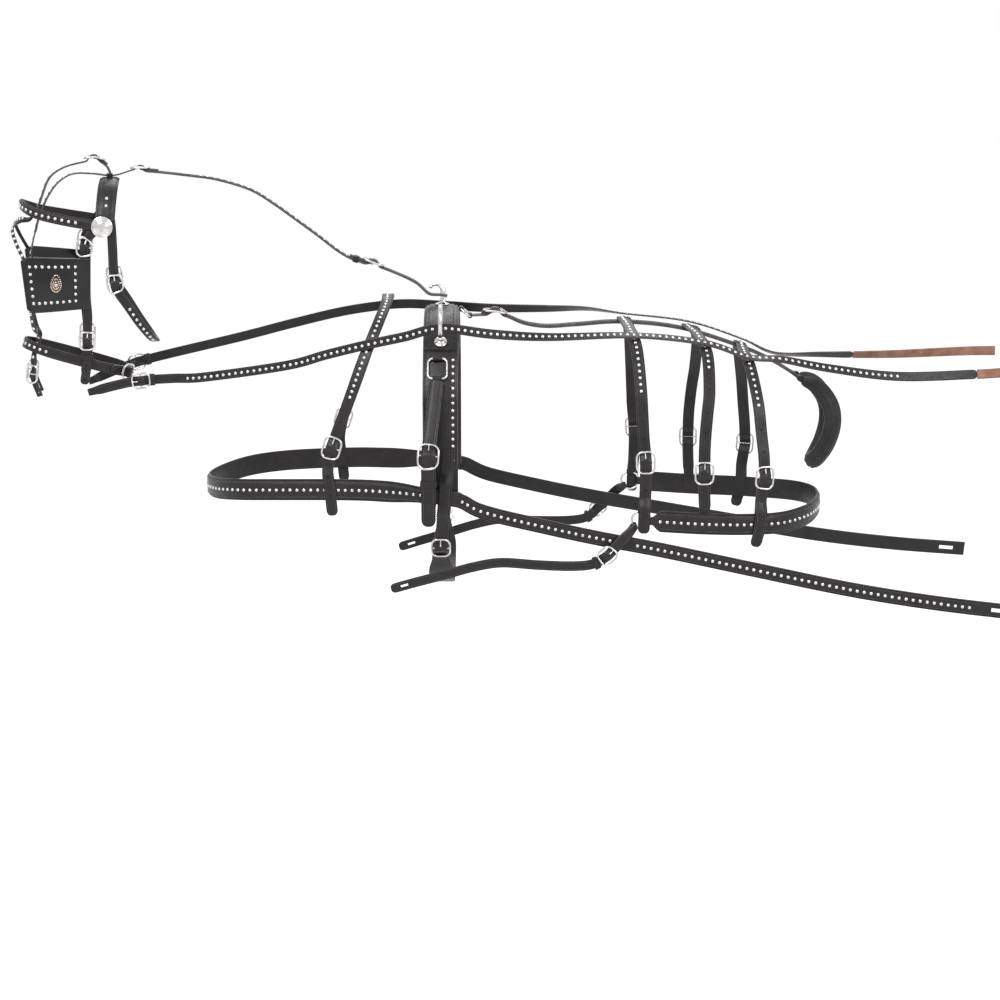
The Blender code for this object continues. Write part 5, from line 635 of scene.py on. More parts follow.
# Light and ground
WORLD_LIGHT = 0.5
FLOOR_REACH = 7
FLOOR_HEIGHT = -0.965
FLOOR_TONE = 0.5
FLOOR_GLOW = 0.77
LAMPS = (
    ("key", (-1.5, -3.0, 3.0), 110, 1.5),
    ("fill", (2.5, -2.5, 1.5), 45, 1.5),
    ("back", (0.0, 2.5, 3.0), 60, 2.5),
)

BODY_OF = {node: body for body, nodes in frame["record"]["behaviour"]["bodies"].items() for node in nodes}


def seen(place):
    """Where the photograph's camera sees a place, in pixels."""
    local = WORLD_TO_CAMERA @ place
    scale = FOCAL_PIXELS / -local.z
    return Vector((PICTURE_SIDE / 2 + local.x * scale, PICTURE_SIDE / 2 - local.y * scale))


# Materials


class Surface:
    """A material in the making, with the nodes that shape its looks."""

    def __init__(self, name):
        self.made = bpy.data.materials.new(name)
        self.made.use_nodes = True
        self.nodes = self.made.node_tree.nodes
        self.links = self.made.node_tree.links
        self.inputs = self.nodes["Principled BSDF"].inputs

    def node(self, kind, **values):
        """A new node, with the values of its inputs."""
        made = self.nodes.new(kind)
        for name, value in values.items():
            made.inputs[name.replace("_", " ")].default_value = value
        return made

    def set(self, **values):
        """Sets plain values of the shader."""
        for name, value in values.items():
            self.inputs[name.replace("_", " ")].default_value = value

    def noise(self, scale, detail=4.0, stretch=(1, 1, 1)):
        """A noise in metres of the object, as its factor."""
        coordinates = self.node("ShaderNodeTexCoord")
        mapping = self.node("ShaderNodeMapping", Scale=stretch)
        texture = self.node("ShaderNodeTexNoise", Scale=scale, Detail=detail)
        self.links.new(coordinates.outputs["Object"], mapping.inputs["Vector"])
        self.links.new(mapping.outputs["Vector"], texture.inputs["Vector"])
        return texture.outputs["Fac"]

    def pores(self, scale):
        """Leather pores, as the distance from the middle of each."""
        coordinates = self.node("ShaderNodeTexCoord")
        texture = self.node("ShaderNodeTexVoronoi", Scale=scale)
        self.links.new(coordinates.outputs["Object"], texture.inputs["Vector"])
        return texture.outputs["Distance"]

    def spread(self, value, low, high, start=0.3, end=0.7):
        """The value mapped from its usual spread to a range."""
        ranged = self.node("ShaderNodeMapRange", From_Min=start, From_Max=end, To_Min=low, To_Max=high)
        self.links.new(value, ranged.inputs["Value"])
        return ranged.outputs["Result"]

    def blended(self, factor, first, second):
        """A colour between two, or from a socket to a colour."""
        mix = self.node("ShaderNodeMix")
        mix.data_type = "RGBA"
        self.links.new(factor, mix.inputs["Factor"])
        for socket, colour in ((mix.inputs["A"], first), (mix.inputs["B"], second)):
            if isinstance(colour, tuple):
                socket.default_value = (*colour, 1)
            else:
                self.links.new(colour, socket)
        return mix.outputs["Result"]

    def bumped(self, *layers):
        """Adds bumps, each a height and its depth in metres."""
        normal = None
        for height, depth in layers:
            bump = self.node("ShaderNodeBump", Distance=depth)
            self.links.new(height, bump.inputs["Height"])
            if normal:
                self.links.new(normal, bump.inputs["Normal"])
            normal = bump.outputs["Normal"]
        self.links.new(normal, self.inputs["Normal"])


def mottled(name, dark, light, tone, gloss):
    """A surface between two colours, with an uneven gloss.

    tone and gloss each give a noise's scale and detail, then the range that it is spread over.
    """
    surface = Surface(name)
    (tones, tone_span), (glosses, gloss_span) = tone, gloss
    mottle = surface.spread(surface.noise(*tones), 0, 1, *tone_span)
    surface.links.new(surface.blended(mottle, dark, light), surface.inputs["Base Color"])
    surface.links.new(surface.spread(surface.noise(*glosses), *gloss_span), surface.inputs["Roughness"])
    return surface


def leather(name, dark, light, worn, roughness, pores=620, depth=0.00022, coat=0.0, wear=0.66):
    """Dyed leather: mottled, grained, with dull scuffs where it is worn."""
    surface = Surface(name)
    mottle = surface.spread(surface.noise(scale=55), 0, 1)
    colour = surface.blended(mottle, dark, light)
    scuffs = surface.spread(surface.noise(scale=190, detail=8), 0, 1, wear, wear + SCUFF_SPAN)
    surface.links.new(surface.blended(scuffs, colour, worn), surface.inputs["Base Color"])
    duller, glossier = GLOSS_SPAN
    gloss = surface.spread(surface.noise(scale=120), roughness - glossier, roughness + duller)
    surface.links.new(gloss, surface.inputs["Roughness"])
    surface.set(Specular_IOR_Level=0.3, Coat_Weight=coat, Coat_Roughness=0.28)
    surface.bumped(
        (surface.pores(pores), depth),
        (surface.noise(scale=260, detail=6), depth),
        (surface.noise(scale=45), depth * CREASE_SHARE),
    )
    return surface.made


def black_leather():
    return leather(
        "black_leather", (0.0095, 0.0078, 0.0082), (0.0185, 0.0155, 0.0165), (0.045, 0.039, 0.039),
        roughness=0.36, coat=0.08)


# The cut edges' leather is coloured far lighter than the face: a painted highlight along every strap's edge.
def edge_painted_highlight():
    return leather(
        "edge_painted_highlight", (0.060, 0.051, 0.049), (0.110, 0.097, 0.093), (0.16, 0.14, 0.13),
        roughness=0.50, pores=900, wear=0.58)


def padded_leather():
    return leather(
        "padded_leather", (0.016, 0.014, 0.015), (0.029, 0.026, 0.027), (0.05, 0.045, 0.045),
        roughness=0.50, pores=480, depth=0.0003)


def brown_leather():
    return leather(
        "brown_leather", (0.25, 0.115, 0.075), (0.40, 0.215, 0.155), (0.50, 0.31, 0.24),
        roughness=0.52, pores=520, depth=0.00025, wear=0.62)


def brown_edge():
    return leather(
        "brown_edge", (0.20, 0.10, 0.07), (0.33, 0.19, 0.14), (0.42, 0.28, 0.21),
        roughness=0.58, pores=900)


# Near-black leather for punched holes: painted shade in place of the shadow inside a real hole.
def painted_hole_shade():
    return leather(
        "painted_hole_shade", (0.004, 0.004, 0.004), (0.010, 0.009, 0.009), (0.020, 0.018, 0.018),
        roughness=0.8, pores=900)


def patent_leather():
    """Black with a deep gloss, a little wavy."""
    surface = mottled("patent_leather", (0.007, 0.006, 0.007), (0.013, 0.012, 0.013),
                      tone=((30,), ()), gloss=((90,), (0.07, 0.17)))
    surface.set(Specular_IOR_Level=0.25, Coat_Weight=0.2, Coat_Roughness=0.06)
    surface.bumped((surface.noise(scale=24, detail=2), 0.0009), (surface.noise(scale=300, detail=3), 0.00006))
    return surface.made


def nickel():
    """Polished white metal with fine scratches and a few dull places."""
    surface = mottled("nickel", (0.62, 0.61, 0.60), (0.42, 0.41, 0.40),
                      tone=((130, 5), (0.52, 0.75)), gloss=((240, 6), (0.13, 0.27)))
    surface.set(Metallic=1.0)
    surface.bumped((surface.noise(scale=420, detail=3, stretch=(1, 1, 6)), 0.00005))
    return surface.made


def pale_gold():
    """Small polished beads of a warm, pale metal."""
    surface = mottled("pale_gold", (0.72, 0.56, 0.42), (0.92, 0.84, 0.74),
                      tone=((700, 2), ()), gloss=((500,), (0.16, 0.3)))
    surface.set(Metallic=0.85)
    surface.bumped((surface.noise(scale=800, detail=2), 0.00008))
    return surface.made


def thread():
    """Waxed black thread, twisted."""
    surface = mottled("thread", (0.07, 0.064, 0.062), (0.19, 0.175, 0.17),
                      tone=((900, 2), ()), gloss=((600,), (0.45, 0.7)))
    surface.bumped((surface.noise(scale=1400, detail=2), 0.0001))
    return surface.made


def make_looks():
    """Each look's material slot and its finishes: the face's, then the cut edges', which are coloured lighter
    as a painted highlight.
    """
    edge = edge_painted_highlight()
    metal = nickel()
    return {
        "leather": ("black_leather", (black_leather(), edge)),
        "patent": ("patent_leather", (patent_leather(), edge)),
        "padded": ("padded_leather", (padded_leather(), edge)),
        "brown": ("brown_leather", (brown_leather(), brown_edge())),
        "nickel": ("nickel", (metal, metal)),
        "gold": ("nickel", (pale_gold(),)),
        "thread": ("black_leather", (thread(),)),
        # The holes' cups: painted shade.
        "dark": ("black_leather", (painted_hole_shade(),)),
    }


LOOKS = make_looks()


# Pieces


def new_object(name, data):
    """A new object in the scene."""
    made = bpy.data.objects.new(name, data)
    bpy.context.scene.collection.objects.link(made)
    return made


def put(name, mesh, look, body, *stands_for):
    """Shows a mesh as a piece that rides on a body, in place of the CAD nodes it stands for."""
    slot, finishes = LOOKS[look]
    if not mesh.materials:
        for finish in finishes:
            mesh.materials.append(finish)
    made = new_object(name, mesh)
    mesh.shade_smooth()
    mesh.set_sharp_from_angle(angle=SHARP_ANGLE)
    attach(made, body)
    if stands_for:
        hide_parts(*stands_for)
    return made


def mesh_of(bm, turned_out=True):
    """The mesh of what is in the making, its faces turned outward."""
    if turned_out:
        bmesh.ops.recalc_face_normals(bm, faces=bm.faces)
    mesh = bpy.data.meshes.new("mesh")
    bm.to_mesh(mesh)
    bm.free()
    return mesh


def merged(meshes):
    bm = bmesh.new()
    for mesh in meshes:
        bm.from_mesh(mesh)
    return mesh_of(bm, turned_out=False)


def faces_between(bm, a, b):
    """Adds the faces between two rings of vertices."""
    count = len(a)
    return [bm.faces.new((a[i], a[(i + 1) % count], b[(i + 1) % count], b[i])) for i in range(count)]


def skin(rings, closed=False, edges=()):
    """A closed mesh through rings of points, with flat ends unless it is closed."""
    bm = bmesh.new()
    rows = [[bm.verts.new(point) for point in ring] for ring in rings]
    pairs = list(zip(rows, rows[1:]))
    if closed:
        pairs.append((rows[-1], rows[0]))
    for a, b in pairs:
        for i, face in enumerate(faces_between(bm, a, b)):
            # Cut edges take the second finish, which carries the painted edge highlight.
            face.material_index = 1 if i in edges else 0
    if not closed:
        for row in (rows[0], rows[-1]):
            bm.faces.new(row).material_index = 1 if edges else 0
    return mesh_of(bm)


def edge_segments(shares):
    """Which sides of a cross-section are cut edges."""
    found = set()
    for i, (u, v) in enumerate(shares):
        next_u, next_v = shares[(i + 1) % len(shares)]
        if abs(next_v - v) > EDGE_RISE_SHARE and abs(next_u - u) < EDGE_RUN_SHARE:
            found.add(i)
    return found


def cut(mesh, cutters, look):
    """The mesh with the cutters taken out of it."""
    for finish in LOOKS[look][1]:
        mesh.materials.append(finish)
    base = new_object("cut", mesh)
    helper = new_object("cutter", merged(cutters))
    modifier = base.modifiers.new("cut", "BOOLEAN")
    modifier.operation = "DIFFERENCE"
    modifier.solver = "MANIFOLD"
    modifier.object = helper
    bpy.context.view_layer.update()
    result = bpy.data.meshes.new_from_object(base.evaluated_get(bpy.context.evaluated_depsgraph_get()))
    for piece in (base, helper):
        bpy.data.objects.remove(piece, do_unlink=True)
    return result


# Lines over the body


def body_place(x_share, y_share, z_share):
    return Vector((x_share * REAR_LENGTH, y_share * HALF_WIDTH, z_share * BODY_DEPTH))


def front_place(x_share, y_share, z_share):
    return Vector((-x_share * FRONT_LENGTH, y_share * HALF_WIDTH, z_share * BODY_DEPTH))


def crest_place(x_share, z_share):
    return Vector((-x_share * FRONT_LENGTH, 0, z_share * POLL_HEIGHT))


def head_frame():
    return Matrix.Translation((-FRONT_LENGTH, 0, POLL_HEIGHT)) @ Matrix.Rotation(HEAD_TURN, 4, "Z")


def head_place(x_share, y_share, z_share):
    place = Vector((x_share * HEAD_LENGTH, y_share * HEAD_HALF_WIDTH, z_share * HEAD_LENGTH))
    return head_frame() @ place


def head_local(point):
    return head_frame().inverted() @ point


def placed(place, side, shares):
    """Points of a strap on one side, from shares that a function turns into places."""
    return [place(x, side * y, z) for x, y, z in shares]


def head_direction(direction):
    return (head_frame().to_3x3() @ Vector(direction)).normalized()


def square_to(axis):
    return lambda place, along: axis.cross(along)


def smooth_line(points, steps=SMOOTH_STEPS, closed=False):
    """A Catmull-Rom curve through the points."""
    count = len(points)
    line = []
    spans = count if closed else count - 1
    for i in range(spans):
        if closed:
            a, b, c, d = (points[(i + k) % count] for k in (-1, 0, 1, 2))
        else:
            b, c = points[i], points[i + 1]
            a = points[i - 1] if i else b * 2 - c
            d = points[i + 2] if i + 2 < count else c * 2 - b
        for k in range(steps):
            t = k / steps
            line.append(
                ((b * 2) + (c - a) * t + (a * 2 - b * 5 + c * 4 - d) * t**2
                 + (b * 3 - a - c * 3 + d) * t**3) / 2
            )
    line.append(points[0].copy() if closed else points[-1].copy())
    return line


class Line:
    """A smooth line, with the directions along it, across it and outward."""

    def __init__(self, points, facing, closed=False, steps=SMOOTH_STEPS):
        self.closed = closed
        self.line = smooth_line(points, steps, closed)
        self.lengths = [0.0]
        for a, b in zip(self.line, self.line[1:]):
            self.lengths.append(self.lengths[-1] + (b - a).length)
        self.length = self.lengths[-1]
        self.tangents = []
        last = len(self.line) - 1
        for i in range(last + 1):
            before = self.line[i - 1] if i else (self.line[-2] if closed else self.line[0])
            after = self.line[i + 1] if i < last else (self.line[1] if closed else self.line[last])
            self.tangents.append((after - before).normalized())
        self.facings = []
        for i, (place, along) in enumerate(zip(self.line, self.tangents)):
            if callable(facing):
                self.facings.append(facing(place, along).normalized())
            else:
                k = i / steps
                j = min(int(k), len(facing) - 2)
                self.facings.append(facing[j].lerp(facing[j + 1], k - j).normalized())

    def frame(self, s):
        """The point, the way along, the way across and the way out at a length along the line."""
        if self.closed:
            s %= self.length
        s = min(max(s, 0.0), self.length)
        low, high = 0, len(self.lengths) - 1
        while high - low > 1:
            middle = (low + high) // 2
            if self.lengths[middle] <= s:
                low = middle
            else:
                high = middle
        span = self.lengths[high] - self.lengths[low]
        t = (s - self.lengths[low]) / span if span else 0.0
        place = self.line[low].lerp(self.line[high], t)
        along = self.tangents[low].lerp(self.tangents[high], t).normalized()
        facing = self.facings[low].lerp(self.facings[high], t)
        across = along.cross(facing).normalized()
        return place, along, across, across.cross(along).normalized()

    def spot(self, s, sideways=0.0, out=0.0):
        place, _, across, outward = self.frame(s)
        return place + across * sideways + outward * out

    def nearest(self, test):
        """The length along the line where the test value of the place is least."""
        best = min(range(len(self.line)), key=lambda i: test(self.line[i]))
        return self.lengths[best]


def value_at(value, s):
    return value(s) if callable(value) else value


def stations(start, end, step, extra=()):
    """Lengths from start to end about a step apart, with the extra ones among them."""
    count = max(1, round((end - start) / step))
    fixed = sorted({round(s, ROW_DIGITS) for s in extra if start < s < end} | {start, end})
    rows = list(fixed)
    for k in range(1, count):
        s = start + (end - start) * k / count
        if min(abs(s - f) for f in fixed) > step * ROW_CLEAR_SHARE:
            rows.append(s)
    return sorted(rows)


def turns(count, shift=0):
    """Even angles round a circle."""
    return [2 * math.pi * (k + shift) / count for k in range(count)]


def circle(centre, u, v, radius, count, shift=0):
    """Points round a circle in the plane of two directions."""
    return [centre + (u * math.cos(a) + v * math.sin(a)) * radius for a in turns(count, shift)]


def way_along(points, i):
    """The direction of a row of points at one of them."""
    return (points[min(i + 1, len(points) - 1)] - points[max(i - 1, 0)]).normalized()


def tube(points, radius, flat):
    """A round bar through the points, which lie in one plane square to flat."""
    rings = []
    for i, point in enumerate(points):
        out = way_along(points, i).cross(flat).normalized()
        rings.append(circle(point, out, flat, value_at(radius, i), WIRE_SIDES, 0.5))
    return skin(rings)


def cord_mesh(path, radius, flat):
    """A thin round cord through the points."""
    rings = []
    for i, point in enumerate(path):
        along = way_along(path, i)
        out = along.cross(flat).normalized()
        rings.append(circle(point, out, along.cross(out), radius, CORD_SIDES))
    return skin(rings)


def lathe(foot, axis, profile, sides=RING_SIDES):
    """A turned form: radius and height pairs about an axis from its foot."""
    u = axis.orthogonal().normalized()
    v = axis.cross(u)
    return skin([circle(foot + axis * high, u, v, radius, sides) for radius, high in profile])


def scaled(shares, radius, height):
    """A turned outline from its shares."""
    return [(reach * radius, high * height) for reach, high in shares]


def torus(centre, u, v, radius, wire, count=RING_SIDES, sides=TERRET_SIDES):
    """A round ring in the plane of two directions."""
    axis = u.cross(v).normalized()
    rings = []
    for a in turns(count):
        way = u * math.cos(a) + v * math.sin(a)
        rings.append([
            centre + way * (radius + wire * math.cos(b)) + axis * (wire * math.sin(b)) for b in turns(sides)
        ])
    return skin(rings, closed=True)


def rounded_rectangle(length, width, corner, steps=CORNER_STEPS):
    """Corner-rounded rectangle points, as pairs along the length and the width."""
    corners = []
    for a, (sx, sy) in enumerate(((1, 1), (-1, 1), (-1, -1), (1, -1))):
        for k in range(steps + 1):
            angle = math.pi / 2 * (a + k / steps)
            corners.append((
                sx * (length / 2 - corner) + corner * math.cos(angle),
                sy * (width / 2 - corner) + corner * math.sin(angle),
            ))
    points = []
    for i, (u, v) in enumerate(corners):
        next_u, next_v = corners[(i + 1) % len(corners)]
        count = max(1, round(math.hypot(next_u - u, next_v - v) / WIRE_STEP))
        points += [(u + (next_u - u) * k / count, v + (next_v - v) * k / count) for k in range(count)]
    return points


def outward_of(path, i):
    """The way out of a closed flat path at one of its points."""
    before, after = path[i - 1], path[(i + 1) % len(path)]
    du, dv = after[0] - before[0], after[1] - before[1]
    size = math.hypot(du, dv)
    return dv / size, -du / size


def wire_loop(place, length, width, corner, wire):
    """A closed loop of wire; place maps along, across and out to a point."""
    path = rounded_rectangle(length, width, corner)
    rings = []
    for i, (u, v) in enumerate(path):
        nu, nv = outward_of(path, i)
        ring = []
        for a in turns(WIRE_SIDES, 0.5):
            reach = math.cos(a) * wire / 2
            ring.append(place(u + nu * reach, v + nv * reach, math.sin(a) * wire / 2))
        rings.append(ring)
    return skin(rings, closed=True)


def sleeve(centre, axis, radius, width, sides=ROUND_SIDES):
    """A short round sleeve about an axis, with eased ends."""
    ease = radius * EASE_SHARE / 2
    foot = centre - axis * width / 2
    profile = ((radius - ease, 0), (radius, ease), (radius, width - ease), (radius - ease, width))
    return lathe(foot, axis, profile, sides)


def evenly(start, end, count):
    """Values from start to end in even steps."""
    return [start + (end - start) * k / count for k in range(count + 1)]


def row(start, end, pitch=STUD_PITCH):
    """Lengths from start to end, evenly about a pitch apart."""
    return evenly(start, end, max(1, round(abs(end - start) / pitch)))


def cup(bm, centre, outward, profile):
    """Adds the turned side of a small form to a mesh in the making, with its foot; gives its top ring."""
    u = outward.orthogonal().normalized()
    v = outward.cross(u)
    rings = []
    for reach, high in profile:
        ring = circle(centre + outward * high, u, v, reach, STUD_SIDES)
        rings.append([bm.verts.new(point) for point in ring])
    bm.faces.new(list(reversed(rings[0])))
    for a, b in zip(rings, rings[1:]):
        faces_between(bm, a, b)
    return rings[-1]


def dome(bm, centre, outward, radius=STUD_RADIUS, height=STUD_HEIGHT):
    """Adds a domed stud."""
    foot = centre - outward * STUD_SINK
    last = cup(bm, foot, outward, scaled(STUD_PROFILE_SHARES, radius, height))
    top = bm.verts.new(foot + outward * height)
    for k in range(STUD_SIDES):
        bm.faces.new((last[k], last[(k + 1) % STUD_SIDES], top))


def eyelet(bm, centre, outward):
    """Adds a punched hole's mouth: a low rim round a floor, all coloured dark as painted shade for the hole's
    depth.
    """
    bm.faces.new(cup(bm, centre, outward, HOLE_PROFILE))


def stitch(bm, centre, along, across, outward):
    """Adds one stitch, as a grain lying along the seam."""
    ends = [bm.verts.new(centre + along * sign * SEAM_LENGTH / 2) for sign in (-1, 1)]
    belt = [
        bm.verts.new(centre + across * u * SEAM_WIDTH / 2 + outward * v * SEAM_HEIGHT)
        for u, v in ((-1, 0), (0, -1), (1, 0), (0, 1))
    ]
    for a, b in zip(belt, belt[1:] + belt[:1]):
        bm.faces.new((a, b, ends[1]))
        bm.faces.new((b, a, ends[0]))


def at_pixel(line, x, y):
    """Where the photograph shows a line's near side nearest to a pixel."""
    target = Vector((x, y))
    return line.nearest(
        lambda p: (seen(p) - target).length
        + (WRONG_SIDE_PIXELS if p.y > HEAD_HALF_WIDTH * MIDDLE_SHARE else 0))


# Straps


class Lay:
    """Where a strap lies: its line, its ends, and its width, height and thickness along it."""

    def __init__(self, line, start, end, width, thickness, lift, sideways):
        self.line = line
        self.start = start
        self.end = end
        self.width = width
        self.thickness = thickness
        self.lift = lift
        self.sideways = sideways

    def frame(self, s, aside=0.0):
        """A place on the strap's face, and the ways along, across and out of it."""
        line = self.line
        aside += value_at(self.sideways, s)
        top = value_at(self.lift, s) + value_at(self.thickness, s)
        place = line.spot(s, aside, top)
        ahead = min(s + PROBE, self.end)
        behind = max(s - PROBE, self.start)
        along = line.spot(ahead, aside, top) - line.spot(behind, aside, top)
        across = line.spot(s, aside + PROBE, top) - line.spot(s, aside - PROBE, top)
        outward = line.spot(s, aside, top + PROBE) - place
        return place, along.normalized(), across.normalized(), outward.normalized()


# The straps laid for the node in the making, and those of every node that is shown
LAYING = []
LAID = {}


def band(line, start, end, width, thickness, lift=0.0, extra=(), shares=STRAP_SHARES,
         sideways=0.0, ring=False):
    """A strap along the line, between two lengths, at a height above the line."""
    if not ring:
        LAYING.append(Lay(line, start, end, width, thickness, lift, sideways))
    rows = stations(start, end, FINE_STEP, extra)
    if ring:
        rows = rows[:-1]
    rings = []
    for s in rows:
        half = value_at(width, s) / 2
        high = value_at(thickness, s)
        base = value_at(lift, s)
        aside = value_at(sideways, s)
        rings.append([line.spot(s, aside + u * half, base + v * high) for u, v in shares])
    return skin(rings, closed=ring, edges=edge_segments(shares))


def joined(name, meshes, look, cuts=()):
    """Shows a node's leather as one piece, and its buckles and its stitches as others."""
    body = BODY_OF[name]
    metal = [mesh for mesh in meshes if mesh.get("metal")]
    soft = [mesh for mesh in meshes if not mesh.get("metal")]
    LAID[name] = list(LAYING)
    LAYING.clear()
    if not soft:
        put(f"{name}_{look}", merged(metal), look, body, name)
        return
    if cuts:
        soft = [cut(mesh, cuts, look) for mesh in soft]
    put(f"{name}_{look}", merged(soft), look, body, name)
    if metal:
        put(f"{name}_buckles", merged(metal), "nickel", body)
    if look in ("leather", "brown"):
        put_seams(name, body)


def put_seams(name, body):
    """Stitches along both edges of every strap of a node."""
    bm = bmesh.new()
    for lay in LAID[name]:
        if lay.end - lay.start < 3 * SEAM_CLEAR:
            continue
        for s in row(lay.start + SEAM_CLEAR, lay.end - SEAM_CLEAR, SEAM_PITCH):
            for sign in (-1, 1):
                stitch(bm, *lay.frame(s, sign * SEAM_SHARE * value_at(lay.width, s) / 2))
    if len(bm.verts):
        put(f"{name}_seams", mesh_of(bm), "thread", body)


def put_studs(name, lengths, index=0, aside=0.0, piece="studs"):
    """Domed studs along one of a node's straps."""
    lay = LAID[name][index]
    bm = bmesh.new()
    for s in lengths:
        place, _, _, outward = lay.frame(s, aside)
        dome(bm, place, outward)
    put(f"{name}_{piece}", mesh_of(bm), "nickel", BODY_OF[name])


def put_holes(name, lengths):
    """Punched holes in a node's first strap, as small cups rimmed by their own edge, coloured dark as painted
    shade inside each hole.
    """
    lay = LAID[name][0]
    bm = bmesh.new()
    for s in lengths:
        place, _, _, outward = lay.frame(s)
        eyelet(bm, place, outward)
    put(f"{name}_holes", mesh_of(bm), "dark", BODY_OF[name])


def buckle_meshes(line, centre, width, chape, strap, length=BUCKLE_LENGTH, tongue=1, sideways=0.0):
    """A round-cornered frame with a middle bar, and a tongue that rests on its end bar."""
    middle = buckle_height(chape, strap)
    outer = width + 2 * (BUCKLE_MARGIN + WIRE / 2)

    def place(u, v, out):
        return line.spot(centre + u, sideways + v, middle + out)

    across = (place(0, PROBE, 0) - place(0, -PROBE, 0)).normalized()
    outward = (place(0, 0, PROBE) - place(0, 0, 0)).normalized()
    wire = wire_loop(place, length, outer, outer * BUCKLE_CORNER_SHARE, WIRE * BUCKLE_FAT_SHARE)
    bar = tube([place(0, v * outer / 2, 0) for v in (-1, 1)], BAR_HALF, outward)
    root = length * TONGUE_ROOT_SHARE
    thick = TONGUE_HALF * TONGUE_FAT_SHARE
    low = billet_rise(strap) * bulge(root, 0, length) + GAP - WIRE / 2 + thick
    high = WIRE / 2 + thick * TONGUE_FLAT_SHARE
    end = length / 2 + WIRE * TONGUE_END_SHARE
    path = []
    for t in TONGUE_SHARES:
        out = low + (high - low) * rise(t, 0, TONGUE_SHARES[-2])
        path.append(place(tongue * (root + (end - root) * t), 0, out))
    prong = tube(path, lambda i: thick * (1 - i * TONGUE_TAPER_SHARE), across)
    made = merged([wire, bar, prong])
    made["metal"] = True
    return [made]


def looped_strap(line, tip, end, width, thickness, radius, centre, length, extra):
    """A strap doubled round a bar at the line's start, its tail back through the buckle on it."""
    half = thickness / 2
    rest = thickness + GAP
    settle = TAIL_LENGTH * SETTLE_SHARE

    def narrow(s):
        return LOOP_WIDTH_SHARE + (1 - LOOP_WIDTH_SHARE) * rise(s, 0, settle)

    def upper(s):
        middle = radius + (rest + half - radius) * rise(s, 0, settle)
        return middle + billet_rise(thickness) * bulge(s, centre, length)

    def upper_width(s):
        return min(width * narrow(s), tip_width(s, tip, width, width / 2))

    def lower(s):
        middle = -radius + (half + radius) * rise(s, 0, settle)
        return middle + held_rise(thickness) * bulge(s, centre, length)

    def lower_width(s):
        return min(width * narrow(s), tip_width(s, end, width, width / 2))

    LAYING.append(Lay(line, tip + GAP, end, lower_width, half, lower, 0))
    LAYING.append(Lay(line, 0, tip, upper_width, half, upper, 0))
    near_rows = bulge_rows(centre, length)
    rings = []
    for s in reversed(stations(0, tip, FINE_STEP, near_rows + tip_rows(tip, width / 2, 1))):
        wide = upper_width(s) / 2
        rings.append([line.spot(s, u * wide, upper(s) + v * half) for u, v in DOUBLE_SHARES])
    place, along, across, outward = line.frame(0)
    wide = width * LOOP_WIDTH_SHARE / 2
    for k in range(1, ROUND_SIDES):
        angle = math.pi * k / ROUND_SIDES
        reach = outward * math.cos(angle) - along * math.sin(angle)
        rings.append([place + across * u * wide + reach * (radius + v * half) for u, v in DOUBLE_SHARES])
    for s in stations(0, end, FINE_STEP, near_rows + extra):
        wide = lower_width(s) / 2
        rings.append([line.spot(s, u * wide, lower(s) - v * half) for u, v in DOUBLE_SHARES])
    return skin(rings, edges=edge_segments(DOUBLE_SHARES))


def keeper_mesh(line, centre, width, low, high, length):
    """A leather ring, round-cornered, about everything between two heights above the line."""
    middle = (low + high) / 2
    path = rounded_rectangle(high - low + 2 * GAP, width + 2 * GAP, KEEPER_CORNER, KEEPER_CORNER_STEPS)
    rings = []
    for i, (w, v) in enumerate(path):
        nw, nv = outward_of(path, i)
        ring = []
        for reach, u in KEEPER_PROFILE_SHARES:
            reach *= KEEPER_WALL
            ring.append(line.spot(centre + u * length / 2, v + nv * reach, middle + w + nw * reach))
        rings.append(ring)
    return skin(rings, closed=True)


def rise(s, start, end):
    """0 before start, 1 after end, smooth between."""
    t = min(max((s - start) / (end - start), 0.0), 1.0)
    return t * t * (3 - 2 * t)


def bulge(s, centre, length):
    """1 at the centre, falling smoothly to 0 before the buckle's end bars."""
    flat = length * FLAT_TOP_SHARE
    reach = length * BULGE_REACH_SHARE
    away = min(max(abs(s - centre), flat), reach)
    return math.cos(math.pi / 2 * (away - flat) / (reach - flat)) ** 2


def bulge_rows(centre, length):
    return [centre + sign * length * share for share in BULGE_ROW_SHARES for sign in (-1, 1)]


def tip_rows(end, length, sign):
    return [end - sign * length * share for share in TIP_ROW_SHARES]


def tip_width(s, end, width, length):
    """A strap's rounded point: full width until its last stretch."""
    t = min(max(abs(end - s) / length, 0.0), 1.0)
    return width * (TIP_BLUNT_SHARE + (1 - TIP_BLUNT_SHARE) * math.sqrt(1 - (1 - t) ** 2))


def pointed(end, width):
    """The width of a strap that comes to a rounded point at its end."""
    return lambda s: tip_width(s, end, width, width / 2)


def buckle_height(chape, strap):
    """How far a buckle's middle plane lies above the chape's underside."""
    return chape + strap + 2 * GAP + WIRE / 2


def billet_rise(strap):
    """How far a billet climbs to pass over the middle bar."""
    return strap + 2 * GAP + 2 * BAR_HALF + (WIRE / 2 - BAR_HALF)


def chape_rise(strap):
    """How far a chape climbs to lie against the middle bar."""
    return strap + GAP + WIRE / 2 - BAR_HALF


def held_rise(strap):
    """How far a chape climbs that is sewn round the middle bar of its own buckle."""
    return chape_rise(strap) + GAP + BAR_HALF * GRIP_SHARE


def billet_lift(buckles, rest):
    """A billet's height: rest, and over each buckle's middle bar."""
    def lift(s):
        height = value_at(rest, s)
        for centre, length, strap in buckles:
            height += billet_rise(strap) * bulge(s, centre, length)
        return height

    return lift


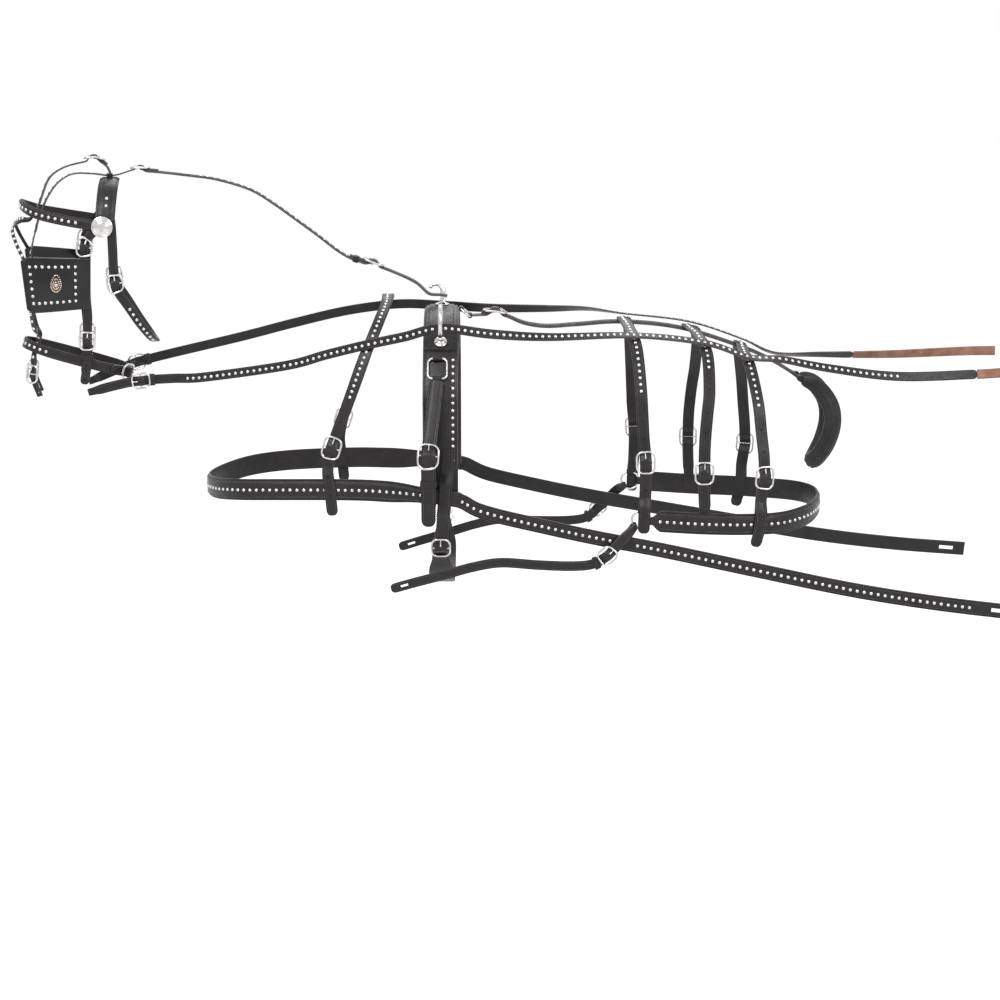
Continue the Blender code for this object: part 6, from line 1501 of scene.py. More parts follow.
def chape(line, centre, end, width, thickness, strap, base=0.0, length=BUCKLE_LENGTH,
          held=True, rows=()):
    """The short strap under a buckle, from its middle bar to the end, raised to the bar."""
    high = held_rise(strap) if held else chape_rise(strap)
    start, last = sorted((centre, end))
    return band(line, start, last, width, thickness, lambda s: base + high * bulge(s, centre, length),
                extra=[*bulge_rows(centre, length), *rows])


def buckled_chape(line, centre, end, width, strap, length=BUCKLE_LENGTH, tongue=1,
                  thickness=CHAPE_THICKNESS, rows=()):
    """A chape with its buckle sewn in."""
    fold = chape(line, centre, end, width * CHAPE_WIDTH_SHARE, thickness, strap, length=length, rows=rows)
    return [fold, *buckle_meshes(line, centre, width, thickness, strap, length, tongue)]


def paired_chapes(line, centre, end, width, strap, rows=()):
    """A buckled chape on each side of a strap that goes over the back or neck."""
    total = line.length
    near = buckled_chape(line, centre, end, width, strap, rows=rows)
    return near + buckled_chape(line, total - centre, total - end, width, strap, tongue=-1, rows=rows)


def block(line, start, end, width, low, high):
    """A closed box along the line, between two heights."""
    return skin([
        [line.spot(s, v * width / 2, w) for v, w in ((-1, low), (1, low), (1, high), (-1, high))]
        for s in (start, end)
    ])


def twin(place):
    """The same place on the other side."""
    return Vector((place.x, -place.y, place.z))


def mirrored(half, closed=False):
    """The points of the near half, with their y turned negative, then the far half."""
    far = [p.copy() for p in reversed(half)]
    return [twin(p) for p in half] + (far[1:-1] if closed else far[1:])


def near_only(place):
    """Keeps a search on the near side."""
    return HALF_WIDTH if place.y > 0 else 0


def line_at_x(line, x):
    return line.nearest(lambda p: abs(p.x - x) + near_only(p))


def line_at_z(line, z):
    return line.nearest(lambda p: abs(p.z - z) + near_only(p))


def crossing(line, other):
    """Where a line passes the other on the near side."""
    return line.nearest(lambda p: near_only(p) + min((p - q).length for q in other.line[::2]))


def girth_line():
    half = [body_place(0, y, z) for y, z in GIRTH_SHARES]
    return Line(mirrored(half, closed=True), square_to(REARWARD), closed=True)


def side_length(line, side, high):
    """Where the girth line is at a height, on one side."""
    return line.nearest(lambda p: abs(p.z - high) + (HALF_WIDTH if p.y * side < 0 else 0))


def draft_line(girth):
    """From the near trace end forward, round the chest and back to the far trace end."""
    outer = SKIRT_THICKNESS + LAY
    seats = []
    for sign, share in zip((1, -1), DRAFT_SEAT_SHARES):
        at = side_length(girth, NEAR, share * BODY_DEPTH)
        seat = girth.spot(at, sign * SADDLE_WIDTH * DRAFT_REACH_SHARE, outer)
        seats.append(Vector((seat.x, -seat.y, share * BODY_DEPTH)))
    rear = [body_place(*share) for share in reversed(TRACE_SHARES)]
    chest = [front_place(*share) for share in reversed(CHEST_SHARES)]
    return Line(mirrored(rear + seats + chest), square_to(UP))


def breeching_line():
    half = [body_place(*share) for share in BREECHING_SHARES]
    return Line(mirrored(half), square_to(-UP))


def back_line():
    points = [Vector((x * REAR_LENGTH, 0, z * BODY_DEPTH)) for x, z in BACK_SHARES]
    return Line(points, square_to(LEFTWARD))


def turned_facing(turn, slope=0.0):
    """Square to a strap that lies flat on a sloping strap at its top and on a band low on each side."""
    def facing(place, along):
        top = 1 - min(abs(place.y) / (HALF_WIDTH * TOP_SHARE), 1.0)
        return Vector((1, -turn * place.y / HALF_WIDTH, slope * top)).cross(along)

    return facing


def slope_of(line, s):
    _, along, _, _ = line.frame(s)
    return along.z / along.x


def turn_of(line, s):
    """How far a level band has turned from straight along, per share of the half width."""
    place, along, _, _ = line.frame(s)
    return -(along.y / along.x) / (place.y / HALF_WIDTH)


def hip_line(back, breeching, top_share, down_shares, low_shares):
    """From the near tail over the back to the far tail."""
    along_back = back.nearest(lambda p: abs(p.x - top_share * REAR_LENGTH))
    top = back.spot(along_back, 0, BACK_STRAP_THICKNESS + 2 * LAY)
    down = [body_place(*share) for share in down_shares]
    cross = line_at_x(breeching, down[-1].x)
    seat = twin(breeching.spot(cross))
    low = Vector((low_shares[0] * REAR_LENGTH, seat.y, low_shares[1] * BODY_DEPTH))
    half = [low, seat, *reversed(down), Vector((top.x, 0, top.z))]
    return Line(mirrored(half), turned_facing(turn_of(breeching, cross), slope_of(back, along_back)))


def neck_line(draft):
    half = [front_place(*share) for share in reversed(NECK_SHARES)]
    cross = line_at_x(draft, half[0].x)
    seat = twin(draft.spot(cross))
    down = seat - half[0]
    tail = seat + down * (TAIL_LENGTH / down.length)
    return Line(mirrored([tail, seat, *half]), turned_facing(turn_of(draft, cross)))


def shaft_line(girth, side):
    """The inside of the loop that holds the shaft, starting at its outer side and going up."""
    seat = girth.spot(side_length(girth, side, DRAFT_SHARE * BODY_DEPTH), 0, SKIRT_THICKNESS + LAY)
    inner = abs(seat.y) + COLLAR_THICKNESS + TRACE_THICKNESS + GAP + LAY + TUG_THICKNESS
    middle = inner + SHAFT_OPENING / 2
    high = SHAFT_LOOP_HEIGHT / 2 - TUG_THICKNESS
    wide = SHAFT_OPENING / 2
    centre = Vector((TUG_PLACE_SHARE * REAR_LENGTH, 0, TUG_HEIGHT_SHARE * BODY_DEPTH))
    points = []
    for u, w in SHAFT_LOOP_SHARES:
        points.append(centre + Vector((0, side * (middle + u * wide), w * high)))
    return Line(points, square_to(REARWARD * -side), closed=True, steps=SHAFT_LOOP_STEPS)


def check_line(crown):
    """From the saddle hook forward over the crest and the poll, down to the forehead."""
    crest = [crest_place(*share) for share in CHECK_SHARES]
    poll = [head_place(x, 0, z) for x, z in POLL_SHARES]
    poll[1] = crown.spot(crown.length / 2, 0, CROWN_THICKNESS + LAY)
    return Line(crest + poll, square_to(-LEFTWARD))


def head_loop(shares, axis, closed=False):
    """A line from the near side to the far side, mirrored about the middle of the head."""
    far = placed(head_place, FAR, reversed(shares))
    points = placed(head_place, NEAR, shares) + (far[1:-1] if closed else far[1:])
    return Line(points, square_to(head_direction(axis)), closed=closed)


def crown_line():
    return head_loop(CROWN_SHARES, (1, 0, 0))


def browband_line():
    return head_loop(BROWBAND_SHARES, (0, 0, 1))


def throat_line():
    return head_loop(THROAT_SHARES, (-1, 0, 0))


def noseband_line():
    return head_loop(NOSEBAND_SHARES, NOSEBAND_AXIS_SHARES, closed=True)


def cheek_line(noseband, side):
    """Down the cheek, over the noseband near its end."""
    points = placed(head_place, side, CHEEK_SHARES)
    cross = points[CHEEK_CROSS_INDEX]
    at = noseband.nearest(lambda p: (p - cross).length)
    points[CHEEK_CROSS_INDEX] = noseband.spot(at, 0, NOSEBAND_THICKNESS + LAY)
    return Line(points, square_to(head_direction((side, 0, 0))))


def leg_line(check, noseband, side):
    """One leg of the overcheck, from the forehead to below the noseband, which lies over it."""
    forward = head_direction((-1, 0, 0))
    points = [check.spot(check.length - OVERCHECK_WIDTH), *placed(head_place, side, LEG_SHARES)]
    last = points[-1]
    at = noseband.nearest(lambda p: (p - last).length)
    _, _, _, outward = noseband.frame(at)
    inner = -OVERCHECK_THICKNESS - 3 * LAY
    for share in LEG_SEAT_SHARES:
        points.append(noseband.spot(at, share * NOSEBAND_WIDTH, inner))
    points.append(points[-1] - UP * NOSEBAND_WIDTH)
    turned = [forward.lerp(outward, share) for share in LEG_TURN_SHARES]
    return Line(points, [forward] * 3 + turned + [outward] * 3)


def bore(centre, axis, wire, width):
    """A cutter for a round hole that a bar turns in."""
    return sleeve(centre, axis, (wire / 2 + GAP) / math.cos(math.pi / BORE_SIDES), width, BORE_SIDES)


def dee_loop(top, low, across, width):
    """A dee between the middles of its two bars, which lie along a direction."""
    middle = (top + low) / 2
    down = (low - top).normalized()
    out = down.cross(across)

    def place(u, v, w):
        return middle + down * u + across * v + out * w

    return wire_loop(place, (low - top).length, width, DEE_WIRE * 2, DEE_WIRE)


class Harness:
    """The lines of every strap, and the places worked out from them."""

    def __init__(self):
        self.girth = girth_line()
        self.draft = draft_line(self.girth)
        self.breeching = breeching_line()
        self.back = back_line()
        self.hips = [hip_line(self.back, self.breeching, *shares) for shares in HIP_SHARES]
        self.neck = neck_line(self.draft)
        self.crown = crown_line()
        self.check = check_line(self.crown)
        self.browband = browband_line()
        self.throat = throat_line()
        self.noseband = noseband_line()
        self.cheeks = {side: cheek_line(self.noseband, side) for _, side in SIDES}
        self.legs = {side: leg_line(self.check, self.noseband, side) for _, side in SIDES}
        self.shafts = {side: shaft_line(self.girth, side) for _, side in SIDES}
        self.stay = stay_line(self.crown)

    def girth_at(self, side, share):
        return side_length(self.girth, side, share * BODY_DEPTH)


def stay_line(crown):
    start = crown.spot(crown.length / 2, 0, CROWN_LOOP_TOP - SLEEVE_WALL / 2 - SEW)
    points = [start] + [head_place(x, 0, z) for x, z in STAY_SHARES]
    return Line(points, square_to(-LEFTWARD))


# Saddle


def saddle_rows(h):
    """Lengths round the girth line that every layer of the saddle has a row at, so they nest."""
    ends = [h.girth_at(side, share) for side in (NEAR, FAR) for share in SADDLE_ROW_SHARES]
    return stations(min(ends), max(ends), FINE_STEP, ends)


def skirt_lift(h):
    def lift(s):
        place = h.girth.spot(s)
        low, high = (share * BODY_DEPTH for share in reversed(SKIRT_DROP_SHARES))
        return SKIRT_LIFT * rise(place.z, low, high)

    return lift


def dee_places(h, side):
    """The middles of a shaft dee's upper and lower bars."""
    upper = h.girth_at(side, DEE_TOP_SHARE)
    lower = h.girth_at(side, DEE_LOW_SHARE)
    top = h.girth.spot(upper, TUG_PLACE_SHARE * REAR_LENGTH / 4, SKIRT_TOP + SLEEVE - SEW)
    low = h.girth.spot(lower, TUG_PLACE_SHARE * REAR_LENGTH / 4, SKIRT_TOP + SLEEVE + GAP + LAY)
    return top, low


def rear_dee_places(h):
    s = h.girth_at(NEAR, 0)
    high = h.girth.spot(s, 0, SKIRT_LIFT + SKIRT_THICKNESS / 2).z
    front = Vector((SADDLE_WIDTH / 2 + SLEEVE - 2 * SEW, 0, high))
    rear = h.back.spot(0, 0, CHAPE_THICKNESS / 2)
    return front, rear


def saddle_skirt(h, finish):
    start = h.girth_at(NEAR, SKIRT_END_SHARE)
    end = h.girth_at(FAR, SKIRT_END_SHARE)
    meshes = [band(h.girth, start, end, SADDLE_WIDTH, SKIRT_THICKNESS, skirt_lift(h), extra=saddle_rows(h))]
    cuts = []
    for side in (NEAR, FAR):
        top, _ = dee_places(h, side)
        meshes.append(sleeve(top, REARWARD, SLEEVE, DEE_WIDTH / 2))
        cuts.append(bore(top, REARWARD, DEE_WIRE, DEE_WIDTH))
    front, _ = rear_dee_places(h)
    meshes.append(sleeve(front, LEFTWARD, SLEEVE, REAR_DEE_WIDTH / 2))
    cuts.append(bore(front, LEFTWARD, DEE_WIRE, REAR_DEE_WIDTH))
    joined("saddle_skirt", meshes, finish, cuts)


def saddle_seat(h, finish):
    start = h.girth_at(NEAR, SEAT_END_SHARE)
    end = h.girth_at(FAR, SEAT_END_SHARE)
    mesh = band(h.girth, start, end, SADDLE_WIDTH * CHAPE_WIDTH_SHARE, SEAT_THICKNESS, SEAT_LIFT,
                shares=RAISED_SHARES)
    joined("saddle_seat", [mesh], finish)


def shaft_dee(h, name, side, finish):
    top, low = dee_places(h, side)
    joined(f"shaft_dee_{name}", [dee_loop(top, low, REARWARD, DEE_WIDTH)], finish)


def rear_dee(h, finish):
    front, rear = rear_dee_places(h)
    joined("rear_dee", [dee_loop(front, rear, LEFTWARD, REAR_DEE_WIDTH)], finish)


def terret_frame(h, side):
    """A terret's foot on the seat, and the direction of its stem."""
    s = h.girth_at(side, TERRET_SHARE)
    foot = h.girth.spot(s, 0, SEAT_TOP)
    _, _, _, outward = h.girth.frame(s)
    return foot, outward, (outward + UP * TERRET_UPRIGHT).normalized()


def terret_ring_centre(h, side):
    foot, _, lean = terret_frame(h, side)
    return foot + lean * (TERRET_STEM + TERRET_RADIUS)


def girth_billet(h, name, side, finish):
    """Hangs from the skirt over the trace and through the girth buckle."""
    top = h.girth_at(side, BILLET_TOP_SHARE)
    centre = h.girth_at(side, GIRTH_BUCKLE_SHARE)
    trace = h.girth_at(side, DRAFT_SHARE)
    end = centre - (1 if side == NEAR else -1) * TAIL_LENGTH
    sign = 1 if top > centre else -1
    on_skirt = SKIRT_THICKNESS + GAP
    over = SKIRT_THICKNESS + LAY + DRAFT_TOP + 2 * LAY
    beside = TRACE_WIDTH / 2 + OVERRUN

    def rest(s):
        away = abs(s - trace)
        low = on_skirt if (s - trace) * sign > 0 else ON_CHAPE
        return over + (low - over) * rise(away, beside, beside + BILLET_STEP)

    def aside(s):
        t = min(max((s - end) / (top - end), 0), 1)
        return BILLET_WIDTH * (BILLET_ASIDE_SHARES[0] + BILLET_ASIDE_SHARES[1] * t)

    lift = billet_lift([(centre, BUCKLE_LENGTH, BILLET_THICKNESS)], rest)
    extra = bulge_rows(centre, BUCKLE_LENGTH)
    extra += [trace + k * (beside + BILLET_STEP * share) for k in (-1, 1) for share in STEP_ROW_SHARES]
    extra += tip_rows(end, BILLET_WIDTH / 2, -sign)
    low, high = sorted((end, top))
    mesh = band(h.girth, low, high, pointed(end, BILLET_WIDTH),
                BILLET_THICKNESS, lift, extra=extra, sideways=aside)
    joined(f"girth_billet_{name}", [mesh], finish)
    return centre, aside(centre)


def girth_parts(h, leather):
    """The two girth straps, and the belly band with a buckle at each end."""
    centres = {}
    for name, side in SIDES:
        centres[side] = girth_billet(h, name, side, leather)
    near, far = centres[NEAR][0], centres[FAR][0] - h.girth.length
    aside = centres[NEAR][1]

    def lift(s):
        return held_rise(BILLET_THICKNESS) * (bulge(s, near, BUCKLE_LENGTH) + bulge(s, far, BUCKLE_LENGTH))

    def width(s):
        taper = TAIL_LENGTH * GIRTH_TAPER_SHARE
        t = min(rise(s, far, far + taper), 1 - rise(s, near - taper, near))
        narrow = BILLET_WIDTH * CHAPE_WIDTH_SHARE
        return narrow + (GIRTH_WIDTH - narrow) * t

    extra = bulge_rows(near, BUCKLE_LENGTH) + bulge_rows(far, BUCKLE_LENGTH)
    meshes = [band(h.girth, far, near, width, CHAPE_THICKNESS, lift, extra=extra, sideways=aside)]
    for at, tongue in ((near, 1), (far, -1)):
        meshes += buckle_meshes(h.girth, at, BILLET_WIDTH, CHAPE_THICKNESS, BILLET_THICKNESS, tongue=tongue,
                                sideways=aside)
    joined("girth", meshes, leather)


def tug_line(h, side):
    """From the dee's lower bar down the outer side of the shaft loop."""
    _, low = dee_places(h, side)
    loop = h.shafts[side]
    rest = ON_CHAPE + TUG_THICKNESS / 2
    on_loop = [loop.spot(loop.length * share, 0, TUG_THICKNESS) for share in TUG_LOOP_SHARES]
    start = Vector((low.x, low.y - side * rest, low.z))
    shoulder = on_loop[0] + UP * BUCKLE_LENGTH * TUG_SHOULDER_SHARE + LEFTWARD * side * LAY
    middle = start.lerp(shoulder, 0.5)
    tail = on_loop[-1] - UP * TAIL_LENGTH * TUG_TAIL_SHARE
    return Line([start, middle, shoulder, *on_loop, tail], square_to(REARWARD * side))


def shaft_parts(h, name, side, leather, metal):
    """The strap from the dee, the loop for the shaft, their buckle and keeper."""
    line = tug_line(h, side)
    loop = h.shafts[side]
    centre = line.nearest(lambda p: abs(p.z - TUG_BUCKLE_SHARE * BODY_DEPTH))
    end = line.length
    rest = ON_CHAPE
    lift = billet_lift([(centre, BUCKLE_LENGTH, TUG_THICKNESS)], rest)
    narrow = DEE_WIDTH / 2

    def width(s):
        wide = narrow + (TUG_WIDTH - narrow) * rise(s, SLEEVE, 2 * SLEEVE)
        return tip_width(s, end, wide, TUG_WIDTH / 2)

    extra = [SLEEVE, 2 * SLEEVE] + bulge_rows(centre, BUCKLE_LENGTH) + tip_rows(end, TUG_WIDTH / 2, 1)
    strap = band(line, 0, end, width, TUG_THICKNESS, lift, shares=RAISED_SHARES, extra=extra)
    _, low = dee_places(h, side)
    wrap = sleeve(low, REARWARD, SLEEVE + GAP, DEE_WIDTH / 2)
    hole = bore(low, REARWARD, DEE_WIRE, DEE_WIDTH)
    joined(f"tug_strap_{name}", [strap, wrap], leather, [hole])
    meshes = buckle_meshes(line, centre, TUG_WIDTH, CHAPE_THICKNESS, TUG_THICKNESS, tongue=-1)
    joined(f"tug_buckle_{name}", meshes, metal)
    hoop = band(loop, 0, loop.length, TUG_WIDTH, TUG_THICKNESS, 0, ring=True)
    fold = chape(line, centre, centre + BUCKLE_LENGTH * CHAPE_WIDTH_SHARE, TUG_WIDTH * CHAPE_WIDTH_SHARE,
                 CHAPE_THICKNESS + SEW, TUG_THICKNESS, base=-SEW, held=False)
    joined(f"shaft_loop_{name}", [hoop, fold], leather)
    keeper_at = line.nearest(lambda p: abs(p.z - TUG_KEEPER_SHARE * BODY_DEPTH))
    keeper(f"tug_keeper_{name}", line, keeper_at, TUG_WIDTH, -TUG_THICKNESS - GAP,
           rest + TUG_THICKNESS + GAP, leather)


# Collar, neck strap and traces


def collar_lift(h):
    """Flat on the skirt, and over the neck strap's chapes from there to the chest."""
    middle = h.draft.length / 2
    cross = crossing(h.draft, h.neck)
    low, high = (cross - COLLAR_WIDTH * share for share in COLLAR_RISE_SHARES)

    def lift(s):
        away = middle - abs(s - middle)
        return SEWN_ON_CHAPE * rise(away, low, high)

    return lift


def breast_collar(h, finish):
    """The band round the chest, with a chape up to each neck strap buckle."""
    start = line_at_x(h.draft, LAP_SHARE * REAR_LENGTH)
    end = h.draft.length - start
    middle = h.draft.length / 2

    def width(s):
        away = middle - abs(s - middle)
        wide = rise(away, start + TAIL_LENGTH, start + TAIL_LENGTH * COLLAR_SPREAD_SHARE)
        return TRACE_WIDTH + (COLLAR_WIDTH - TRACE_WIDTH) * wide

    meshes = [band(h.draft, start, end, width, COLLAR_THICKNESS, collar_lift(h), shares=RAISED_SHARES)]
    centre = line_at_z(h.neck, NECK_BUCKLE_SHARE * BODY_DEPTH)
    seat = crossing(h.neck, h.draft) - COLLAR_WIDTH * COLLAR_SEAT_SHARE
    meshes += paired_chapes(h.neck, centre, seat, NECK_STRAP_WIDTH, NECK_STRAP_THICKNESS)
    joined("breast_collar", meshes, finish)


def ended_lift(line, buckles, seat, over, under, clear):
    """A billet's height on a strap that is buckled at both ends and passes over a band at its tails."""
    centre, length, _ = buckles[0]
    start, end = (centre + length * share for share in TAIL_SETTLE_SHARES)

    def rest(s):
        away = min(s, line.length - s)
        low = under * (1 - rise(away, start, end))
        return over + (low - over) * rise(away, seat + clear, seat + clear * 2)

    return billet_lift(buckles, rest)


def seat_rows(line, seat, clear):
    """Rows where a strap climbs over a band on each side, which the chapes under it have too."""
    near = [seat + clear * share for share in SEAT_ROW_SHARES]
    return near + [line.length - s for s in near]


def ended_strap(line, centre, end, seat, over, clear, width, thickness, length):
    """A strap over the back or neck with a buckle near each end and its tails over a band."""
    far = line.length - centre
    buckles = [(centre, length, thickness), (far, length, thickness)]
    lift = ended_lift(line, buckles, seat, over, ON_CHAPE, clear)
    last = line.length - end

    def tip(s):
        return tip_width(min(s, line.length - s), end, width, width / 2)

    extra = bulge_rows(centre, length) + bulge_rows(far, length)
    extra += tip_rows(end, width / 2, -1) + tip_rows(last, width / 2, 1)
    extra += seat_rows(line, seat, clear)
    return band(line, end, last, tip, thickness, lift, extra=extra)


def neck_strap(h, finish):
    centre = line_at_z(h.neck, NECK_BUCKLE_SHARE * BODY_DEPTH)
    seat = crossing(h.neck, h.draft)
    over = SEWN_ON_CHAPE + COLLAR_THICKNESS + LAY
    mesh = ended_strap(h.neck, centre, 0, seat, over, COLLAR_WIDTH * NECK_CLEAR_SHARE, NECK_STRAP_WIDTH,
                       NECK_STRAP_THICKNESS, BUCKLE_LENGTH)
    joined("neck_strap", [mesh], finish)


def trace(h, name, side, finish):
    """Sewn over the collar's end behind the shaft strap, and back to a slotted end."""
    lap = line_at_x(h.draft, -LAP_SHARE * REAR_LENGTH)
    leave = line_at_x(h.draft, LAP_END_SHARE * REAR_LENGTH)
    clear = line_at_x(h.draft, LAP_END_SHARE * REAR_LENGTH * LAP_CLEAR_SHARE)
    total = h.draft.length

    def lift(s):
        away = s if side == NEAR else total - s
        return LAP_LIFT * rise(away, clear, leave)

    low, high = (0, lap) if side == NEAR else (total - lap, total)
    extra = [leave, clear, (leave + clear) / 2]
    extra = extra if side == NEAR else [total - s for s in extra]
    mesh = band(h.draft, low, high, TRACE_WIDTH, TRACE_THICKNESS, lift, extra=extra)
    slot_at = SLOT_AT if side == NEAR else total - SLOT_AT
    reach = TRACE_WIDTH * SLOT_REACH_SHARE
    slot = block(h.draft, slot_at - reach, slot_at + reach, TRACE_WIDTH * SLOT_WIDTH_SHARE,
                 -TRACE_THICKNESS, TRACE_THICKNESS * 2)
    joined(f"trace_{name}", [mesh], finish, [slot])


# Back strap, hip straps, breeching and crupper


def fork_place(h, side):
    """The crupper dock's pivot on one side of the back strap's end."""
    place, along, _, _ = h.back.frame(h.back.length)
    return place + along * FORK_LENGTH + Vector((0, side * DOCK_SPREAD, BACK_STRAP_THICKNESS / 2))


def back_parts(h, leather):
    line = h.back
    centre = line.nearest(lambda p: abs(p.x - BACK_BUCKLE_SHARE * REAR_LENGTH))
    length = BUCKLE_LENGTH
    _, rear = rear_dee_places(h)
    wrap = sleeve(rear, LEFTWARD, SLEEVE, REAR_DEE_WIDTH / 2)
    hole = bore(rear, LEFTWARD, DEE_WIRE, REAR_DEE_WIDTH)
    tip = centre - length * BACK_TIP_SHARE
    fold = buckled_chape(line, centre, DEE_WIRE, BACK_STRAP_WIDTH * BACK_NARROW_SHARE, BACK_STRAP_THICKNESS,
                         rows=tip_rows(tip, BACK_STRAP_WIDTH / 2, -1))
    joined("back_strap_chape", [*fold, wrap], leather, [hole])
    leave = centre + length * BACK_TIP_SHARE

    def rest(s):
        return ON_CHAPE * (1 - rise(s, leave, leave + length))

    lift = billet_lift([(centre, length, BACK_STRAP_THICKNESS)], rest)

    def width(s):
        narrow = 1 - (1 - BACK_NARROW_SHARE) * (1 - rise(s, leave, leave + length))
        return tip_width(s, tip, BACK_STRAP_WIDTH * narrow, BACK_STRAP_WIDTH / 2)

    extra = bulge_rows(centre, length) + tip_rows(tip, BACK_STRAP_WIDTH / 2, -1) + [leave, leave + length]
    meshes = [band(line, tip, line.length, width, BACK_STRAP_THICKNESS, lift, extra=extra,
                   shares=RAISED_SHARES)]
    for _, side in SIDES:
        pivot = fork_place(h, side)
        root = line.spot(line.length - FORK_LENGTH / 2, 0, BACK_STRAP_THICKNESS / 2)
        root = root + Vector((0, side * BACK_STRAP_WIDTH * FORK_ROOT_SHARE, 0))
        meshes.append(tube([root, root.lerp(pivot, FORK_BEND_SHARE), pivot], FORK_THICKNESS / 2, UP))
        meshes.append(sleeve(pivot, LEFTWARD, KNUCKLE_RADIUS, DOCK_RADIUS * CHAPE_WIDTH_SHARE, PLATE_SIDES))
    joined("back_strap", meshes, leather)


def ring_map(h, side):
    """Maps a breeching ring's own plane to the world."""
    s = 0 if side == NEAR else h.breeching.length
    place, along, _, outward = h.breeching.frame(s)
    centre = place + outward * RING_LIFT
    forward = along if side == NEAR else -along

    def at(u, v, w):
        return centre + forward * u + UP * v + outward * w

    return at


def ring_bore(h, side):
    """A cutter that the ring can turn in."""
    return ring_mesh(h, side, RING_PLAY, *RING_BORE_SIDES)


def breeching_ring(h, name, side, finish):
    joined(f"breeching_ring_{name}", [ring_mesh(h, side)], finish)


def ring_sleeve(h, side, angle, width):
    """A sleeve round the ring's wire at an angle from the rearward direction."""
    at = ring_map(h, side)
    a = math.radians(angle)
    centre = at(math.cos(a) * RING_RADIUS, math.sin(a) * RING_RADIUS, 0)
    axis = (at(-math.sin(a), math.cos(a), 0) - at(0, 0, 0)).normalized()
    return sleeve(centre, axis, RING_WIRE / 2 + GAP + SLEEVE_WALL, width)


def hip_places(h, index):
    """Buckle, seat on the breeching and tail end of a hip strap's near side, as lengths."""
    line = h.hips[index]
    buckle_z, end_z = HIP_BUCKLE_SHARES[index]
    centre = line_at_z(line, buckle_z * BODY_DEPTH)
    end = line_at_z(line, end_z * BODY_DEPTH)
    seat = crossing(line, h.breeching)
    return centre, end, seat


def breeching(h, finish):
    """The band round the rump: it holds a ring at each end and the rear hip straps' chapes."""
    line = h.breeching
    start = RING_RADIUS
    narrow = RING_RADIUS * RING_SLEEVE_SHARE

    def width(s):
        away = min(s, line.length - s)
        wide = rise(away, start * RING_END_SHARES[0], start * RING_END_SHARES[-1])
        return narrow + (BREECHING_WIDTH - narrow) * wide

    extra = [start * share for share in RING_END_SHARES]
    extra += [line.length - s for s in extra]
    meshes = [band(line, start, line.length - start, width, BREECHING_THICKNESS, SEWN_ON_CHAPE,
                   extra=extra, shares=RAISED_SHARES)]
    cuts = []
    for _, side in SIDES:
        meshes.append(ring_sleeve(h, side, 0, narrow))
        cuts.append(ring_bore(h, side))
    for index in (1, 2):
        hip = h.hips[index]
        centre, _, seat = hip_places(h, index)
        rows = seat_rows(hip, seat, BREECHING_WIDTH * HIP_CLEAR_SHARE)
        meshes += paired_chapes(hip, centre, seat - BREECHING_WIDTH * BREECHING_SEAT_SHARE,
                                HIP_STRAP_WIDTH, HIP_STRAP_THICKNESS, rows)
    joined("breeching", meshes, finish, cuts)


def hip_strap(h, index, finish):
    """Over the back, with its tails through the buckles and over the breeching or the ring."""
    line = h.hips[index]
    centre, end, seat = hip_places(h, index)
    over = SEWN_ON_CHAPE + BREECHING_THICKNESS + 2 * LAY
    if index == 0:
        over = RING_LIFT + RING_WIRE / 2 + GAP + SLEEVE_WALL + LAY
    if index == 1:
        over = ON_CHAPE
        end = seat + BREECHING_WIDTH / 2 + CROSS_LAY
    mesh = ended_strap(line, centre, end, seat, over, BREECHING_WIDTH * HIP_CLEAR_SHARE, HIP_STRAP_WIDTH,
                       HIP_STRAP_THICKNESS, BUCKLE_LENGTH)
    joined(f"hip_strap_{HIP_NAMES[index]}", [mesh], finish)


def ring_chape(h, name, side, finish):
    """Round the ring's top, with the front hip strap's buckle."""
    line = h.hips[0]
    centre, _, seat = hip_places(h, 0)
    at, low, tongue = centre, seat + RING_RADIUS, 1
    if side == FAR:
        at, low, tongue = line.length - centre, line.length - seat - RING_RADIUS, -1
    meshes = buckled_chape(line, at, low, HIP_STRAP_WIDTH, HIP_STRAP_THICKNESS, tongue=tongue)
    meshes.append(ring_sleeve(h, side, RING_CHAPE_ANGLE, RING_RADIUS * RING_SLEEVE_SHARE))
    joined(f"ring_chape_{name}", meshes, finish, [ring_bore(h, side)])


def holdback_line(h, side):
    at = ring_map(h, side)
    a = math.radians(HOLDBACK_ANGLE)
    start = at(math.cos(a) * RING_RADIUS, math.sin(a) * RING_RADIUS, 0)
    return Line([start, *placed(body_place, side, HOLDBACK_SHARES)], square_to(UP * -side))


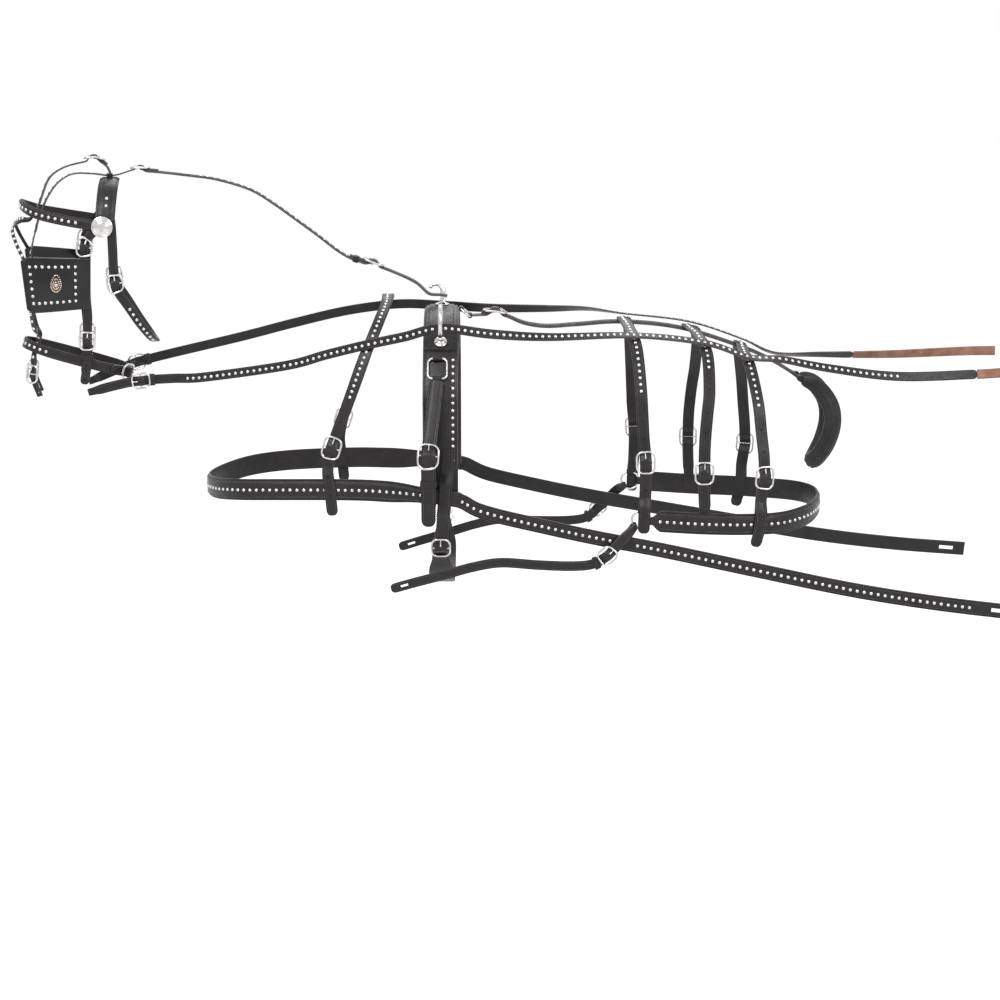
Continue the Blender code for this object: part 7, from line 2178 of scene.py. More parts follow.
def holdback(h, name, side, finish):
    """The strap that holds the shaft back: doubled round the ring, buckled to itself, slit at its end."""
    line = holdback_line(h, side)
    centre = HOLDBACK_BUCKLE_AT
    length = SMALL_BUCKLE_LENGTH
    tip = centre + TAIL_LENGTH * LONG_TIP_SHARE
    radius = RING_WIRE / 2 + GAP + HOLDBACK_THICKNESS / 2
    total = line.length
    meshes = [looped_strap(line, tip, total, HOLDBACK_WIDTH, HOLDBACK_THICKNESS, radius, centre, length,
                           tip_rows(total, HOLDBACK_WIDTH / 2, 1))]
    meshes += buckle_meshes(line, centre, HOLDBACK_WIDTH, HOLDBACK_THICKNESS, HOLDBACK_THICKNESS, length, -1)
    keeper_at = centre + TAIL_LENGTH * HOLDBACK_KEEPER_SHARE
    reach = HOLDBACK_WIDTH / 4
    meshes.append(block(line, keeper_at - reach, keeper_at + reach, HOLDBACK_WIDTH + 2 * SLEEVE_WALL,
                        -SEW, 2 * HOLDBACK_THICKNESS + GAP + SLEEVE_WALL))
    slit_at = total - TAIL_LENGTH * HOLDBACK_KEEPER_SHARE
    reach, width = (HOLDBACK_WIDTH * share for share in HOLDBACK_SLIT_SHARES)
    slit = block(line, slit_at - reach, slit_at + reach, width, -OVERRUN, OVERRUN * 2)
    joined(f"holdback_{name}", meshes, finish, [ring_bore(h, side), slit])


# Check rein and overcheck


def check_places(h):
    """The rear buckle and the poll buckle, as lengths from the hook."""
    rear = h.check.nearest(lambda p: abs(p.x + REAR_CHECK_SHARE * FRONT_LENGTH))
    poll = h.check.nearest(lambda p: abs(p.x + POLL_BUCKLE_SHARE * FRONT_LENGTH)
                           + (0 if p.z > POLL_HEIGHT / 2 else HEAD_LENGTH))
    return rear, poll


def check_tail(rear):
    """The tip of the check rein's doubled end, and the rows that both of its layers have, so they nest."""
    tip = rear + TAIL_LENGTH
    return tip, stations(rear + BUCKLE_LENGTH / 2, tip, FINE_STEP) + tip_rows(tip, CHECK_WIDTH / 2, 1)


def check_rein_end(h, finish):
    """The flap that lies on the hook, slotted for it, and runs back through the rear buckle."""
    rear, _ = check_places(h)
    tip, tail_rows = check_tail(rear)
    lift = billet_lift([(rear, BUCKLE_LENGTH, CHECK_THICKNESS)], CHECK_THICKNESS + GAP)

    def width(s):
        swell = rise(s, 0, TAIL_LENGTH) * (1 - rise(s, TAIL_LENGTH, rear - BUCKLE_LENGTH / 2))
        wide = CHECK_WIDTH * (1 + FLAP_SWELL_SHARE * swell)
        if s > rear:
            wide = min(wide, tip_width(s, tip, CHECK_WIDTH, CHECK_WIDTH / 2))
        return tip_width(s, 0, wide, CHECK_WIDTH / 2)

    start = -HOOK_WIRE * 2
    extra = [s - start for s in bulge_rows(rear, BUCKLE_LENGTH) + tail_rows]
    extra += [CHECK_THICKNESS * share for share in SEAT_ROW_SHARES] + [TAIL_LENGTH]
    flap = band(Extended(h.check, start), 0, tip - start, lambda s: width(s + start), CHECK_THICKNESS,
                lambda s: lift(s + start), extra=extra)
    post = h.girth.spot(h.girth_at(NEAR, 0), 0, SEAT_TOP)
    slot = sleeve(Vector((0, 0, post.z + HOOK_HEIGHT / 2)), UP, HOOK_WIRE / 2 + 2 * GAP, HOOK_HEIGHT,
                  PLATE_SIDES)
    joined("check_rein_end", [flap], finish, [slot])


def check_rein(h, finish):
    """Along the crest, with a buckle at each end."""
    rear, poll = check_places(h)
    _, tail_rows = check_tail(rear)

    def lift(s):
        return (held_rise(CHECK_THICKNESS) * bulge(s, rear, BUCKLE_LENGTH)
                + held_rise(OVERCHECK_THICKNESS) * bulge(s, poll, SMALL_BUCKLE_LENGTH))

    extra = bulge_rows(rear, BUCKLE_LENGTH) + bulge_rows(poll, SMALL_BUCKLE_LENGTH) + tail_rows
    meshes = [band(h.check, rear, poll, CHECK_WIDTH * CHAPE_WIDTH_SHARE, CHECK_THICKNESS, lift, extra=extra)]
    meshes += buckle_meshes(h.check, rear, CHECK_WIDTH, CHECK_THICKNESS, CHECK_THICKNESS)
    meshes += buckle_meshes(h.check, poll, OVERCHECK_WIDTH, CHECK_THICKNESS, OVERCHECK_THICKNESS,
                            SMALL_BUCKLE_LENGTH)
    joined("check_rein", meshes, finish)


class Extended:
    """A line carried straight on before its start."""

    def __init__(self, line, start):
        self.line = line
        self.start = start

    def spot(self, s, sideways=0.0, out=0.0):
        s += self.start
        if s >= 0:
            return self.line.spot(s, sideways, out)
        _, along, _, _ = self.line.frame(0)
        return self.line.spot(0, sideways, out) + along * s


def bit_end(leg):
    """The buckle at the end of an overcheck leg and the slit strap below it, and the slit."""
    place, along, _, outward = leg.frame(leg.length)
    down = (along + REARWARD * BIT_END_TURN_SHARE).normalized()
    length = SMALL_BUCKLE_LENGTH
    low = place + along * length / 2
    points = [leg.spot(leg.length - TAIL_LENGTH), place, low, low + down * TAIL_LENGTH * BIT_END_SHARE]
    line = Line(points, [outward] * 4)
    centre = line.nearest(lambda p: (p - place).length)
    meshes = [chape(line, centre, line.length, OVERCHECK_WIDTH, OVERCHECK_THICKNESS, OVERCHECK_THICKNESS,
                    length=length)]
    meshes += buckle_meshes(line, centre, OVERCHECK_WIDTH, OVERCHECK_THICKNESS, OVERCHECK_THICKNESS,
                            length, -1)
    slit_at = line.length - OVERCHECK_WIDTH
    slit = block(line, slit_at - OVERCHECK_WIDTH / 2, slit_at + OVERCHECK_WIDTH / 2,
                 OVERCHECK_WIDTH * SLIT_SHARE, -OVERRUN, OVERRUN * 2)
    return meshes, slit


def leg_rows(leg):
    """Rows where a leg goes behind the noseband and comes out below it."""
    rows = [leg.nearest(lambda p: (p - point).length) for point in leg.line[LEG_ROW_POINTS]]
    return rows + bulge_rows(leg.length, SMALL_BUCKLE_LENGTH)


def leg_lift(leg):
    """A leg's height: it rises to the bar of the buckle that is sewn to its end."""
    high = held_rise(OVERCHECK_THICKNESS)
    return lambda s: GAP / 2 + high * bulge(s, leg.length, SMALL_BUCKLE_LENGTH)


def overcheck(h, finish):
    """From the poll buckle over the crown and down the face, then a leg on each side of the nose."""
    line = h.check
    _, poll = check_places(h)
    tip = poll - TAIL_LENGTH * OVERCHECK_TIP_SHARE
    crown_at = line.nearest(lambda p: (p - h.crown.spot(h.crown.length / 2)).length)

    def rest(s):
        return (CHECK_THICKNESS + GAP) * (1 - rise(s, poll, crown_at - CROWN_WIDTH / 2))

    lift = billet_lift([(poll, SMALL_BUCKLE_LENGTH, OVERCHECK_THICKNESS)], rest)
    extra = bulge_rows(poll, SMALL_BUCKLE_LENGTH) + tip_rows(tip, OVERCHECK_WIDTH / 2, -1)
    extra += [crown_at + share * CROWN_WIDTH for share in CROWN_ROW_SHARES]
    meshes = [band(line, tip, line.length, pointed(tip, OVERCHECK_WIDTH),
                   OVERCHECK_THICKNESS, lift, extra=extra)]
    slits = []
    for _, side in SIDES:
        leg = h.legs[side]
        meshes.append(band(leg, 0, leg.length, OVERCHECK_WIDTH * LEG_THICKNESS_SHARE,
                           OVERCHECK_THICKNESS * CHAPE_WIDTH_SHARE, leg_lift(leg), extra=leg_rows(leg)))
        end, slit = bit_end(leg)
        meshes += end
        slits.append(slit)
    joined("overcheck", meshes, finish, slits)


# Bridle


def crownpiece(h, finish):
    """Over the poll, with two billets down each side and a loop for the overcheck and stay."""
    line = h.crown
    low = place_on(line, NEAR, CROWN_END_SHARE)
    meshes = [band(line, low, line.length - low, CROWN_WIDTH, CROWN_THICKNESS, shares=RAISED_SHARES)]
    for _, side in SIDES:
        for path, buckle_share, width in ((h.cheeks[side], UPPER_BUCKLE_SHARE, CHEEK_WIDTH),
                                          (throat_side(h, side), THROAT_BUCKLE_SHARE, THROAT_WIDTH)):
            meshes.append(crown_billet(path, buckle_share, width))
    half = OVERCHECK_WIDTH / 2 + LAY
    near, far = line.length / 2 - half, line.length / 2 + half
    meshes.append(block(line, near - SLEEVE_WALL, far + SLEEVE_WALL, STAY_WIDTH, CROWN_THICKNESS / 2,
                        CROWN_LOOP_TOP))
    meshes += buckled_chape(h.stay, stay_buckle_at(h), 0, STAY_WIDTH, STAY_THICKNESS, SMALL_BUCKLE_LENGTH)
    hole = block(line, near, far, STAY_WIDTH * 2, CROWN_THICKNESS + LAY / 4, CROWN_LOOP_TOP - SLEEVE_WALL)
    joined("crownpiece", meshes, finish, [hole])


class Reversed:
    """A line taken from its other end."""

    def __init__(self, line):
        self.line = line
        self.length = line.length

    def spot(self, s, sideways=0.0, out=0.0):
        return self.line.spot(self.line.length - s, sideways, out)

    def nearest(self, test):
        return self.line.length - self.line.nearest(test)


def throat_side(h, side):
    return h.throat if side == NEAR else Reversed(h.throat)


def wrong_side(place, side):
    """Keeps a search on one side of the head."""
    return HEAD_LENGTH if head_local(place).y * side < 0 else 0


def place_on(path, side, share):
    """Where a line down the side of the head is at a height."""
    return path.nearest(lambda p: abs(head_local(p).z - share * HEAD_LENGTH) + wrong_side(p, side))


def side_of(path):
    place = head_local(path.spot(0))
    return NEAR if place.y < 0 else FAR


def crown_billet(path, buckle_share, width):
    centre = place_on(path, side_of(path), buckle_share)
    length = SMALL_BUCKLE_LENGTH
    end = centre + length * BILLET_TIP_SHARE

    def rest(s):
        settled, settling = (centre - length * share for share in BILLET_SETTLE_SHARES)
        return ON_CHAPE * rise(s, settling, settled)

    lift = billet_lift([(centre, length, CHEEK_THICKNESS)], rest)
    return band(path, 0, end, pointed(end, width), CHEEK_THICKNESS, lift,
                extra=bulge_rows(centre, length) + billet_tip_rows(centre, width))


def billet_tip_rows(centre, width):
    """Rows of a crownpiece billet's point, which the strap under it has too, so they nest."""
    return tip_rows(centre + SMALL_BUCKLE_LENGTH * BILLET_TIP_SHARE, width / 2, 1)


def cheek_tail_rows(line, lower):
    """Rows that the cheekpiece and the bit carrier under it both have, so they nest."""
    return stations(lower + SMALL_BUCKLE_LENGTH / 2, line.length - CHEEK_WIDTH / 4, FINE_STEP)


def cheekpiece(h, name, side, finish):
    """From the upper buckle to the lower one, whose billet it is."""
    line = h.cheeks[side]
    upper = place_on(line, side, UPPER_BUCKLE_SHARE)
    lower = place_on(line, side, LOWER_BUCKLE_SHARE)
    end = line.length
    length = SMALL_BUCKLE_LENGTH
    after, before = CHEEK_SETTLE_SHARES
    settle = place_on(line, side, BLINKER_REAR_SHARES[1]) + length * after
    settled = lower - length * before

    def rest(s):
        return (held_rise(CHEEK_THICKNESS) * bulge(s, upper, length)
                + ON_CHAPE * rise(s, settle, settled))

    lift = billet_lift([(lower, length, CHEEK_THICKNESS)], rest)
    extra = bulge_rows(upper, length) + bulge_rows(lower, length) + tip_rows(end, CHEEK_WIDTH / 2, 1)
    extra += cheek_tail_rows(line, lower) + billet_tip_rows(upper, CHEEK_WIDTH)
    meshes = [band(line, upper, end, pointed(end, CHEEK_WIDTH),
                   CHEEK_THICKNESS, lift, extra=extra)]
    meshes += buckle_meshes(line, upper, CHEEK_WIDTH, CHEEK_THICKNESS, CHEEK_THICKNESS, length, -1)
    joined(f"cheekpiece_{name}", meshes, finish)


def bit_carrier(h, name, side, finish):
    """The strap under the lower cheek buckle, which would carry a bit ring."""
    line = h.cheeks[side]
    lower = place_on(line, side, LOWER_BUCKLE_SHARE)
    meshes = buckled_chape(line, lower, line.length - CHEEK_WIDTH / 4, CHEEK_WIDTH, CHEEK_THICKNESS,
                           SMALL_BUCKLE_LENGTH, -1, rows=cheek_tail_rows(line, lower))
    joined(f"bit_carrier_{name}", meshes, finish)


def blinker_facing(side):
    forward, up = BLINKER_FACING_SHARES
    return head_direction((forward, side, up))


def blinker_point(h, side, u, v, w):
    """A place on a blinker: u from the cheek forward, v from the top down, w outward."""
    line = h.cheeks[side]
    top, low = (place_on(line, side, share) for share in BLINKER_REAR_SHARES)
    s = top + (low - top) * v
    out = CHEEK_THICKNESS + GAP
    rear_side = side * CHEEK_WIDTH / 2
    strip = BLINKER_STRIP_SHARE
    if u <= strip:
        return line.spot(s, rear_side * (1 - 2 * u / strip), out + w)
    start = line.spot(s, -rear_side, out)
    x, y, z = (a + (b - a) * v for a, b in zip(*BLINKER_FRONT_SHARES))
    front = head_place(x, side * y, z)
    t = (u - strip) / (1 - strip)
    outward = blinker_facing(side)
    swell = BLINKER_CUP * math.sin(math.pi * t) * (1 + math.sin(math.pi * v)) / 2
    return start.lerp(front, t) + outward * (swell + w)


def blinker_corner(v, u):
    """Draws the front corners in."""
    reach = min(max((u - BLINKER_CORNER_SHARE) / (1 - BLINKER_CORNER_SHARE), 0.0), 1.0)
    squeeze = 1 - BLINKER_DRAW_SHARE * (1 - math.sqrt(1 - reach * reach * BLINKER_ROUND_SHARE))
    return (1 + (2 * v - 1) * squeeze) / 2


def rosette_frame(h, side):
    line = h.browband
    s = line.nearest(lambda p: abs(head_local(p).x - ROSETTE_SHARE * HEAD_LENGTH) + wrong_side(p, side))
    _, _, _, outward = line.frame(s)
    return line.spot(s, 0, BROWBAND_THICKNESS + LAY), outward


def browband(h, finish):
    line = h.browband
    mesh = band(line, 0, line.length, BROWBAND_WIDTH, BROWBAND_THICKNESS, shares=RAISED_SHARES)
    joined("browband", [mesh], finish)


def throatlatch(h, finish):
    line = h.throat
    length = SMALL_BUCKLE_LENGTH
    near = place_on(line, NEAR, THROAT_BUCKLE_SHARE)
    far = line.length - near

    def lift(s):
        return held_rise(CHEEK_THICKNESS) * (bulge(s, near, length) + bulge(s, far, length))

    tips = billet_tip_rows(near, THROAT_WIDTH)
    tips += [line.length - s for s in tips]
    meshes = [band(line, near, far, THROAT_WIDTH * THROAT_CHAPE_SHARE, THROAT_THICKNESS, lift,
                   extra=bulge_rows(near, length) + bulge_rows(far, length) + tips)]
    for at, tongue in ((near, -1), (far, 1)):
        meshes += buckle_meshes(line, at, THROAT_WIDTH, THROAT_THICKNESS, CHEEK_THICKNESS, length, tongue)
    joined("throatlatch", meshes, finish)


def noseband(h, finish):
    """Round the nose, with its end through the buckle under the jaw."""
    line = h.noseband
    centre = NOSEBAND_BUCKLE_AT
    length = SMALL_BUCKLE_LENGTH
    turn = line.length + centre
    end = turn + TAIL_LENGTH * LONG_TIP_SHARE
    narrow = NOSEBAND_WIDTH * NOSEBAND_NARROW_SHARE

    def lift(s):
        settled, settling = (turn - length * share for share in BILLET_SETTLE_SHARES)
        base = (NOSEBAND_THICKNESS + GAP) * rise(s, settling, settled)
        start = held_rise(NOSEBAND_THICKNESS) * bulge(s, centre, length)
        return base + start + billet_rise(NOSEBAND_THICKNESS) * bulge(s, turn, length)

    def width(s):
        start, full = (TAIL_LENGTH * share for share in NOSEBAND_SPREAD_SHARES)
        away = min(s - centre, turn - s)
        wide = narrow + (NOSEBAND_WIDTH - narrow) * rise(away, start, full)
        return min(wide, tip_width(s, end, narrow, narrow / 2))

    extra = bulge_rows(centre, length) + bulge_rows(turn, length) + tip_rows(end, narrow / 2, 1)
    meshes = [band(line, centre, end, width, NOSEBAND_THICKNESS, lift, extra=extra)]
    meshes += buckle_meshes(line, centre, narrow, NOSEBAND_THICKNESS, NOSEBAND_THICKNESS, length, -1)
    joined("noseband", meshes, finish)


def stay_buckle_at(h):
    x, z = STAY_SHARES[STAY_BUCKLE_INDEX]
    return h.stay.nearest(lambda p: (p - head_place(x, 0, z)).length)


def winker_stay(h, finish):
    """From the crown's buckle down the forehead, with a leg to each blinker."""
    line = h.stay
    centre = stay_buckle_at(h)
    length = SMALL_BUCKLE_LENGTH
    tip = centre - TAIL_LENGTH / 2

    def rest(s):
        start, end = (centre + length * share for share in BILLET_SETTLE_SHARES)
        return ON_CHAPE * (1 - rise(s, start, end))

    lift = billet_lift([(centre, length, STAY_THICKNESS)], rest)
    extra = bulge_rows(centre, length) + tip_rows(tip, STAY_WIDTH / 2, -1)
    meshes = [band(line, tip, line.length, pointed(tip, STAY_WIDTH),
                   STAY_THICKNESS, lift, extra=extra)]
    forward = head_direction((-1, 0, 0))
    for _, side in SIDES:
        start = line.spot(line.length - STAY_WIDTH / 2, 0, STAY_THICKNESS * STAY_LEG_LIFT_SHARE)
        end = blinker_point(h, side, *STAY_END_SHARES, BLINKER_THICKNESS + CROSS_LAY)
        points = [start, *placed(head_place, side, STAY_LEG_SHARES), end]
        outward = blinker_facing(side)
        turned = [forward.lerp(outward, share) for share in STAY_TURN_SHARES]
        leg = Line(points, [forward, forward, *turned, outward, outward])
        meshes.append(band(leg, 0, leg.length, STAY_WIDTH * STAY_LEG_SHARE,
                           STAY_THICKNESS * LEG_THICKNESS_SHARE))
    joined("winker_stay", meshes, finish)


def bridle_parts(h, leather, patent, metal):
    for piece in (crownpiece, browband, noseband, throatlatch, overcheck, winker_stay):
        piece(h, leather)
    for name, side in SIDES:
        cheekpiece(h, name, side, leather)
        bit_carrier(h, name, side, leather)
        blinker(h, name, side, patent)
        rosette(h, name, side, metal)


# Reins


def rein_in_ring(h, side):
    """Where a rein passes its terret: near on the ring's low edge, far against its side."""
    centre = terret_ring_centre(h, side)
    inner = TERRET_RADIUS - TERRET_WIRE / 2 - 3 * LAY
    if side == FAR:
        return centre + LEFTWARD * math.sqrt(inner**2 - (REIN_WIDTH / 2) ** 2)
    drop = math.sqrt(inner**2 - (REIN_THICKNESS / 2) ** 2) - REIN_WIDTH / 2
    return centre - UP * drop - LEFTWARD * REIN_THICKNESS / 2


def rein_line(h, side):
    """From the bit end through the terret and over the hip straps to the hand."""
    rests = []
    facings = []
    for hip, share in zip(h.hips, REIN_REST_SHARES[side]):
        s = hip.nearest(lambda p: abs(p.y - side * share * HALF_WIDTH))
        rests.append(hip.spot(s, 0, HIP_STRAP_THICKNESS + CROSS_LAY))
        facings.append(hip.frame(s)[3])
    front = placed(head_place, side, REIN_HEAD_SHARES[side])
    front += placed(front_place, side, REIN_FRONT_SHARES[side]) + [rein_in_ring(h, side)]
    back = placed(body_place, side, REIN_BACK_SHARES[side])
    rear = placed(body_place, side, REIN_REAR_SHARES[side])
    out = Vector((0, side, 0))
    way = [out] * len(front) + [out.lerp(facings[0], (k + 1) / (len(back) + 1)) for k in range(len(back))]
    way += facings + [facings[-1].lerp(out, (k + 1) / len(rear)) for k in range(len(rear))]
    return Line(front + back + rests + rear, way)


def rein_parts(h, name, side, black, brown):
    """The rein, doubled and buckled to itself at the bit end, with the hand part sewn under its end."""
    line = rein_line(h, side)
    centre = REIN_BUCKLE_AT
    length = SMALL_BUCKLE_LENGTH
    hand = line.nearest(lambda p: abs(p.x - HANDPART_SHARES[side] * REAR_LENGTH))
    tip = centre + TAIL_LENGTH * REIN_TIP_SHARE
    meshes = [looped_strap(line, tip, hand, REIN_WIDTH, REIN_THICKNESS, REIN_LOOP_RADIUS, centre, length,
                           tip_rows(hand, REIN_WIDTH / 2, 1))]
    meshes += buckle_meshes(line, centre, REIN_WIDTH, REIN_THICKNESS, REIN_THICKNESS, length, -1)
    joined(f"rein_{name}", meshes, black)
    mesh = band(line, hand + GAP, line.length, REIN_WIDTH, REIN_THICKNESS)
    joined(f"rein_handpart_{name}", [mesh], brown)


# Pieces shaped more finely than their solids


def saddle_panel(h, look):
    """One pad over the back, drawn in and thinner toward its ends, with a welt round its edge."""
    start = h.girth_at(NEAR, PANEL_END_SHARE)
    end = h.girth_at(FAR, PANEL_END_SHARE)
    middle = (start + end) / 2
    reach = (end - start) / 2

    def swell(s):
        away = min(max((reach - abs(s - middle)) / PANEL_WIDTH, 0.0), 1.0)
        return PANEL_SWELL_SHARE + (1 - PANEL_SWELL_SHARE) * math.sqrt(away)

    def width(s):
        return PANEL_WIDTH * (1 + swell(s)) / 2

    def thickness(s):
        return PANEL_THICKNESS * swell(s)

    pad = band(h.girth, start, end, width, thickness, shares=PANEL_SHARES)
    welts = []
    for sign in (-1, 1):
        path = [h.girth.spot(s, sign * width(s) / 2, thickness(s) * WELT_HEIGHT_SHARE)
                for s in stations(start, end, FINE_STEP)]
        welts.append(cord_mesh(path, WELT_RADIUS, REARWARD))
    LAYING.clear()
    put("saddle_panel_pad", pad, look, HARNESS, "saddle_panel")
    put("saddle_panel_welts", merged(welts), "leather", HARNESS)


def terret(h, name, side, look):
    """A ring on a baluster stem over a turned flange."""
    foot, outward, lean = terret_frame(h, side)
    centre = terret_ring_centre(h, side)
    ring = torus(centre, lean, REARWARD.cross(lean), TERRET_RADIUS, TERRET_WIRE / 2)
    flange = lathe(foot + outward * GAP, outward, scaled(FLANGE_SHARES, TERRET_FLANGE, TERRET_WIRE / 2))
    stem = lathe(foot + outward * GAP, lean, scaled(STEM_SHARES, TERRET_WIRE / 2, TERRET_STEM))
    put(f"terret_{name}_ring", merged([ring, flange, stem]), look, HARNESS, f"terret_{name}")


def check_hook(h, look):
    """A turned plate with a post that curls forward over the check rein's end to a small ball."""
    base = h.girth.spot(h.girth_at(NEAR, 0), 0, SEAT_TOP).z + GAP
    low = Vector((0, 0, base))
    plate = lathe(low, UP, scaled(FLANGE_SHARES, HOOK_PLATE_RADIUS, HOOK_WIRE / 2))
    high = base + HOOK_HEIGHT - HOOK_CURL
    path = [low + UP * GAP, low.lerp(Vector((0, 0, high)), 0.5), Vector((0, 0, high))]
    for k in range(1, HOOK_STEPS + 1):
        a = HOOK_CURL_TURN * k / HOOK_STEPS
        path.append(Vector((HOOK_CURL * (math.cos(a) - 1), 0, high + HOOK_CURL * math.sin(a))))
    last = len(path) - 1

    def radius(i):
        return HOOK_WIRE / 2 * (1 - HOOK_TAPER_SHARE * max(i - 2, 0) / last)

    post = tube(path, radius, LEFTWARD)
    angles = [math.pi * (k + 0.5) / BALL_RINGS for k in range(BALL_RINGS)]
    outline = scaled([(math.sin(a), 1 - math.cos(a)) for a in angles], HOOK_WIRE / 2, HOOK_WIRE / 2)
    ball = lathe(path[-1] - UP * HOOK_WIRE / 2, UP, outline, ROUND_SIDES)
    put("check_hook_post", merged([plate, post, ball]), look, HARNESS, "check_hook")


def keeper(name, line, centre, width, inner, outer, look):
    """A leather ring round everything between two heights above the line."""
    mesh = keeper_mesh(line, centre, width, inner, outer, width * KEEPER_SHARE)
    LAYING.clear()
    put(f"{name}_{look}", mesh, look, BODY_OF[name], name)


def ring_mesh(h, side, grow=0.0, count=RING_SIDES, sides=RING_WIRE_SIDES):
    """A breeching ring, or with some growth the room that it needs."""
    at = ring_map(h, side)
    centre = at(0, 0, 0)
    axis = at(0, 0, 1) - centre
    forward = at(1, 0, 0) - centre
    return torus(centre, forward, axis.cross(forward), RING_RADIUS, RING_WIRE / 2 + grow, count, sides)


def crupper_dock(h, look):
    """A padded roll that hangs from the fork and passes under the tail, ribbed along its length."""
    near = fork_place(h, NEAR)
    middle = (near + fork_place(h, FAR)) / 2
    reach = DOCK_DEPTH
    _, along, _, _ = h.back.frame(h.back.length)
    start = near + along * (KNUCKLE_RADIUS * DOCK_CLEAR_SHARE + GAP)
    half = [twin(start)]
    for x, y, z in DOCK_SHARES:
        half.append(Vector((middle.x + x * reach, -near.y * y, middle.z + z * reach)))
    centre = middle + Vector((reach * DOCK_CENTRE_SHARES[0], 0, reach * DOCK_CENTRE_SHARES[1]))
    line = Line(mirrored(half), lambda place, along: place - centre)
    rings = []
    ends = tip_rows(line.length, DOCK_RADIUS, 1) + tip_rows(0, DOCK_RADIUS, -1)
    for s in stations(0, line.length, FINE_STEP, ends):
        place, _, across, out = line.frame(s)
        t = min(s, line.length - s) / line.length * 2
        swell = min(1.0, math.sqrt(t * DOCK_SWELL_RATE))
        radius = DOCK_RADIUS * (DOCK_TIP_SHARE + (1 - DOCK_TIP_SHARE) * swell)
        ring = []
        for a in turns(DOCK_SIDES):
            rib = 1 + DOCK_RIB_SHARE * abs(math.cos(a * DOCK_RIBS / 2))
            ring.append(place + (across * math.cos(a) + out * math.sin(a)) * radius * rib)
        rings.append(ring)
    put("crupper_dock_roll", skin(rings), look, "crupper", "crupper_dock")


def rosette(h, name, side, look):
    """A domed disc with a bead and a thin rim."""
    centre, outward = rosette_frame(h, side)
    disc = lathe(centre, outward, scaled(ROSETTE_FINE_SHARES, ROSETTE_RADIUS, ROSETTE_HEIGHT))
    put(f"rosette_{name}_disc", disc, look, HARNESS, f"rosette_{name}")


def blinker_face(h, side, u, v):
    """A place on a blinker's outer face."""
    return blinker_point(h, side, u, blinker_corner(v, u), BLINKER_THICKNESS)


def blinker_out(h, side, u, v):
    """The way out of a blinker's face."""
    across = blinker_face(h, side, u + PROBE, v) - blinker_face(h, side, u - PROBE, v)
    down = blinker_face(h, side, u, v + PROBE) - blinker_face(h, side, u, v - PROBE)
    way = across.cross(down).normalized()
    return way if way.dot(blinker_facing(side)) > 0 else -way


def blinker(h, name, side, look):
    """A patent cup, bound at its edge, bordered with studs round a beaded drop."""
    columns, rows = BLINKER_FINE
    rings = []
    for u in evenly(0, 1, columns):
        places = [(u, blinker_corner(v, u)) for v in evenly(0, 1, rows)]
        outer = [blinker_point(h, side, *place, BLINKER_THICKNESS) for place in places]
        inner = [blinker_point(h, side, *place, 0) for place in reversed(places)]
        rings.append(outer + inner)
    put(f"blinker_{name}_cup", skin(rings), look, HARNESS, f"blinker_{name}")
    put(f"blinker_{name}_binding", blinker_binding(h, side), "leather", HARNESS)
    put(f"blinker_{name}_studs", blinker_border(h, side), "nickel", HARNESS)
    put(f"blinker_{name}_drop", blinker_drop(h, side), "gold", HARNESS)


def blinker_binding(h, side):
    """A cord along the top, the front and the bottom edge."""
    columns, rows = BLINKER_FINE
    low, high = BLINKER_BIND_SHARE, 1 - BLINKER_BIND_SHARE
    path = [(u, low) for u in evenly(low, high, columns)]
    path += [(high, v) for v in evenly(low, high, rows)[1:]]
    path += [(u, high) for u in evenly(high, low, columns)[1:]]
    return cord_mesh([blinker_face(h, side, u, v) for u, v in path], BEAD_RADIUS, blinker_facing(side))


def blinker_border(h, side):
    """A border of studs."""
    u0, v0, u1, v1 = BLINKER_BORDER_SHARES
    wide, high = BLINKER_BORDER_STUDS
    path = [(u, v0) for u in evenly(u0, u1, wide)[:-1]]
    path += [(u1, v) for v in evenly(v0, v1, high)[:-1]]
    path += [(u, v1) for u in evenly(u1, u0, wide)[:-1]]
    path += [(u0, v) for v in evenly(v1, v0, high)[:-1]]
    bm = bmesh.new()
    for u, v in path:
        dome(bm, blinker_face(h, side, u, v), blinker_out(h, side, u, v))
    return mesh_of(bm)


def blinker_drop(h, side):
    """Beads in rings, in the outline of a drop with its point up."""
    facing = blinker_out(h, side, *BLINKER_DROP_SHARES)
    centre = blinker_face(h, side, *BLINKER_DROP_SHARES)
    down = head_direction((0, 0, -1))
    down = (down - facing * down.dot(facing)).normalized()
    sideways = facing.cross(down)
    bm = bmesh.new()
    for reach, radius, count in DROP_RINGS:
        for a in turns(count):
            point = 1 + DROP_POINT_SHARE * max(-math.cos(a), 0) ** DROP_POINT_POWER
            place = (centre + down * math.cos(a) * point * reach * DROP_HEIGHT
                     + sideways * math.sin(a) * reach * DROP_WIDTH)
            dome(bm, place, facing, radius, radius)
    return mesh_of(bm)


# Studs, holes, keepers and small fittings, placed where the photograph shows them


def both_sides(line, pixels):
    """The places of some pixels along a line, and their twins on the far side."""
    rows = [at_pixel(line, *pixel) for pixel in pixels]
    return rows + [line.length - s for s in rows]


def between(line, first, last, pitch=STUD_PITCH):
    """Even places along a line from one pixel to another."""
    return row(at_pixel(line, *first), at_pixel(line, *last), pitch)


def across_the_top(line, first, pitch=STUD_PITCH):
    """Even places over the top of a strap, from a pixel to its twin on the far side."""
    start = at_pixel(line, *first)
    return row(start, line.length - start, pitch)


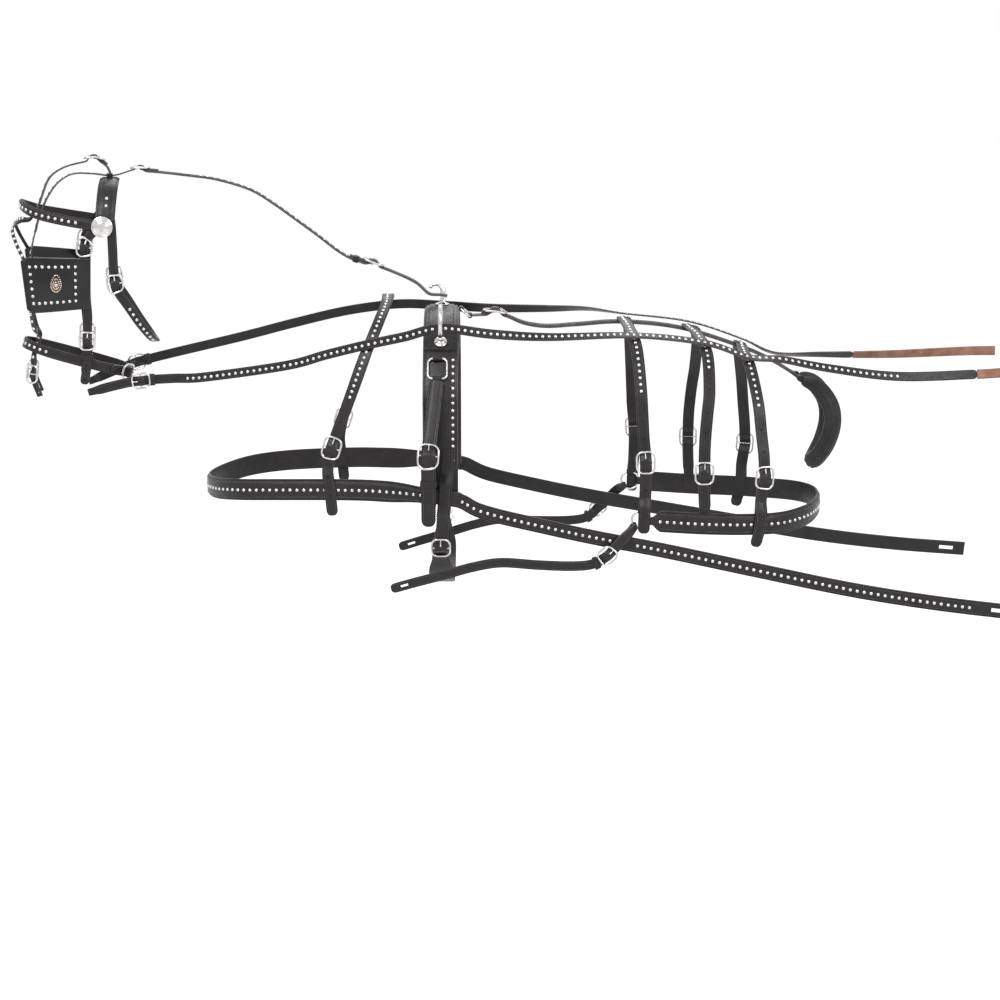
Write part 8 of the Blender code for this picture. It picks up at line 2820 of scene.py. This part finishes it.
def trace_studs(h):
    """Along each trace, but not under the holdback."""
    middle, reach = HOLDBACK_CROSSES
    rows = [s for s in between(h.draft, *TRACE_STUD_ENDS) if abs(seen(h.draft.spot(s)).x - middle) > reach]
    put_studs("trace_near", rows)
    put_studs("trace_far", [h.draft.length - s for s in rows])


def saddle_studs(h):
    """Down the front edge of the skirt, at the same heights on both sides."""
    near = between(h.girth, *SADDLE_STUD_ENDS)
    far = [side_length(h.girth, FAR, h.girth.spot(s).z) for s in near]
    put_studs("saddle_skirt", near + far, aside=SADDLE_WIDTH * SADDLE_STUD_SHARE)


def body_studs(h):
    put_studs("breast_collar", across_the_top(h.draft, COLLAR_STUD_START))
    put_studs("neck_strap", across_the_top(h.neck, NECK_STUD_START, NECK_STUD_PITCH))
    put_studs("breeching", across_the_top(h.breeching, BREECHING_STUD_START))
    for name, line, first, pixels in zip(HIP_NAMES, h.hips, HIP_STUD_PIXELS, HIP_HOLE_PIXELS):
        put_studs(f"hip_strap_{name}", across_the_top(line, first))
        put_holes(f"hip_strap_{name}", both_sides(line, pixels))
    put_holes("neck_strap", both_sides(h.neck, NECK_HOLE_PIXELS))


def head_studs(h):
    put_studs("check_rein", between(h.check, *CHECK_STUD_ENDS))
    put_studs("browband", across_the_top(h.browband, BROWBAND_STUD_START))
    put_studs("throatlatch", across_the_top(h.throat, THROAT_STUD_START))
    put_studs("crownpiece", both_sides(h.crown, CROWN_STUD_PIXELS))
    poll = h.crown.spot(h.crown.length / 2)
    top = h.check.nearest(lambda p: (p - poll).length)
    put_studs("overcheck", row(top + CROWN_WIDTH, h.check.length - STUD_PITCH))
    put_studs("winker_stay", row(at_pixel(h.stay, *STAY_STUD_START), h.stay.length - STUD_PITCH / 2))


def leg_studs(h):
    """Along the overcheck's and the winker stay's legs."""
    for index, (name, side) in enumerate(SIDES):
        piece = f"leg_studs_{name}"
        put_studs("overcheck", row(STUD_PITCH, h.legs[side].length - SMALL_BUCKLE_LENGTH), 2 * index + 1,
                  piece=piece)
        end = LAID["winker_stay"][index + 1].end
        put_studs("winker_stay", row(end * LEG_STUD_START_SHARE, end - STUD_PITCH), index + 1, piece=piece)


def cheek_holes(h):
    for name, _ in SIDES:
        put_holes(f"cheekpiece_{name}", [at_pixel(h.cheeks[NEAR], *pixel) for pixel in CHEEK_HOLE_PIXELS])


def noseband_studs(h):
    """Round the front of the nose, from one side to the other."""
    line = h.noseband
    near = at_pixel(line, *NOSEBAND_STUD_START)
    place = head_local(line.spot(near))
    far = line.nearest(lambda p: abs(head_local(p).x - place.x) + wrong_side(p, FAR))
    put_studs("noseband", row(*sorted((near, far))))


def rein_studs():
    """Along each rein between two places of the photograph, but not in the terret's ring."""
    for name, side in SIDES:
        line = LAID[f"rein_{name}"][0].line
        first, last = (
            line.nearest(lambda p: abs(seen(p).x - x) + (WRONG_END_PIXELS if p.x * end < 0 else 0))
            for end, x in ((-1, REIN_STUD_START), (1, REIN_STUD_ENDS[side]))
        )
        ring = line.nearest(lambda p: abs(p.x))
        put_studs(f"rein_{name}",
                  [s for s in row(first, last, REIN_STUD_PITCH) if abs(s - ring) > TERRET_WIRE])


def extra_keepers(h):
    """The small leather loops that hold the straps' tails."""
    for name, line, centre, width, thickness, body in keeper_places(h):
        mesh = keeper_mesh(line, centre, width, -GAP, thickness, KEEPER_LENGTH)
        put(f"{name}_keeper", mesh, "leather", body)


def keeper_places(h):
    found = []
    rear, _ = check_places(h)
    found.append(("check_rein", h.check, rear + TAIL_LENGTH * CHECK_KEEPER_SHARE, CHECK_WIDTH,
                  2 * CHECK_THICKNESS + GAP, HARNESS))
    for name, side in SIDES:
        cheek = h.cheeks[side]
        lower = place_on(cheek, side, LOWER_BUCKLE_SHARE)
        found.append((f"cheek_{name}", cheek, lower + SMALL_BUCKLE_LENGTH, CHEEK_WIDTH,
                      ON_CHAPE + CHEEK_THICKNESS, HARNESS))
        rein = LAID[f"rein_{name}"][0].line
        found.append((f"rein_{name}", rein, REIN_BUCKLE_AT + TAIL_LENGTH * REIN_KEEPER_SHARE, REIN_WIDTH,
                      2 * REIN_THICKNESS + GAP, HARNESS))
    return found


# Stage


def looked_at(nodes, links):
    """1 where the camera, a reflection or clear glass looks, 0 for plain light."""
    path = nodes.new("ShaderNodeLightPath")
    value = path.outputs["Is Camera Ray"]
    for ray in ("Is Glossy Ray", "Is Transmission Ray"):
        either = nodes.new("ShaderNodeMath")
        either.operation = "MAXIMUM"
        links.new(value, either.inputs[0])
        links.new(path.outputs[ray], either.inputs[1])
        value = either.outputs["Value"]
    return value


def backdrop_world():
    """White where it is looked at, a softer white as light."""
    world = bpy.data.worlds.new("world")
    bpy.context.scene.world = world
    world.use_nodes = True
    nodes, links = world.node_tree.nodes, world.node_tree.links
    background = nodes["Background"]
    strength = nodes.new("ShaderNodeMapRange")
    strength.inputs["To Min"].default_value = WORLD_LIGHT
    strength.inputs["To Max"].default_value = 1.0
    links.new(looked_at(nodes, links), strength.inputs["Value"])
    background.inputs["Color"].default_value = (1, 1, 1, 1)
    links.new(strength.outputs["Result"], background.inputs["Strength"])


def floor_white():
    """White where it is looked at, whatever light falls on it, but for the harness's shadow."""
    surface = Surface("floor_white")
    surface.set(Base_Color=(FLOOR_TONE, FLOOR_TONE, FLOOR_TONE, 1), Roughness=1.0, Specular_IOR_Level=0.0)
    nodes, links = surface.nodes, surface.links
    plain = nodes["Principled BSDF"].outputs["BSDF"]
    glow = surface.node("ShaderNodeEmission", Strength=FLOOR_GLOW)
    both = surface.node("ShaderNodeAddShader")
    pick = surface.node("ShaderNodeMixShader")
    links.new(plain, both.inputs[0])
    links.new(glow.outputs["Emission"], both.inputs[1])
    links.new(looked_at(nodes, links), pick.inputs["Fac"])
    links.new(plain, pick.inputs[1])
    links.new(both.outputs["Shader"], pick.inputs[2])
    links.new(pick.outputs["Shader"], nodes["Material Output"].inputs["Surface"])
    return surface.made


def floor_sheet():
    """A white ground that keeps the harness's shadow."""
    bm = bmesh.new()
    bm.faces.new([
        bm.verts.new((x * FLOOR_REACH, y * FLOOR_REACH, FLOOR_HEIGHT))
        for x, y in ((-1, -1), (1, -1), (1, 1), (-1, 1))
    ])
    mesh = mesh_of(bm)
    mesh.materials.append(floor_white())
    new_object("floor", mesh)


def lamp(name, place, power, size):
    """A soft square lamp that faces the saddle."""
    light = bpy.data.lights.new(name, "AREA")
    light.energy = power
    light.size = size
    made = new_object(name, light)
    made.location = place
    made.rotation_euler = (-Vector(place)).to_track_quat("-Z", "Y").to_euler()


def camera():
    lens = bpy.data.cameras.new("camera")
    lens.sensor_width = SENSOR_MM
    lens.lens = FOCAL_PIXELS / PICTURE_SIDE * SENSOR_MM
    made = new_object("camera", lens)
    made.location = CAMERA_PLACE
    made.rotation_euler = (CAMERA_PITCH, 0, 0)
    bpy.context.scene.camera = made


def main():
    h = Harness()
    leather, patent, padded, brown, metal = "leather", "patent", "padded", "brown", "nickel"
    saddle_panel(h, padded)
    saddle_skirt(h, leather)
    saddle_seat(h, leather)
    rear_dee(h, metal)
    check_hook(h, metal)
    girth_parts(h, leather)
    breast_collar(h, leather)
    neck_strap(h, leather)
    back_parts(h, leather)
    breeching(h, leather)
    crupper_dock(h, padded)
    check_rein_end(h, leather)
    check_rein(h, leather)
    bridle_parts(h, leather, patent, metal)
    for index in range(len(h.hips)):
        hip_strap(h, index, leather)
    for name, side in SIDES:
        shaft_dee(h, name, side, metal)
        shaft_parts(h, name, side, leather, metal)
        terret(h, name, side, metal)
        trace(h, name, side, leather)
        breeching_ring(h, name, side, metal)
        ring_chape(h, name, side, leather)
        holdback(h, name, side, leather)
        rein_parts(h, name, side, leather, brown)
    for detail in (trace_studs, saddle_studs, body_studs, head_studs, leg_studs, cheek_holes,
                   noseband_studs, extra_keepers):
        detail(h)
    rein_studs()
    backdrop_world()
    floor_sheet()
    for spec in LAMPS:
        lamp(*spec)
    camera()
    bpy.context.scene.view_settings.view_transform = "Standard"


main()
